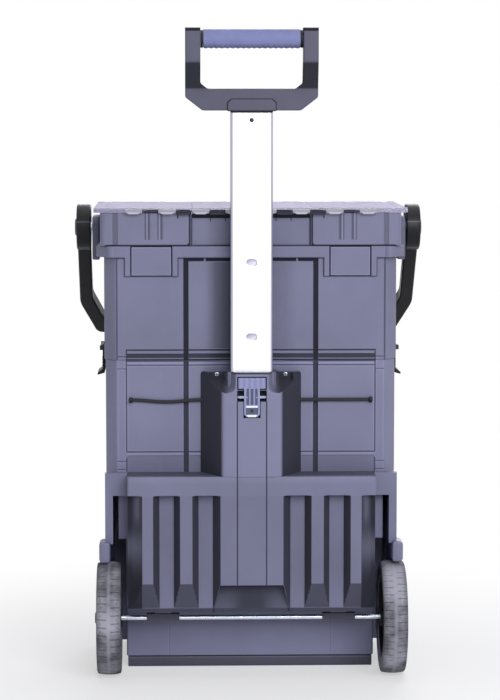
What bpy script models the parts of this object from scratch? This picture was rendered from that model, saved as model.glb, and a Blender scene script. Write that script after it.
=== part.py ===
"""Rolling toolbox on two wheels: a deep lower bin, an upper box with organisers under a clear
cover, a swinging carry bail and a telescopic pull handle with a rocker lock.

Metres, +Z up. The back of the toolbox, where the pull handle stands, faces -Y. The origin is on the
floor, under the middle of the bounding box. Left and right are as seen from the back, left at -X.
"""

import math

import bmesh
import bpy
from mathutils import Matrix, Vector

# Clearances
GAP = 0.0003  # between pieces that touch
PLAY = 0.0010  # around a piece that slides or turns
OVERRUN = 0.006  # how far a cutter runs past what it cuts

# Wheels and axle
WHEEL_RADIUS = 0.089
WHEEL_WIDTH = 0.038
AXLE_Y = -0.118
AXLE_RADIUS = 0.0038
LIP_PLAY = 0.0025
LIP_HEIGHT = 0.0330

# Heights of the stacked pieces, from the floor up
SKID_HEIGHT = 0.018
LEDGE_TOP_Z = 0.3206
BIN_TOP_Z = 0.497
BOX_HEIGHT = 0.179
RIM_HEIGHT = 0.018
ORGANISER_HEIGHT = 0.052
COVER_HEIGHT = 0.007
RIM_TOP_Z = BIN_TOP_Z + BOX_HEIGHT
RIM_BOTTOM_Z = RIM_TOP_Z - RIM_HEIGHT
ORGANISER_TOP_Z = RIM_TOP_Z + ORGANISER_HEIGHT
COVER_TOP_Z = ORGANISER_TOP_Z + COVER_HEIGHT

# Depths, along Y
BOX_REAR_Y = -0.114
BOX_FRONT_Y = 0.174
RIM_OVERHANG = 0.005
TROLLEY_DEPTH = 0.063
TROLLEY_REAR_Y = BOX_REAR_Y - TROLLEY_DEPTH

# Half widths along X, from the base between the wheels outwards, and the steps between them
BASE_HALF_WIDTH = 0.197
TROLLEY_INSET = 0.004
WHEEL_CLEARANCE = 0.0073
WELL_STEP = 0.012
ARCH_CLEARANCE = 0.008
ARCH_THICKNESS = 0.0122
ARCH_PROUD = 0.0012
BOX_STEP = 0.002
RIM_SIDE_OVERHANG = 0.0112
TROLLEY_HALF_WIDTH = BASE_HALF_WIDTH - TROLLEY_INSET
WHEEL_INNER_X = BASE_HALF_WIDTH + WHEEL_CLEARANCE
WELL_HALF_WIDTH = BASE_HALF_WIDTH + WELL_STEP
ARCH_SKIRT_INNER_X = WELL_HALF_WIDTH + ARCH_CLEARANCE
ARCH_SKIRT_OUTER_X = ARCH_SKIRT_INNER_X + ARCH_THICKNESS
BIN_HALF_WIDTH = ARCH_SKIRT_OUTER_X - ARCH_PROUD
BOX_HALF_WIDTH = BIN_HALF_WIDTH + BOX_STEP
RIM_HALF_WIDTH = BOX_HALF_WIDTH + RIM_SIDE_OVERHANG

# Walls of the mouldings
BOX_WALL = 0.0045
BIN_WALL = 0.0040
ORGANISER_WALL = 0.0025
CORNER_BEVEL_X = 0.017
CORNER_BEVEL_Y = 0.025

# Telescopic handle
TUBE_HALF_WIDTH = 0.0329
TUBE_DEPTH = 0.022
TUBE_WALL = 0.0018
TUBE_CORNER = 0.004
TUBE_INSET = 0.018
SLOT_PITCH = 0.1154
SLOT_LENGTH = 0.0164
SLOT_HEIGHT = 0.0106
SLOT_CORNER = 0.0042
HEAD_TOP_Z = 1.0135
HEAD_HEIGHT = 0.1265
HEAD_SEAT = 0.0035
HEAD_HALF_WIDTH = 0.1023
GRIP_RADIUS = 0.0147
HEAD_BOTTOM_Z = HEAD_TOP_Z - HEAD_HEIGHT
TUBE_TOP_Z = HEAD_BOTTOM_Z - HEAD_SEAT
TUBE_REAR_Y = TROLLEY_REAR_Y + TUBE_INSET
TUBE_MIDDLE_Y = TUBE_REAR_Y + TUBE_DEPTH / 2
TUBE_FRONT_Y = TUBE_REAR_Y + TUBE_DEPTH

# Upper handle housing and its lock
HOUSING_DROP = 0.014
LOCK_DROP = 0.0615
SPLIT_DROP = 0.0016
HOUSING_TOP_Z = BIN_TOP_Z - HOUSING_DROP
LOCK_Z = HOUSING_TOP_Z - LOCK_DROP
HOUSING_SPLIT_Z = LEDGE_TOP_Z - SPLIT_DROP

# Carry bail
BAIL_AXIS_Y = 0.031
BAIL_AXIS_RISE = 0.023
BAIL_HUB_RADIUS = 0.037
BAIL_THICKNESS = 0.024
BAIL_STAND_OFF = 0.00748
BAIL_REST_DEG = 46.0
BAIL_AXIS_Z = RIM_TOP_Z + BAIL_AXIS_RISE
BAIL_BAR_Y = BOX_FRONT_Y + BAIL_STAND_OFF + BAIL_THICKNESS / 2
BAIL_REACH = (BAIL_BAR_Y - BAIL_AXIS_Y) / math.cos(math.radians(BAIL_REST_DEG))

SIDES = (("left", -1), ("right", 1))

ARC_STEPS = 3
ROUND_SIDES = 16
WHEEL_SIDES = 36


def clear_scene():
    for old in list(bpy.data.objects):
        bpy.data.objects.remove(old)


def collection(name, hidden=False):
    made = bpy.data.collections.new(name)
    bpy.context.scene.collection.children.link(made)
    made.hide_render = hidden
    return made


clear_scene()
TOOLBOX = collection("rolling_toolbox")
CUTTERS = collection("cutters", hidden=True)


def material(name, colour, roughness, metallic=0.0, alpha=1.0):
    made = bpy.data.materials.new(name)
    made.use_nodes = True
    shader = made.node_tree.nodes["Principled BSDF"]
    shader.inputs["Base Color"].default_value = (*colour, 1.0)
    shader.inputs["Roughness"].default_value = roughness
    shader.inputs["Metallic"].default_value = metallic
    shader.inputs["Alpha"].default_value = alpha
    made.diffuse_color = (*colour, alpha)
    return made


GREY = material("grey_moulding", (0.16, 0.16, 0.21), 0.55)
DARK = material("dark_moulding", (0.06, 0.06, 0.08), 0.55)
BLACK = material("black_moulding", (0.02, 0.02, 0.024), 0.45)
GRIP_SOFT = material("grip_soft", (0.24, 0.26, 0.40), 0.7)
ALUMINIUM = material("aluminium", (0.85, 0.85, 0.87), 0.3, metallic=1.0)
STEEL = material("steel", (0.62, 0.62, 0.66), 0.3, metallic=1.0)
RUBBER = material("tyre_tread", (0.19, 0.18, 0.19), 0.85)
CLEAR = material("clear_cover", (0.86, 0.86, 0.93), 0.15, alpha=0.35)
CORD = material("elastic", (0.05, 0.05, 0.06), 0.9)


def add_object(name, mesh, finish=None):
    """Puts the mesh in the toolbox or, without a finish, among the cutters."""
    made = bpy.data.objects.new(name, mesh)
    if finish is None:
        CUTTERS.objects.link(made)
        made.hide_render = True
        made.display_type = "WIRE"
    else:
        TOOLBOX.objects.link(made)
        made.data.materials.append(finish)
    return made


def mesh_of(build, name):
    made = bmesh.new()
    build(made)
    bmesh.ops.recalc_face_normals(made, faces=made.faces)
    mesh = bpy.data.meshes.new(name)
    made.to_mesh(mesh)
    made.free()
    return mesh


def box(name, low, high, finish=None):
    """A block between two corners."""
    low, high = Vector(low), Vector(high)
    size = high - low
    place = Matrix.Translation((low + high) / 2) @ Matrix.Diagonal((*size, 1))

    def build(made):
        bmesh.ops.create_cube(made, size=1, matrix=place)

    return add_object(name, mesh_of(build, name), finish)


def rod(name, start, end, radius, finish=None, sides=ROUND_SIDES, end_radius=None):
    """A round bar, or a cone where end_radius differs, from one point to another."""
    start, end = Vector(start), Vector(end)
    along = end - start
    turn = along.to_track_quat("Z", "Y").to_matrix().to_4x4()
    place = Matrix.Translation((start + end) / 2) @ turn
    top = radius if end_radius is None else end_radius

    def build(made):
        bmesh.ops.create_cone(
            made, cap_ends=True, segments=sides, radius1=radius, radius2=top,
            depth=along.length, matrix=place,
        )

    made = add_object(name, mesh_of(build, name), finish)
    smooth(made)
    return made


PLANES = {
    "XY": Matrix(((1, 0, 0), (0, 1, 0), (0, 0, 1))),
    "XZ": Matrix(((1, 0, 0), (0, 0, -1), (0, 1, 0))),
    "YZ": Matrix(((0, 0, 1), (1, 0, 0), (0, 1, 0))),
}


def plate(name, outlines, plane, low, high, finish=None):
    """Flat outlines in one plane, filled and extruded from low to high along the third axis."""
    curve = bpy.data.curves.new(name, "CURVE")
    curve.dimensions = "2D"
    curve.fill_mode = "BOTH"
    curve.extrude = (high - low) / 2
    for outline in outlines:
        spline = curve.splines.new("POLY")
        spline.points.add(len(outline) - 1)
        for point, (u, v) in zip(spline.points, outline):
            point.co = (u, v, 0, 1)
        spline.use_cyclic_u = True
    drawn = bpy.data.objects.new(name + "_outline", curve)
    CUTTERS.objects.link(drawn)
    axes = PLANES[plane]
    normal = axes @ Vector((0, 0, 1))
    middle = Vector(abs(part) for part in normal) * ((low + high) / 2)
    drawn.matrix_world = Matrix.Translation(middle) @ axes.to_4x4()
    bpy.context.view_layer.update()
    graph = bpy.context.evaluated_depsgraph_get()
    mesh = bpy.data.meshes.new_from_object(drawn.evaluated_get(graph))
    mesh.transform(drawn.matrix_world)
    bpy.data.objects.remove(drawn)
    welded = bmesh.new()
    welded.from_mesh(mesh)
    bmesh.ops.remove_doubles(welded, verts=welded.verts, dist=1e-6)
    bmesh.ops.dissolve_limit(
        welded, angle_limit=math.radians(0.5), verts=welded.verts, edges=welded.edges
    )
    bmesh.ops.recalc_face_normals(welded, faces=welded.faces)
    welded.to_mesh(mesh)
    welded.free()
    mesh.materials.clear()
    return add_object(name, mesh, finish)


def loft(name, rings, finish=None):
    """A solid through rings that have equally many corners, closed by a face at each end."""

    def build(made):
        loops = [[made.verts.new(point) for point in ring] for ring in rings]
        for lower, upper in zip(loops, loops[1:]):
            for i, corner in enumerate(lower):
                j = (i + 1) % len(lower)
                made.faces.new((corner, lower[j], upper[j], upper[i]))
        made.faces.new(loops[0])
        made.faces.new(loops[-1])

    return add_object(name, mesh_of(build, name), finish)


def turned(name, profile, centre, finish=None, sides=WHEEL_SIDES, closed=True):
    """A profile of (radius, height) points turned round the X axis through centre."""
    mesh = bpy.data.meshes.new(name)
    count = len(profile)
    edges = [(i, (i + 1) % count) for i in range(count if closed else count - 1)]
    mesh.from_pydata([(radius, 0, height) for radius, height in profile], edges, [])
    made = add_object(name, mesh, finish)
    made.location = centre
    made.rotation_euler = (0, math.radians(90), 0)
    screw = made.modifiers.new("turn", "SCREW")
    screw.steps = sides
    screw.render_steps = sides
    screw.use_merge_vertices = True
    screw.merge_threshold = 1e-5
    return made


def rounded(points, radius, steps=ARC_STEPS):
    """The same outline with each corner replaced by an arc of this radius."""
    result = []
    for before, corner, after in zip(points[-1:] + points[:-1], points, points[1:] + points[:1]):
        corner = Vector(corner)
        to_before = (Vector(before) - corner).normalized()
        to_after = (Vector(after) - corner).normalized()
        half = to_before.angle(to_after) / 2
        reach = radius / math.tan(half)
        centre = corner + (to_before + to_after).normalized() * (radius / math.sin(half))
        first = corner + to_before * reach - centre
        last = corner + to_after * reach - centre
        turn = first.angle_signed(last)
        for i in range(steps + 1):
            arm = first.copy()
            arm.rotate(Matrix.Rotation(-turn * i / steps, 2))
            result.append(tuple(centre + arm))
    return result


def rectangle(low_u, low_v, high_u, high_v):
    return [(low_u, low_v), (high_u, low_v), (high_u, high_v), (low_u, high_v)]


def plan(half_width, rear, front, bevel_x=CORNER_BEVEL_X, bevel_y=CORNER_BEVEL_Y):
    """The top view of a box with its four upright corners cut off."""
    return [
        (-half_width, rear + bevel_y), (-half_width + bevel_x, rear),
        (half_width - bevel_x, rear), (half_width, rear + bevel_y),
        (half_width, front - bevel_y), (half_width - bevel_x, front),
        (-half_width + bevel_x, front), (-half_width, front - bevel_y),
    ]


def combine(target, other, operation):
    change = target.modifiers.new(operation.lower() + "_" + other.name, "BOOLEAN")
    change.operation = operation
    change.object = other
    change.solver = "EXACT"


def cut(target, *others):
    for other in others:
        combine(target, other, "DIFFERENCE")


def join(target, *others):
    for other in others:
        combine(target, other, "UNION")


def soften(target, width, segments=1, angle=40):
    edge = target.modifiers.new("edges", "BEVEL")
    edge.width = width
    edge.segments = segments
    edge.limit_method = "ANGLE"
    edge.angle_limit = math.radians(angle)


def smooth(target, angle=35):
    target.data.shade_smooth()
    target.data.set_sharp_from_angle(angle=math.radians(angle))


def pivot(name, place):
    made = bpy.data.objects.new(name, None)
    made.empty_display_size = WHEEL_WIDTH
    made.location = place
    TOOLBOX.objects.link(made)
    return made


def carry(empty, *pieces):
    """Parents pieces to the empty on their joint's axis and leaves them where they are."""
    for piece in pieces:
        piece.parent = empty
        piece.matrix_parent_inverse = Matrix.Translation(empty.location).inverted()


# Lower bin: full width in front and above the wheels, narrow between them
REAR_STEP = 0.004
AXLE_ROOM_Y = 0.045
AXLE_ROOM_Z = 0.016
WELL_CLEARANCE = 0.0015
WELL_HEADROOM = 0.035
SHOULDER_DROP = 0.0306
FRONT_STEP = 0.024
FRONT_RISE = 0.010
GROOVE_INNER_X = 0.0977
GROOVE_WIDTH = 0.0074
GROOVE_DEPTH = 0.0026
SEAM_GROOVE_HEIGHT = 0.0080
SEAM_MARGIN = 0.032
BIN_REAR_LOW_Y = BOX_REAR_Y + REAR_STEP
BASE_REAR_Y = AXLE_Y + AXLE_ROOM_Y
BASE_FRONT_Y = BOX_FRONT_Y - FRONT_STEP
WELL_FRONT_Y = AXLE_Y + WHEEL_RADIUS + LIP_PLAY + LIP_HEIGHT + WELL_CLEARANCE
WELL_TOP_Z = 2 * WHEEL_RADIUS + WELL_HEADROOM
WELL_SHOULDER_Z = LEDGE_TOP_Z - SHOULDER_DROP
AXLE_PASSAGE_Z = WHEEL_RADIUS + AXLE_ROOM_Z
BIN_FRONT_BOTTOM_Z = SKID_HEIGHT + FRONT_RISE
GROOVE_OUTER_X = GROOVE_INNER_X + GROOVE_WIDTH
SEAM_HALF_WIDTH = BIN_HALF_WIDTH - SEAM_MARGIN


def make_lower_bin():
    body = plate(
        "lower_bin",
        [[
            (BOX_FRONT_Y, BIN_FRONT_BOTTOM_Z), (BOX_FRONT_Y, BIN_TOP_Z),
            (BOX_REAR_Y, BIN_TOP_Z), (BOX_REAR_Y, WELL_SHOULDER_Z),
            (WELL_FRONT_Y, WELL_SHOULDER_Z), (WELL_FRONT_Y, BIN_FRONT_BOTTOM_Z),
        ]],
        "YZ", -BIN_HALF_WIDTH, BIN_HALF_WIDTH, GREY,
    )
    shape = plate(
        "bin_plan", [plan(BIN_HALF_WIDTH, BOX_REAR_Y, BOX_FRONT_Y)],
        "XY", -OVERRUN, BIN_TOP_Z + OVERRUN,
    )
    combine(body, shape, "INTERSECT")
    shoulder = box(
        "bin_shoulder",
        (-WELL_HALF_WIDTH, BIN_REAR_LOW_Y, WELL_TOP_Z),
        (WELL_HALF_WIDTH, WELL_FRONT_Y + BIN_WALL, WELL_SHOULDER_Z + BIN_WALL),
    )
    middle = plate(
        "bin_middle",
        [[
            (BASE_FRONT_Y, SKID_HEIGHT + GAP), (BASE_FRONT_Y, WELL_TOP_Z + BIN_WALL),
            (BIN_REAR_LOW_Y, WELL_TOP_Z + BIN_WALL), (BIN_REAR_LOW_Y, AXLE_PASSAGE_Z),
            (BASE_REAR_Y, AXLE_PASSAGE_Z), (BASE_REAR_Y, SKID_HEIGHT + GAP),
        ]],
        "YZ", -BASE_HALF_WIDTH, BASE_HALF_WIDTH,
    )
    join(body, shoulder, middle)
    wall = BIN_WALL
    cut(
        body,
        plate(
            "bin_hollow",
            [plan(BIN_HALF_WIDTH - wall, BOX_REAR_Y + wall, BOX_FRONT_Y - wall)],
            "XY", WELL_SHOULDER_Z + 2 * wall, BIN_TOP_Z + OVERRUN,
        ),
        box(
            "bin_hollow_front",
            (-BIN_HALF_WIDTH + wall, WELL_FRONT_Y + wall, BIN_FRONT_BOTTOM_Z + wall),
            (BIN_HALF_WIDTH - wall, BOX_FRONT_Y - CORNER_BEVEL_Y, WELL_SHOULDER_Z + 3 * wall),
        ),
        plate(
            "bin_hollow_middle",
            [[
                (BASE_FRONT_Y - wall, SKID_HEIGHT + wall),
                (BASE_FRONT_Y - wall, WELL_SHOULDER_Z + 3 * wall),
                (BIN_REAR_LOW_Y + wall, WELL_SHOULDER_Z + 3 * wall),
                (BIN_REAR_LOW_Y + wall, AXLE_PASSAGE_Z + wall),
                (BASE_REAR_Y + wall, AXLE_PASSAGE_Z + wall),
                (BASE_REAR_Y + wall, SKID_HEIGHT + wall),
            ]],
            "YZ", -BASE_HALF_WIDTH + wall, BASE_HALF_WIDTH - wall,
        ),
        box(
            "bin_hollow_shoulder",
            (-WELL_HALF_WIDTH + wall, BIN_REAR_LOW_Y + 2 * wall, WELL_TOP_Z + wall),
            (WELL_HALF_WIDTH - wall, WELL_FRONT_Y + 2 * wall, WELL_SHOULDER_Z + 3 * wall),
        ),
    )
    for side, sign in SIDES:
        low, high = sorted((sign * GROOVE_INNER_X, sign * GROOVE_OUTER_X))
        cut(body, box(
            "bin_groove_" + side,
            (low, BOX_REAR_Y - OVERRUN, HOUSING_SPLIT_Z),
            (high, BOX_REAR_Y + GROOVE_DEPTH, BIN_TOP_Z + OVERRUN),
        ))
    cut(body, box(
        "bin_seam",
        (-SEAM_HALF_WIDTH, BOX_REAR_Y - OVERRUN, BIN_TOP_Z - SEAM_GROOVE_HEIGHT),
        (SEAM_HALF_WIDTH, BOX_REAR_Y + GROOVE_DEPTH / 2, BIN_TOP_Z + OVERRUN),
    ))
    for side, sign in SIDES:
        inner = sign * (BIN_HALF_WIDTH - BIN_WALL / 2)
        outer = sign * (BIN_HALF_WIDTH + LATCH_KEEPER_DEPTH)
        join(body, box(
            "latch_keeper_" + side,
            (min(inner, outer), LATCH_REAR_Y + LATCH_LUG_WIDTH, LATCH_KEEPER_Z),
            (max(inner, outer), LATCH_FRONT_Y - LATCH_LUG_WIDTH, LATCH_KEEPER_Z + LATCH_KEEPER_HEIGHT),
        ))
    return body


def make_base_skid():
    """The shoe under the bin, which the toolbox stands on together with its wheels."""
    lip = 0.002
    edge = 0.004
    skid = plate(
        "base_skid",
        [rounded(rectangle(BASE_REAR_Y + lip, 0, BASE_FRONT_Y - lip, SKID_HEIGHT), edge, 2)],
        "YZ", -BASE_HALF_WIDTH + lip, BASE_HALF_WIDTH - lip, DARK,
    )
    return skid


# Side latches
LATCH_REAR_Y = -0.042
LATCH_FRONT_Y = 0.040
LATCH_LUG_WIDTH = 0.008
LATCH_PIN_RISE = 0.013
LATCH_PIN_RADIUS = 0.0015
LATCH_BARREL_RADIUS = 0.0036
LATCH_OUTSET = 0.0050
LATCH_PLATE = 0.0032
LATCH_DROP = 0.031
LATCH_LIP = 0.0080
KEEPER_DROP = 0.016
LATCH_KEEPER_HEIGHT = 0.0060
LATCH_KEEPER_DEPTH = 0.0022
HOOK_HEIGHT = 0.0050
LATCH_PIN_Z = BIN_TOP_Z + LATCH_PIN_RISE
LATCH_BOTTOM_Z = BIN_TOP_Z - LATCH_DROP
LATCH_KEEPER_Z = BIN_TOP_Z - KEEPER_DROP


def make_side_latch(side, sign):
    """A latch that turns on a pin on the upper box and hooks under a ledge on the bin."""
    pin_x = BOX_HALF_WIDTH + LATCH_OUTSET
    inner_x = BIN_HALF_WIDTH + LATCH_KEEPER_DEPTH + PLAY
    outer_x = inner_x + LATCH_PLATE
    hook_top = LATCH_KEEPER_Z - PLAY / 2
    hook_x = BIN_HALF_WIDTH + PLAY
    outline = [
        (inner_x, LATCH_PIN_Z), (inner_x, hook_top), (hook_x, hook_top),
        (hook_x, hook_top - HOOK_HEIGHT / 2), (inner_x, hook_top - HOOK_HEIGHT),
        (inner_x, LATCH_BOTTOM_Z + LATCH_PLATE), (outer_x + LATCH_LIP, LATCH_BOTTOM_Z),
        (outer_x + LATCH_LIP, LATCH_BOTTOM_Z + LATCH_PLATE),
        (outer_x, LATCH_BOTTOM_Z + 3 * LATCH_PLATE), (outer_x, LATCH_PIN_Z),
    ]
    rear = LATCH_REAR_Y + LATCH_LUG_WIDTH + PLAY
    front = LATCH_FRONT_Y - LATCH_LUG_WIDTH - PLAY
    latch = plate(
        "side_latch_" + side, [[(sign * x, z) for x, z in outline]], "XZ", rear, front, BLACK
    )
    place = (sign * pin_x, 0, LATCH_PIN_Z)
    barrel = rod(
        "latch_barrel_" + side, (place[0], rear, place[2]), (place[0], front, place[2]),
        LATCH_BARREL_RADIUS,
    )
    join(latch, barrel)
    cut(latch, rod(
        "latch_bore_" + side,
        (place[0], rear - OVERRUN, place[2]), (place[0], front + OVERRUN, place[2]),
        LATCH_PIN_RADIUS + GAP,
    ))
    pin = rod(
        "latch_pin_" + side,
        (place[0], LATCH_REAR_Y + PLAY, place[2]), (place[0], LATCH_FRONT_Y - PLAY, place[2]),
        LATCH_PIN_RADIUS, STEEL, sides=10,
    )
    carry(pivot("side_latch_axis_" + side, place), latch)
    return latch, pin


# Upper box
EAR_ROOT = 0.0017
EAR_THICKNESS = 0.0110
EAR_HALF_LENGTH = 0.047
EAR_RISE = 0.019
EAR_DROP = 0.051
BLOCK_INNER_X = 0.1245
BLOCK_WIDTH = 0.0621
BLOCK_DROP = 0.0459
BLOCK_MARGIN = 0.0100
BLOCK_PROUD = 0.0052
EAR_INNER_X = RIM_HALF_WIDTH - EAR_ROOT
EAR_OUTER_X = EAR_INNER_X + EAR_THICKNESS
EAR_TOP_Z = BAIL_AXIS_Z + EAR_RISE
EAR_BOTTOM_Z = BAIL_AXIS_Z - EAR_DROP
BLOCK_OUTER_X = BLOCK_INNER_X + BLOCK_WIDTH
BLOCK_BOTTOM_Z = RIM_TOP_Z - BLOCK_DROP


def make_upper_box():
    body = plate(
        "upper_box", [plan(BOX_HALF_WIDTH, BOX_REAR_Y, BOX_FRONT_Y)],
        "XY", BIN_TOP_Z + GAP, RIM_TOP_Z - RIM_HEIGHT / 2, GREY,
    )
    rim = plate(
        "box_rim",
        [plan(RIM_HALF_WIDTH, BOX_REAR_Y - RIM_OVERHANG, BOX_FRONT_Y)],
        "XY", RIM_BOTTOM_Z, RIM_TOP_Z,
    )
    join(body, rim)
    for side, sign in SIDES:
        low, high = sorted((sign * EAR_INNER_X, sign * EAR_OUTER_X))
        ear = plate(
            "ear_" + side,
            [rounded(rectangle(
                BAIL_AXIS_Y - EAR_HALF_LENGTH, EAR_BOTTOM_Z, BAIL_AXIS_Y + EAR_HALF_LENGTH,
                EAR_TOP_Z,
            ), RIM_HEIGHT, 3)],
            "YZ", low, high,
        )
        join(body, ear)
    wall = BOX_WALL
    cut(body, plate(
        "box_hollow", [plan(BOX_HALF_WIDTH - wall, BOX_REAR_Y + wall, BOX_FRONT_Y - wall)],
        "XY", BIN_TOP_Z + GAP + wall, RIM_TOP_Z + OVERRUN,
    ))
    for side, sign in SIDES:
        low, high = sorted((sign * GROOVE_INNER_X, sign * GROOVE_OUTER_X))
        cut(body, box(
            "box_groove_" + side,
            (low, BOX_REAR_Y - OVERRUN, BIN_TOP_Z - OVERRUN),
            (high, BOX_REAR_Y + GROOVE_DEPTH, RIM_BOTTOM_Z - GROOVE_DEPTH),
        ))
        low, high = sorted((sign * (BLOCK_INNER_X - BLOCK_MARGIN), sign * (BLOCK_OUTER_X + BLOCK_MARGIN)))
        cut(body, box(
            "block_recess_" + side,
            (low, BOX_REAR_Y - RIM_OVERHANG - OVERRUN, BLOCK_BOTTOM_Z - GAP),
            (high, BOX_REAR_Y + GROOVE_DEPTH / 2, RIM_TOP_Z + OVERRUN),
        ))
    cut(
        body,
        box(
            "box_seam",
            (-SEAM_HALF_WIDTH, BOX_REAR_Y - OVERRUN, BIN_TOP_Z - OVERRUN),
            (SEAM_HALF_WIDTH, BOX_REAR_Y + GROOVE_DEPTH / 2, BIN_TOP_Z + SEAM_GROOVE_HEIGHT),
        ),
        box(
            "centre_groove",
            (-GROOVE_OUTER_X + GROOVE_DEPTH, BOX_REAR_Y - OVERRUN, RIM_BOTTOM_Z - 2 * GROOVE_DEPTH),
            (GROOVE_OUTER_X - GROOVE_DEPTH, BOX_REAR_Y + GROOVE_DEPTH, RIM_BOTTOM_Z - GROOVE_DEPTH / 4),
        ),
    )
    for side, sign in SIDES:
        for end, rear, front in (
            ("rear", LATCH_REAR_Y, LATCH_REAR_Y + LATCH_LUG_WIDTH),
            ("front", LATCH_FRONT_Y - LATCH_LUG_WIDTH, LATCH_FRONT_Y),
        ):
            inner = sign * (BOX_HALF_WIDTH - BOX_WALL / 2)
            outer = sign * (BOX_HALF_WIDTH + LATCH_OUTSET + LATCH_BARREL_RADIUS)
            low, high = sorted((inner, outer))
            lug = box(
                "latch_lug_" + side + "_" + end,
                (low, rear, LATCH_PIN_Z - LATCH_BARREL_RADIUS),
                (high, front, LATCH_PIN_Z + LATCH_BARREL_RADIUS),
            )
            join(body, lug)
        x = sign * (BOX_HALF_WIDTH + LATCH_OUTSET)
        cut(body, rod(
            "latch_lug_bore_" + side,
            (x, LATCH_REAR_Y - OVERRUN, LATCH_PIN_Z), (x, LATCH_FRONT_Y + OVERRUN, LATCH_PIN_Z),
            LATCH_PIN_RADIUS + GAP,
        ))
        cut(body, rod(
            "ear_bore_" + side,
            (sign * (EAR_INNER_X - OVERRUN), BAIL_AXIS_Y, BAIL_AXIS_Z),
            (sign * (EAR_OUTER_X + OVERRUN), BAIL_AXIS_Y, BAIL_AXIS_Z),
            BAIL_PIN_RADIUS + GAP,
        ))
    return body


def make_hinge_block(side, sign):
    """The block that keeps the organisers on the back of the upper box."""
    low, high = sorted((sign * BLOCK_INNER_X, sign * BLOCK_OUTER_X))
    block = box(
        "rear_block_" + side,
        (low, BOX_REAR_Y - BLOCK_PROUD, BLOCK_BOTTOM_Z),
        (high, BOX_REAR_Y + GROOVE_DEPTH / 2 - GAP, RIM_TOP_Z - 4 * GAP),
        GREY,
    )
    soften(block, GAP * 3)
    return block


# Organisers
ORGANISER_FRONT_INSET = 0.006
ORGANISER_SIDE_INSET = 0.0056
ORGANISER_GAP = 0.0026
CENTRE_HALF_WIDTH = 0.0932
CENTRE_TOP_DROP = 0.0065
CENTRE_REAR_INSET = 0.0060
ORGANISER_CORNER = 0.010
DIVIDER_THICKNESS = 0.0016
DIVIDER_HEIGHT = 0.038
ORGANISER_REAR_Y = BOX_REAR_Y - RIM_OVERHANG
ORGANISER_FRONT_Y = BOX_FRONT_Y - ORGANISER_FRONT_INSET
SIDE_ORGANISER_INNER_X = CENTRE_HALF_WIDTH + ORGANISER_GAP
SIDE_ORGANISER_OUTER_X = RIM_HALF_WIDTH - ORGANISER_SIDE_INSET


def make_side_organiser(side, sign):
    low, high = sorted((sign * SIDE_ORGANISER_INNER_X, sign * SIDE_ORGANISER_OUTER_X))
    bottom = RIM_TOP_Z + GAP
    wall = ORGANISER_WALL
    body = plate(
        "organiser_" + side,
        [rounded(rectangle(low, ORGANISER_REAR_Y, high, ORGANISER_FRONT_Y), ORGANISER_CORNER)],
        "XY", bottom, ORGANISER_TOP_Z, GREY,
    )
    cut(body, plate(
        "organiser_hollow_" + side,
        [rounded(
            rectangle(low + wall, ORGANISER_REAR_Y + wall, high - wall, ORGANISER_FRONT_Y - wall),
            ORGANISER_CORNER - wall,
        )],
        "XY", bottom + wall, ORGANISER_TOP_Z + OVERRUN,
    ))
    add_hinge_saddle(body, "hinge_saddle_" + side, sign * 2 * KNUCKLE_PITCH, ORGANISER_REAR_Y)
    return body


def make_centre_organiser():
    bottom = RIM_TOP_Z + GAP
    wall = ORGANISER_WALL
    rear = ORGANISER_REAR_Y + CENTRE_REAR_INSET
    half = CENTRE_HALF_WIDTH
    top = ORGANISER_TOP_Z - CENTRE_TOP_DROP
    body = box(
        "organiser_centre", (-half, rear, bottom), (half, ORGANISER_FRONT_Y, top), GREY
    )
    cut(body, box(
        "centre_hollow", (-half + wall, rear + wall, bottom + wall),
        (half - wall, ORGANISER_FRONT_Y - wall, top + OVERRUN),
    ))
    for side, sign in SIDES:
        add_hinge_saddle(body, "centre_saddle_" + side, sign * KNUCKLE_PITCH, rear)
    return body


def make_dividers():
    """Plain cross walls that stand in the organisers."""
    bottom = RIM_TOP_Z + 2 * GAP + ORGANISER_WALL
    slack = ORGANISER_WALL + GAP
    pieces = []
    depth = ORGANISER_FRONT_Y - ORGANISER_REAR_Y
    wells = (
        ("left", -SIDE_ORGANISER_OUTER_X + slack, -SIDE_ORGANISER_INNER_X - slack, 3),
        ("centre", -CENTRE_HALF_WIDTH + slack, CENTRE_HALF_WIDTH - slack, 2),
        ("right", SIDE_ORGANISER_INNER_X + slack, SIDE_ORGANISER_OUTER_X - slack, 3),
    )
    for place, low, high, cells in wells:
        for i in range(1, cells):
            y = ORGANISER_REAR_Y + depth * i / cells
            pieces.append(box(
                "divider_" + place + "_" + str(i),
                (low, y - DIVIDER_THICKNESS / 2, bottom),
                (high, y + DIVIDER_THICKNESS / 2, bottom + DIVIDER_HEIGHT),
                DARK,
            ))
    return pieces


# Clear cover and its hinge
COVER_SIDE_OVERHANG = 0.0045
COVER_OVERHANG = 0.0025
COVER_SHEET = 0.0022
HINGE_OUTSET = 0.003
HINGE_DROP = 0.0045
HINGE_PIN_RADIUS = 0.0012
KNUCKLE_RADIUS = 0.0034
KNUCKLE_PITCH = 0.0523
KNUCKLE_WIDTH = 0.0270
KNUCKLE_COUNT = 8
COVER_HALF_WIDTH = RIM_HALF_WIDTH + COVER_SIDE_OVERHANG
COVER_REAR_Y = ORGANISER_REAR_Y - COVER_OVERHANG
COVER_FRONT_Y = ORGANISER_FRONT_Y + COVER_OVERHANG
HINGE_Y = COVER_REAR_Y - HINGE_OUTSET
HINGE_Z = COVER_TOP_Z - HINGE_DROP


def knuckle_places():
    first = -(KNUCKLE_COUNT - 1) / 2
    return [(first + i) * KNUCKLE_PITCH for i in range(KNUCKLE_COUNT)]


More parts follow.
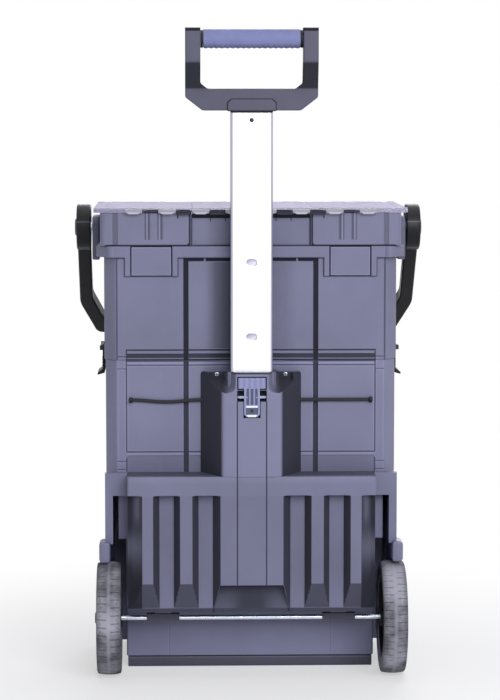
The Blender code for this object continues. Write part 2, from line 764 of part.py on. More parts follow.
def make_clear_cover():
    base = ORGANISER_TOP_Z + GAP
    cover = plate(
        "clear_cover",
        [rounded(
            rectangle(-COVER_HALF_WIDTH, COVER_REAR_Y, COVER_HALF_WIDTH, COVER_FRONT_Y),
            ORGANISER_CORNER,
        )],
        "XY", base, COVER_TOP_Z, CLEAR,
    )
    sheet = COVER_SHEET
    cut(cover, plate(
        "cover_hollow",
        [rounded(
            rectangle(
                -COVER_HALF_WIDTH + sheet, COVER_REAR_Y + sheet,
                COVER_HALF_WIDTH - sheet, COVER_FRONT_Y - sheet,
            ),
            ORGANISER_CORNER - sheet,
        )],
        "XY", base - OVERRUN, COVER_TOP_Z - sheet,
    ))
    places = knuckle_places()
    for i, (before, after) in enumerate(zip(places, places[1:])):
        cut(cover, box(
            "cover_window_" + str(i),
            (before + KNUCKLE_WIDTH / 2 + GAP, COVER_REAR_Y - OVERRUN, base - OVERRUN),
            (after - KNUCKLE_WIDTH / 2 - GAP, COVER_REAR_Y + sheet + GAP, COVER_TOP_Z - sheet - GAP),
        ))
    for i, x in enumerate(places):
        half = KNUCKLE_WIDTH / 2
        join(cover, rod(
            "cover_knuckle_" + str(i), (x - half, HINGE_Y, HINGE_Z), (x + half, HINGE_Y, HINGE_Z),
            KNUCKLE_RADIUS, sides=12,
        ))
    cut(cover, rod(
        "cover_bore",
        (-COVER_HALF_WIDTH - OVERRUN, HINGE_Y, HINGE_Z), (COVER_HALF_WIDTH + OVERRUN, HINGE_Y, HINGE_Z),
        HINGE_PIN_RADIUS + GAP, sides=10,
    ))
    add_cover_lugs(cover)
    pin_half = (KNUCKLE_COUNT - 1) / 2 * KNUCKLE_PITCH + KNUCKLE_WIDTH / 2
    pin = rod(
        "cover_hinge_pin", (-pin_half, HINGE_Y, HINGE_Z), (pin_half, HINGE_Y, HINGE_Z),
        HINGE_PIN_RADIUS, STEEL, sides=10,
    )
    carry(pivot("cover_axis", (0, HINGE_Y, HINGE_Z)), cover)
    return cover, pin


def add_hinge_saddle(organiser, name, x, wall_y):
    """Joins to an organiser's back wall a clip that holds the hinge pin between two knuckles."""
    half = (KNUCKLE_PITCH - KNUCKLE_WIDTH) / 2 - PLAY
    join(organiser, box(
        name,
        (x - half, HINGE_Y - KNUCKLE_RADIUS + PLAY, HINGE_Z - 3 * KNUCKLE_RADIUS),
        (x + half, wall_y + ORGANISER_WALL / 2, COVER_TOP_Z - COVER_SHEET - PLAY / 2),
    ))
    cut(organiser, rod(
        name + "_bore", (x - half - OVERRUN, HINGE_Y, HINGE_Z), (x + half + OVERRUN, HINGE_Y, HINGE_Z),
        HINGE_PIN_RADIUS + GAP, sides=10,
    ))


# Front latches of the cover
COVER_LATCH_X = 0.159
COVER_LATCH_WIDTH = 0.034
COVER_LATCH_DROP = 0.030
COVER_LATCH_PLATE = 0.0025
COVER_LATCH_RADIUS = 0.0026
COVER_LATCH_JOURNAL = 0.0013
COVER_LUG_WIDTH = 0.0040
COVER_LATCH_Y = COVER_FRONT_Y + COVER_LATCH_RADIUS + PLAY
COVER_LATCH_Z = ORGANISER_TOP_Z + COVER_LATCH_RADIUS + GAP


def add_cover_lugs(cover):
    """Joins to the cover's front edge a pair of ears for each latch, bored for its journals."""
    radius = COVER_LATCH_RADIUS
    for side, sign in SIDES:
        x = sign * COVER_LATCH_X
        reach = COVER_LATCH_WIDTH / 2 + GAP + COVER_LUG_WIDTH
        for end in (-1, 1):
            low, high = sorted((x + end * reach, x + end * (reach - COVER_LUG_WIDTH)))
            join(cover, box(
                "cover_lug_" + side + str(end),
                (low, COVER_FRONT_Y - COVER_SHEET / 2, COVER_LATCH_Z - radius),
                (high, COVER_LATCH_Y + radius, COVER_LATCH_Z + radius),
            ))
        cut(cover, rod(
            "cover_lug_bore_" + side, (x - reach - OVERRUN, COVER_LATCH_Y, COVER_LATCH_Z),
            (x + reach + OVERRUN, COVER_LATCH_Y, COVER_LATCH_Z), COVER_LATCH_JOURNAL + GAP, sides=12,
        ))


def make_cover_latch(side, sign):
    """A small latch that turns on the cover's front edge and hangs over the organiser's wall."""
    x = sign * COVER_LATCH_X
    half = COVER_LATCH_WIDTH / 2
    axis_y, axis_z = COVER_LATCH_Y, COVER_LATCH_Z
    latch = rod(
        "cover_latch_" + side, (x - half, axis_y, axis_z), (x + half, axis_y, axis_z),
        COVER_LATCH_RADIUS, BLACK, sides=12,
    )
    tongue = plate(
        "latch_tongue_" + side,
        [[
            (axis_y - COVER_LATCH_PLATE / 2, axis_z),
            (axis_y - COVER_LATCH_PLATE / 2, axis_z - COVER_LATCH_DROP),
            (axis_y + 2 * COVER_LATCH_PLATE, axis_z - COVER_LATCH_DROP - COVER_LATCH_PLATE),
            (axis_y + COVER_LATCH_PLATE / 2, axis_z - COVER_LATCH_DROP + COVER_LATCH_PLATE),
            (axis_y + COVER_LATCH_PLATE / 2, axis_z),
        ]],
        "YZ", x - half, x + half,
    )
    reach = half + COVER_LUG_WIDTH
    journal = rod(
        "latch_journal_" + side, (x - reach, axis_y, axis_z), (x + reach, axis_y, axis_z),
        COVER_LATCH_JOURNAL, sides=12,
    )
    join(latch, tongue, journal)
    carry(pivot("cover_latch_axis_" + side, (x, axis_y, axis_z)), latch)
    return latch


# Trolley panel: the ribbed back of the lower half
BAND_HEIGHT = 0.0300
RECESS_DEPTH = 0.020
PANEL_SHEET = 0.006
PANEL_RISE = 0.022
RIB_RISE = 0.042
RIB_DRAFT = 0.0097
RIB_EDGE_SHARES = ((0.4798, 0.5793), (0.7964, 0.8829))
COLUMN_WALL = 0.0159
COLUMN_FRONT_WALL = 0.0075
COLUMN_DROP = 0.0025
LEDGE_SHEET = 0.0046
OUTER_SLOPE = 0.016
PANEL_BOTTOM_Z = WHEEL_RADIUS + PANEL_RISE
RIB_BOTTOM_Z = PANEL_BOTTOM_Z + RIB_RISE
RIB_EDGES = [[share * TROLLEY_HALF_WIDTH for share in pair] for pair in RIB_EDGE_SHARES]
COLUMN_HALF_WIDTH = TUBE_HALF_WIDTH + COLUMN_WALL
COLUMN_BOTTOM_Z = RIB_BOTTOM_Z - COLUMN_DROP
COLUMN_FRONT_Y = TUBE_FRONT_Y + COLUMN_FRONT_WALL


def slanted_rib(name, low_x, high_x, low_draft, high_draft, bottom_z, sign=1):
    """A rib with sloping sides and a sloping underside, from the back plane to the recess floor."""
    rear, floor = TROLLEY_REAR_Y, TROLLEY_REAR_Y + RECESS_DEPTH + PANEL_SHEET / 2
    top = LEDGE_TOP_Z - LEDGE_SHEET / 2
    outer = [(low_x, bottom_z), (high_x, bottom_z), (high_x, top), (low_x, top)]
    inner = [
        (low_x - low_draft, PANEL_BOTTOM_Z), (high_x + high_draft, PANEL_BOTTOM_Z),
        (high_x + high_draft, top), (low_x - low_draft, top),
    ]
    rings = [[(sign * x, rear, z) for x, z in outer], [(sign * x, floor, z) for x, z in inner]]
    return loft(name, rings)


def make_trolley_panel():
    floor_y = TROLLEY_REAR_Y + RECESS_DEPTH
    body = box(
        "trolley_panel",
        (-TROLLEY_HALF_WIDTH, floor_y, PANEL_BOTTOM_Z - PANEL_SHEET),
        (TROLLEY_HALF_WIDTH, floor_y + PANEL_SHEET, LEDGE_TOP_Z - LEDGE_SHEET / 2),
        GREY,
    )
    band = box(
        "band",
        (-TROLLEY_HALF_WIDTH + GAP, TROLLEY_REAR_Y, LEDGE_TOP_Z - BAND_HEIGHT),
        (TROLLEY_HALF_WIDTH - GAP, floor_y + PANEL_SHEET / 2, LEDGE_TOP_Z - GAP),
    )
    ledge = box(
        "ledge",
        (-TROLLEY_HALF_WIDTH - GAP, TROLLEY_REAR_Y + 3 * GAP, LEDGE_TOP_Z - LEDGE_SHEET),
        (TROLLEY_HALF_WIDTH + GAP, BOX_REAR_Y - GAP, LEDGE_TOP_Z),
    )
    column = box(
        "column",
        (-COLUMN_HALF_WIDTH - RIB_DRAFT / 2, floor_y, PANEL_BOTTOM_Z),
        (COLUMN_HALF_WIDTH + RIB_DRAFT / 2, COLUMN_FRONT_Y, HOUSING_SPLIT_Z - GAP),
    )
    join(body, band, ledge, column)
    join(body, slanted_rib(
        "column_face", -COLUMN_HALF_WIDTH, COLUMN_HALF_WIDTH, RIB_DRAFT, RIB_DRAFT, COLUMN_BOTTOM_Z
    ))
    for side, sign in SIDES:
        inner, outer = RIB_EDGES
        join(
            body,
            slanted_rib("rib_inner_" + side, *inner, RIB_DRAFT, RIB_DRAFT, RIB_BOTTOM_Z, sign),
            slanted_rib("rib_outer_" + side, *outer, RIB_DRAFT, OUTER_SLOPE, RIB_BOTTOM_Z, sign),
        )
        outer = BASE_HALF_WIDTH - PANEL_SHEET
        low, high = sorted((sign * (outer - PANEL_SHEET), sign * outer))
        join(body, box(
            "side_web_" + side, (low, floor_y + PANEL_SHEET / 2, PANEL_BOTTOM_Z + PANEL_SHEET),
            (high, BIN_REAR_LOW_Y - GAP, WELL_SHOULDER_Z - GAP),
        ))
    play = PLAY
    cut(body, box(
        "tube_way",
        (-TUBE_HALF_WIDTH - play, TUBE_REAR_Y - play, PANEL_BOTTOM_Z - OVERRUN - PANEL_SHEET),
        (TUBE_HALF_WIDTH + play, TUBE_FRONT_Y + play, LEDGE_TOP_Z + OVERRUN),
    ))
    for side, sign in SIDES:
        x = sign * CLIP_MIDDLE_X
        join(body, box(
            "clip_post_" + side,
            (x - CLIP_HALF_WIDTH / 2, AXLE_Y - CLIP_POST_HALF, WHEEL_RADIUS + CLIP_HALF_HEIGHT + GAP),
            (x + CLIP_HALF_WIDTH / 2, AXLE_Y + CLIP_POST_HALF, PANEL_BOTTOM_Z + PANEL_SHEET),
        ))
        join(body, box(
            "clip_shelf_" + side,
            (x - CLIP_HALF_WIDTH, floor_y + PANEL_SHEET / 2, PANEL_BOTTOM_Z),
            (x + CLIP_HALF_WIDTH, BIN_REAR_LOW_Y - GAP, PANEL_BOTTOM_Z + PANEL_SHEET),
        ))
    return body


# Axle clips
CLIP_OUTSET = 0.0582
CLIP_HALF_WIDTH = 0.0258
CLIP_HALF_HEIGHT = 0.0068
CLIP_POST_HALF = 0.0050
CLIP_MIDDLE_X = BASE_HALF_WIDTH - CLIP_OUTSET


def make_axle():
    half = WHEEL_INNER_X + WHEEL_WIDTH - 2 * AXLE_RADIUS
    axle = rod(
        "axle", (-half, AXLE_Y, WHEEL_RADIUS), (half, AXLE_Y, WHEEL_RADIUS), AXLE_RADIUS, STEEL
    )
    clips = []
    for side, sign in SIDES:
        x = sign * CLIP_MIDDLE_X
        clip = box(
            "axle_clip_" + side,
            (x - CLIP_HALF_WIDTH, AXLE_Y - CLIP_HALF_HEIGHT, WHEEL_RADIUS - CLIP_HALF_HEIGHT / 2),
            (x + CLIP_HALF_WIDTH, AXLE_Y + CLIP_HALF_HEIGHT, WHEEL_RADIUS + CLIP_HALF_HEIGHT),
            DARK,
        )
        cut(clip, rod(
            "clip_bore_" + side,
            (x - CLIP_HALF_WIDTH - OVERRUN, AXLE_Y, WHEEL_RADIUS),
            (x + CLIP_HALF_WIDTH + OVERRUN, AXLE_Y, WHEEL_RADIUS),
            AXLE_RADIUS + GAP,
        ))
        clips.append(clip)
    return [axle] + clips


# Wheel arches
ARCH_OUTSET = 0.016
LIP_ROOT = 0.0082
LIP_WIDTH = 0.0175
LIP_EDGE = 0.005
ARCH_STEPS = 12
ARCH_REAR_Y = BOX_REAR_Y - ARCH_OUTSET
LIP_REAR_Y = ARCH_REAR_Y - ARCH_OUTSET
LIP_INNER_X = ARCH_SKIRT_OUTER_X - LIP_ROOT
LIP_OUTER_X = LIP_INNER_X + LIP_WIDTH


def make_wheel_arch(side, sign):
    """The skirt beside the bin's wheel well, with a rounded lip that runs over the wheel."""
    inner = WHEEL_RADIUS + LIP_PLAY
    outer = inner + LIP_HEIGHT

    def arc(radius, start, end):
        for i in range(ARCH_STEPS + 1):
            angle = math.radians(start + (end - start) * i / ARCH_STEPS)
            yield (AXLE_Y + radius * math.cos(angle), WHEEL_RADIUS + radius * math.sin(angle))

    lip_outline = [
        (LIP_REAR_Y, WHEEL_RADIUS + outer), *arc(outer, 90, 0), *arc(inner, 0, 90),
        (LIP_REAR_Y, WHEEL_RADIUS + inner),
    ]
    low, high = sorted((sign * LIP_INNER_X, sign * LIP_OUTER_X))
    arch = plate("wheel_arch_" + side, [lip_outline], "YZ", low, high, GREY)
    soften(arch, LIP_EDGE, segments=2)
    front = WELL_FRONT_Y - GAP
    low, high = sorted((sign * ARCH_SKIRT_INNER_X, sign * ARCH_SKIRT_OUTER_X))
    skirt_outline = [
        (ARCH_REAR_Y, WELL_SHOULDER_Z - GAP), (ARCH_REAR_Y, WHEEL_RADIUS + outer - LIP_EDGE),
        *arc(outer - LIP_EDGE, 90, 40), (front, WHEEL_RADIUS + outer / 2), (front, WELL_SHOULDER_Z - GAP),
    ]
    skirt = plate("skirt_" + side, [skirt_outline], "YZ", low, high)
    low, high = sorted((sign * (TROLLEY_HALF_WIDTH + PLAY), sign * ARCH_SKIRT_OUTER_X))
    corner = box(
        "arch_corner_" + side,
        (low, ARCH_REAR_Y + GAP, WELL_SHOULDER_Z - LIP_EDGE),
        (high, BOX_REAR_Y - GAP, LEDGE_TOP_Z),
    )
    join(arch, skirt, corner)
    return arch


# Upper housing of the pull handle
HOUSING_FACE_MARGIN = 0.0123
HOUSING_FLANK = 0.0338
HOUSING_SHOULDER_DROP = 0.031
SLEEVE_WALL = 0.0043
POCKET_WIDTH = 0.0283
POCKET_FLOOR_OUTSET = 0.016
SCREW_OUTSET = 0.0164
SCREW_DROP = 0.0065
ROCKER_HALF_WIDTH = 0.0213
ROCKER_TONGUE_HALF = 0.0122
ROCKER_THICKNESS = 0.0042
ROCKER_AXIS_RISE = 0.0233
ROCKER_AXIS_INSET = 0.006
ROCKER_PAD_RISE = 0.0133
ROCKER_PAD_HEIGHT = 0.0171
ROCKER_TONGUE_DROP = 0.0077
ROCKER_POCKET_DEPTH = 0.0125
ROCKER_PIN_RADIUS = 0.0016
LOCK_PIN_RADIUS = 0.0036
CORD_RISE = 0.0132
CORD_RADIUS = 0.0029
HOUSING_FACE_HALF = TUBE_HALF_WIDTH + HOUSING_FACE_MARGIN
HOUSING_WALL_HALF = HOUSING_FACE_HALF + HOUSING_FLANK
SHOULDER_Z = HOUSING_TOP_Z - HOUSING_SHOULDER_DROP
SLEEVE_HALF_WIDTH = TUBE_HALF_WIDTH + SLEEVE_WALL
POCKET_OUTER_X = SLEEVE_HALF_WIDTH + POCKET_WIDTH
POCKET_FLOOR_Y = BOX_REAR_Y - POCKET_FLOOR_OUTSET
ROCKER_AXIS_Z = LOCK_Z + ROCKER_AXIS_RISE
ROCKER_AXIS_Y = TROLLEY_REAR_Y + ROCKER_AXIS_INSET
ROCKER_PAD_BOTTOM_Z = ROCKER_AXIS_Z + ROCKER_PAD_RISE
ROCKER_PAD_TOP_Z = ROCKER_PAD_BOTTOM_Z + ROCKER_PAD_HEIGHT
ROCKER_BOTTOM_Z = LOCK_Z - ROCKER_TONGUE_DROP
ROCKER_POCKET_Y = TROLLEY_REAR_Y + ROCKER_POCKET_DEPTH
ROCKER_PIN_HALF = ROCKER_HALF_WIDTH + PLAY - GAP
CORD_Z = LOCK_Z + CORD_RISE
CORD_Y = BOX_REAR_Y - CORD_RADIUS - 2 * GAP


def make_handle_housing():
    front = BOX_REAR_Y - GAP
    bottom = LEDGE_TOP_Z + GAP

    def ring(z):
        return [
            (-HOUSING_WALL_HALF, front, z), (-HOUSING_FACE_HALF, TROLLEY_REAR_Y, z),
            (HOUSING_FACE_HALF, TROLLEY_REAR_Y, z), (HOUSING_WALL_HALF, front, z),
        ]

    body = loft("handle_housing", [ring(bottom), ring(HOUSING_TOP_Z)], GREY)
    for side, sign in SIDES:
        low, high = sorted((sign * SLEEVE_HALF_WIDTH, sign * POCKET_OUTER_X))
        pocket = plate(
            "pocket_" + side,
            [[
                (TROLLEY_REAR_Y - OVERRUN, SHOULDER_Z), (POCKET_FLOOR_Y, SHOULDER_Z + OVERRUN),
                (POCKET_FLOOR_Y, HOUSING_TOP_Z + OVERRUN),
                (TROLLEY_REAR_Y - OVERRUN, HOUSING_TOP_Z + OVERRUN),
            ]],
            "YZ", low, high,
        )
        cut(body, pocket)
    cut(body, box(
        "housing_tube_way",
        (-TUBE_HALF_WIDTH - PLAY, TUBE_REAR_Y - PLAY, bottom - OVERRUN),
        (TUBE_HALF_WIDTH + PLAY, TUBE_FRONT_Y + PLAY, HOUSING_TOP_Z + OVERRUN),
    ))
    cut(
        body,
        box(
            "rocker_pocket",
            (-ROCKER_HALF_WIDTH - PLAY, TROLLEY_REAR_Y - OVERRUN, ROCKER_AXIS_Z - 4 * ROCKER_PIN_RADIUS),
            (ROCKER_HALF_WIDTH + PLAY, ROCKER_POCKET_Y, ROCKER_PAD_TOP_Z + PLAY),
        ),
        box(
            "tongue_pocket",
            (-ROCKER_TONGUE_HALF - PLAY, TROLLEY_REAR_Y - OVERRUN, ROCKER_BOTTOM_Z - PLAY),
            (ROCKER_TONGUE_HALF + PLAY, ROCKER_POCKET_Y - GAP, ROCKER_AXIS_Z),
        ),
        rod(
            "lock_pin_way", (0, ROCKER_POCKET_Y - OVERRUN, LOCK_Z), (0, TUBE_REAR_Y, LOCK_Z),
            LOCK_PIN_RADIUS + 2 * PLAY,
        ),
        rod(
            "cord_way",
            (-HOUSING_WALL_HALF - OVERRUN, CORD_Y, CORD_Z), (HOUSING_WALL_HALF + OVERRUN, CORD_Y, CORD_Z),
            CORD_RADIUS + 2 * GAP, sides=12,
        ),
    )
    return body


def make_housing_screws():
    head_radius = 0.0034
    head_height = 0.0020
    x = SLEEVE_HALF_WIDTH + SCREW_OUTSET
    z = HOUSING_TOP_Z - SCREW_DROP
    return [
        rod(
            "housing_screw_" + side,
            (sign * x, POCKET_FLOOR_Y - GAP, z), (sign * x, POCKET_FLOOR_Y - GAP - head_height, z),
            head_radius, STEEL, sides=12, end_radius=head_radius - head_height / 2,
        )
        for side, sign in SIDES
    ]


def make_lock_rocker():
    """A rocker: its pad is pressed in above the pin and its tongue draws the lock out below."""
    face = TROLLEY_REAR_Y + PLAY / 2
    back = face + ROCKER_THICKNESS
    rocker = box(
        "lock_rocker", (-ROCKER_HALF_WIDTH, face, ROCKER_PAD_BOTTOM_Z),
        (ROCKER_HALF_WIDTH, back, ROCKER_PAD_TOP_Z), DARK,
    )
    tongue = box(
        "rocker_tongue", (-ROCKER_TONGUE_HALF, face + GAP, ROCKER_BOTTOM_Z),
        (ROCKER_TONGUE_HALF, back - GAP, ROCKER_PAD_BOTTOM_Z + ROCKER_THICKNESS),
    )
    barrel_radius = ROCKER_PIN_RADIUS + 2 * PLAY
    barrel = rod(
        "rocker_barrel",
        (-ROCKER_TONGUE_HALF + GAP, ROCKER_AXIS_Y, ROCKER_AXIS_Z),
        (ROCKER_TONGUE_HALF - GAP, ROCKER_AXIS_Y, ROCKER_AXIS_Z), barrel_radius, sides=12,
    )
    join(rocker, tongue, barrel)
    cut(rocker, rod(
        "rocker_bore", (-ROCKER_HALF_WIDTH - OVERRUN, ROCKER_AXIS_Y, ROCKER_AXIS_Z),
        (ROCKER_HALF_WIDTH + OVERRUN, ROCKER_AXIS_Y, ROCKER_AXIS_Z),
        ROCKER_PIN_RADIUS + GAP, sides=12,
    ))
    half_gap = SPRING_HALF_WIDTH + GAP
    cut(rocker, box(
        "spring_gap",
        (-half_gap, ROCKER_AXIS_Y - 2 * barrel_radius, ROCKER_AXIS_Z - SPRING_RADIUS - PLAY),
        (half_gap, ROCKER_AXIS_Y + 2 * barrel_radius, ROCKER_AXIS_Z + SPRING_RADIUS + PLAY),
    ))
    pin = rod(
        "lock_pin", (0, back + GAP, LOCK_Z), (0, TUBE_REAR_Y - PLAY / 2, LOCK_Z),
        LOCK_PIN_RADIUS, STEEL, sides=12,
    )
    carry(pivot("rocker_axis", (0, ROCKER_AXIS_Y, ROCKER_AXIS_Z)), rocker, pin)
    hinge_pin = rod(
        "rocker_pin", (-ROCKER_PIN_HALF, ROCKER_AXIS_Y, ROCKER_AXIS_Z),
        (ROCKER_PIN_HALF, ROCKER_AXIS_Y, ROCKER_AXIS_Z), ROCKER_PIN_RADIUS, STEEL, sides=10,
    )
    return rocker, pin, hinge_pin


# Return spring of the rocker, wound round its pin
SPRING_HALF_WIDTH = 0.0060
SPRING_WIRE = 0.0005
SPRING_RADIUS = 0.0030
SPRING_TURNS = 5
SPRING_POINTS = 9


def make_lock_spring():
    curve = bpy.data.curves.new("lock_spring", "CURVE")
    curve.dimensions = "3D"
    curve.bevel_depth = SPRING_WIRE
    curve.bevel_resolution = 0
    curve.use_fill_caps = True
    spline = curve.splines.new("POLY")
    count = SPRING_TURNS * SPRING_POINTS
    spline.points.add(count)
    reach = SPRING_HALF_WIDTH - SPRING_WIRE
    middle = SPRING_RADIUS - SPRING_WIRE
    for i, point in enumerate(spline.points):
        angle = 2 * math.pi * i / SPRING_POINTS
        x = -reach + 2 * reach * i / count
        point.co = (x, middle * math.cos(angle), middle * math.sin(angle), 1)
    spring = bpy.data.objects.new("lock_spring", curve)
    spring.location = (0, ROCKER_AXIS_Y, ROCKER_AXIS_Z)
    curve.materials.append(STEEL)
    TOOLBOX.objects.link(spring)
    return spring


# Telescopic tube, its foot and its screw
TUBE_TAIL = 0.0285
FOOT_HEIGHT = 0.008
SPIGOT_DEPTH = 0.026
TUBE_SCREW_DROP = 0.0111
TUBE_BOTTOM_Z = LOCK_Z - TUBE_TAIL
TUBE_SCREW_Z = TUBE_TOP_Z - TUBE_SCREW_DROP


def tube_outline(inset):
    rear, front = TUBE_REAR_Y + inset, TUBE_FRONT_Y - inset
    half = TUBE_HALF_WIDTH - inset
    return rounded(rectangle(-half, rear, half, front), TUBE_CORNER - inset, 3)


def make_tube():
    tube = plate("pull_tube", [tube_outline(0)], "XY", TUBE_BOTTOM_Z, TUBE_TOP_Z, ALUMINIUM)
    cut(tube, plate(
        "tube_bore", [tube_outline(TUBE_WALL)], "XY", TUBE_BOTTOM_Z - OVERRUN, TUBE_TOP_Z + OVERRUN
    ))
    for i in range(3):
        z = LOCK_Z + i * SLOT_PITCH
        half = SLOT_LENGTH / 2
        high = SLOT_HEIGHT / 2
        cut(tube, plate(
            "slot_" + str(i), [rounded(rectangle(-half, z - high, half, z + high), SLOT_CORNER, 3)],
            "XZ", TUBE_REAR_Y - OVERRUN, TUBE_REAR_Y + 2 * TUBE_WALL,
        ))
    screw_radius = 0.0022
    cut(tube, rod(
        "tube_screw_way", (0, TUBE_REAR_Y - OVERRUN, TUBE_SCREW_Z),
        (0, TUBE_REAR_Y + 2 * TUBE_WALL, TUBE_SCREW_Z), screw_radius + GAP, sides=12,
    ))
    screw = rod(
        "tube_screw", (0, TUBE_REAR_Y + TUBE_WALL - GAP, TUBE_SCREW_Z),
        (0, TUBE_REAR_Y - screw_radius / 2, TUBE_SCREW_Z), screw_radius, STEEL, sides=12,
    )
    foot = plate(
        "tube_foot", [tube_outline(TUBE_WALL + GAP)], "XY",
        TUBE_BOTTOM_Z + GAP, TUBE_BOTTOM_Z + FOOT_HEIGHT, BLACK,
    )
    flange = plate(
        "foot_flange", [tube_outline(GAP - PLAY)], "XY",
        TUBE_BOTTOM_Z - FOOT_HEIGHT, TUBE_BOTTOM_Z - GAP,
    )
    neck = plate(
        "foot_neck", [tube_outline(2 * TUBE_WALL)], "XY",
        TUBE_BOTTOM_Z - FOOT_HEIGHT / 2, TUBE_BOTTOM_Z + FOOT_HEIGHT / 2,
    )
    join(foot, flange, neck)
    return tube, screw, foot


# Head of the pull handle
HEAD_BOTTOM_CHAMFER_X = 0.0245
HEAD_BOTTOM_CHAMFER_Z = 0.0195
HEAD_LEG_WIDTH = 0.0234
HEAD_BASE_HEIGHT = 0.0336
OPENING_CHAMFER_X = 0.0108
OPENING_CHAMFER_Z = 0.0065
HEAD_OUTSET = 0.0045
HEAD_DEPTH = 0.029
HEAD_LEG_OFFSET = 0.014
SLANT_RISE = 0.0360
SLANT_HEIGHT = 0.0367
HEAD_EDGE = 0.0018
BOSS_MARGIN = 0.0045
BOSS_HEIGHT = 0.0174
BOSS_PROUD = 0.0022
COLLAR_LENGTH = 0.0043
GRIP_DROP = 0.0170
GRIP_RIBS = 18
GRIP_RIB_DEPTH = 0.0008
OPENING_HALF_WIDTH = HEAD_HALF_WIDTH - HEAD_LEG_WIDTH
OPENING_BOTTOM_Z = HEAD_BOTTOM_Z + HEAD_BASE_HEIGHT
HEAD_BASE_REAR_Y = TUBE_REAR_Y - HEAD_OUTSET
SLANT_BOTTOM_Z = HEAD_BOTTOM_Z + SLANT_RISE
SLANT_TOP_Z = SLANT_BOTTOM_Z + SLANT_HEIGHT
BOSS_HALF_WIDTH = TUBE_HALF_WIDTH + BOSS_MARGIN
BOSS_TOP_Z = HEAD_BOTTOM_Z + BOSS_HEIGHT
GRIP_Z = HEAD_TOP_Z - GRIP_DROP
GRIP_HALF_LENGTH = OPENING_HALF_WIDTH - COLLAR_LENGTH


def make_head():
    half, inner = HEAD_HALF_WIDTH, OPENING_HALF_WIDTH
    outline = [
        (-half, HEAD_TOP_Z), (-half, HEAD_BOTTOM_Z + HEAD_BOTTOM_CHAMFER_Z),
        (-half + HEAD_BOTTOM_CHAMFER_X, HEAD_BOTTOM_Z), (half - HEAD_BOTTOM_CHAMFER_X, HEAD_BOTTOM_Z),
        (half, HEAD_BOTTOM_Z + HEAD_BOTTOM_CHAMFER_Z), (half, HEAD_TOP_Z),
        (inner, HEAD_TOP_Z), (inner, OPENING_BOTTOM_Z + OPENING_CHAMFER_Z),
        (inner - OPENING_CHAMFER_X, OPENING_BOTTOM_Z), (-inner + OPENING_CHAMFER_X, OPENING_BOTTOM_Z),
        (-inner, OPENING_BOTTOM_Z + OPENING_CHAMFER_Z), (-inner, HEAD_TOP_Z),
    ]
    rear = HEAD_BASE_REAR_Y
    front = rear + HEAD_DEPTH
    leg_rear, leg_front = rear - HEAD_LEG_OFFSET, front - HEAD_LEG_OFFSET
    head = plate("handle_head", [outline], "XZ", leg_rear - OVERRUN, front + OVERRUN, DARK)
    side_view = plate(
        "head_side_view",
        [[
            (rear, HEAD_BOTTOM_Z - OVERRUN), (front, HEAD_BOTTOM_Z - OVERRUN), (front, SLANT_BOTTOM_Z),
            (leg_front, SLANT_TOP_Z), (leg_front, HEAD_TOP_Z + OVERRUN),
            (leg_rear, HEAD_TOP_Z + OVERRUN), (leg_rear, SLANT_TOP_Z), (rear, SLANT_BOTTOM_Z),
        ]],
        "YZ", -half - OVERRUN, half + OVERRUN,
    )
    combine(head, side_view, "INTERSECT")
    soften(head, HEAD_EDGE)
    boss = plate(
        "head_boss",
        [rounded(rectangle(-BOSS_HALF_WIDTH, TUBE_TOP_Z + GAP, BOSS_HALF_WIDTH, BOSS_TOP_Z), BOSS_PROUD, 2)],
        "XZ", rear - BOSS_PROUD, rear + HEAD_DEPTH / 2,
    )
    spigot = plate(
        "head_spigot", [tube_outline(TUBE_WALL + GAP)], "XY",
        TUBE_TOP_Z - SPIGOT_DEPTH, HEAD_BOTTOM_Z + HEAD_DEPTH / 2,
    )
    join(head, boss, spigot)
    grip_y = leg_rear + HEAD_DEPTH / 2
    count = 2 * GRIP_RIBS
    reach = GRIP_HALF_LENGTH
    profile = [(0, reach)]
    for i in range(count + 1):
        depth = GRIP_RIB_DEPTH if i % 2 == 0 else 0
        profile.append((GRIP_RADIUS - depth, reach - 2 * reach * i / count))
    profile.append((0, -reach))
    grip = turned("handle_grip", profile, (0, grip_y, GRIP_Z), GRIP_SOFT, sides=14, closed=False)
    collars = [
        rod(
            "grip_collar_" + side,
            (sign * (GRIP_HALF_LENGTH + GAP), grip_y, GRIP_Z),
            (sign * (OPENING_HALF_WIDTH - GAP), grip_y, GRIP_Z), GRIP_RADIUS - PLAY, BLACK, sides=20,
        )
        for side, sign in SIDES
    ]
    return [head, grip] + collars


# Carry bail
BAIL_CLEARANCE = 0.003
BAIL_ARM_WIDTH = 0.0243
BAIL_ARM_INSET = 0.002
BAIL_CORNER_X = 0.027
BAIL_CORNER_REACH = 0.074
BAIL_EDGE = 0.005
BAIL_PIN_RADIUS = 0.0070
BAIL_CAP_RADIUS = 0.0150
BAIL_CAP_HEIGHT = 0.0030
BAIL_INNER_X = EAR_OUTER_X + BAIL_CLEARANCE
BAIL_HALF_WIDTH = BAIL_INNER_X + BAIL_ARM_WIDTH


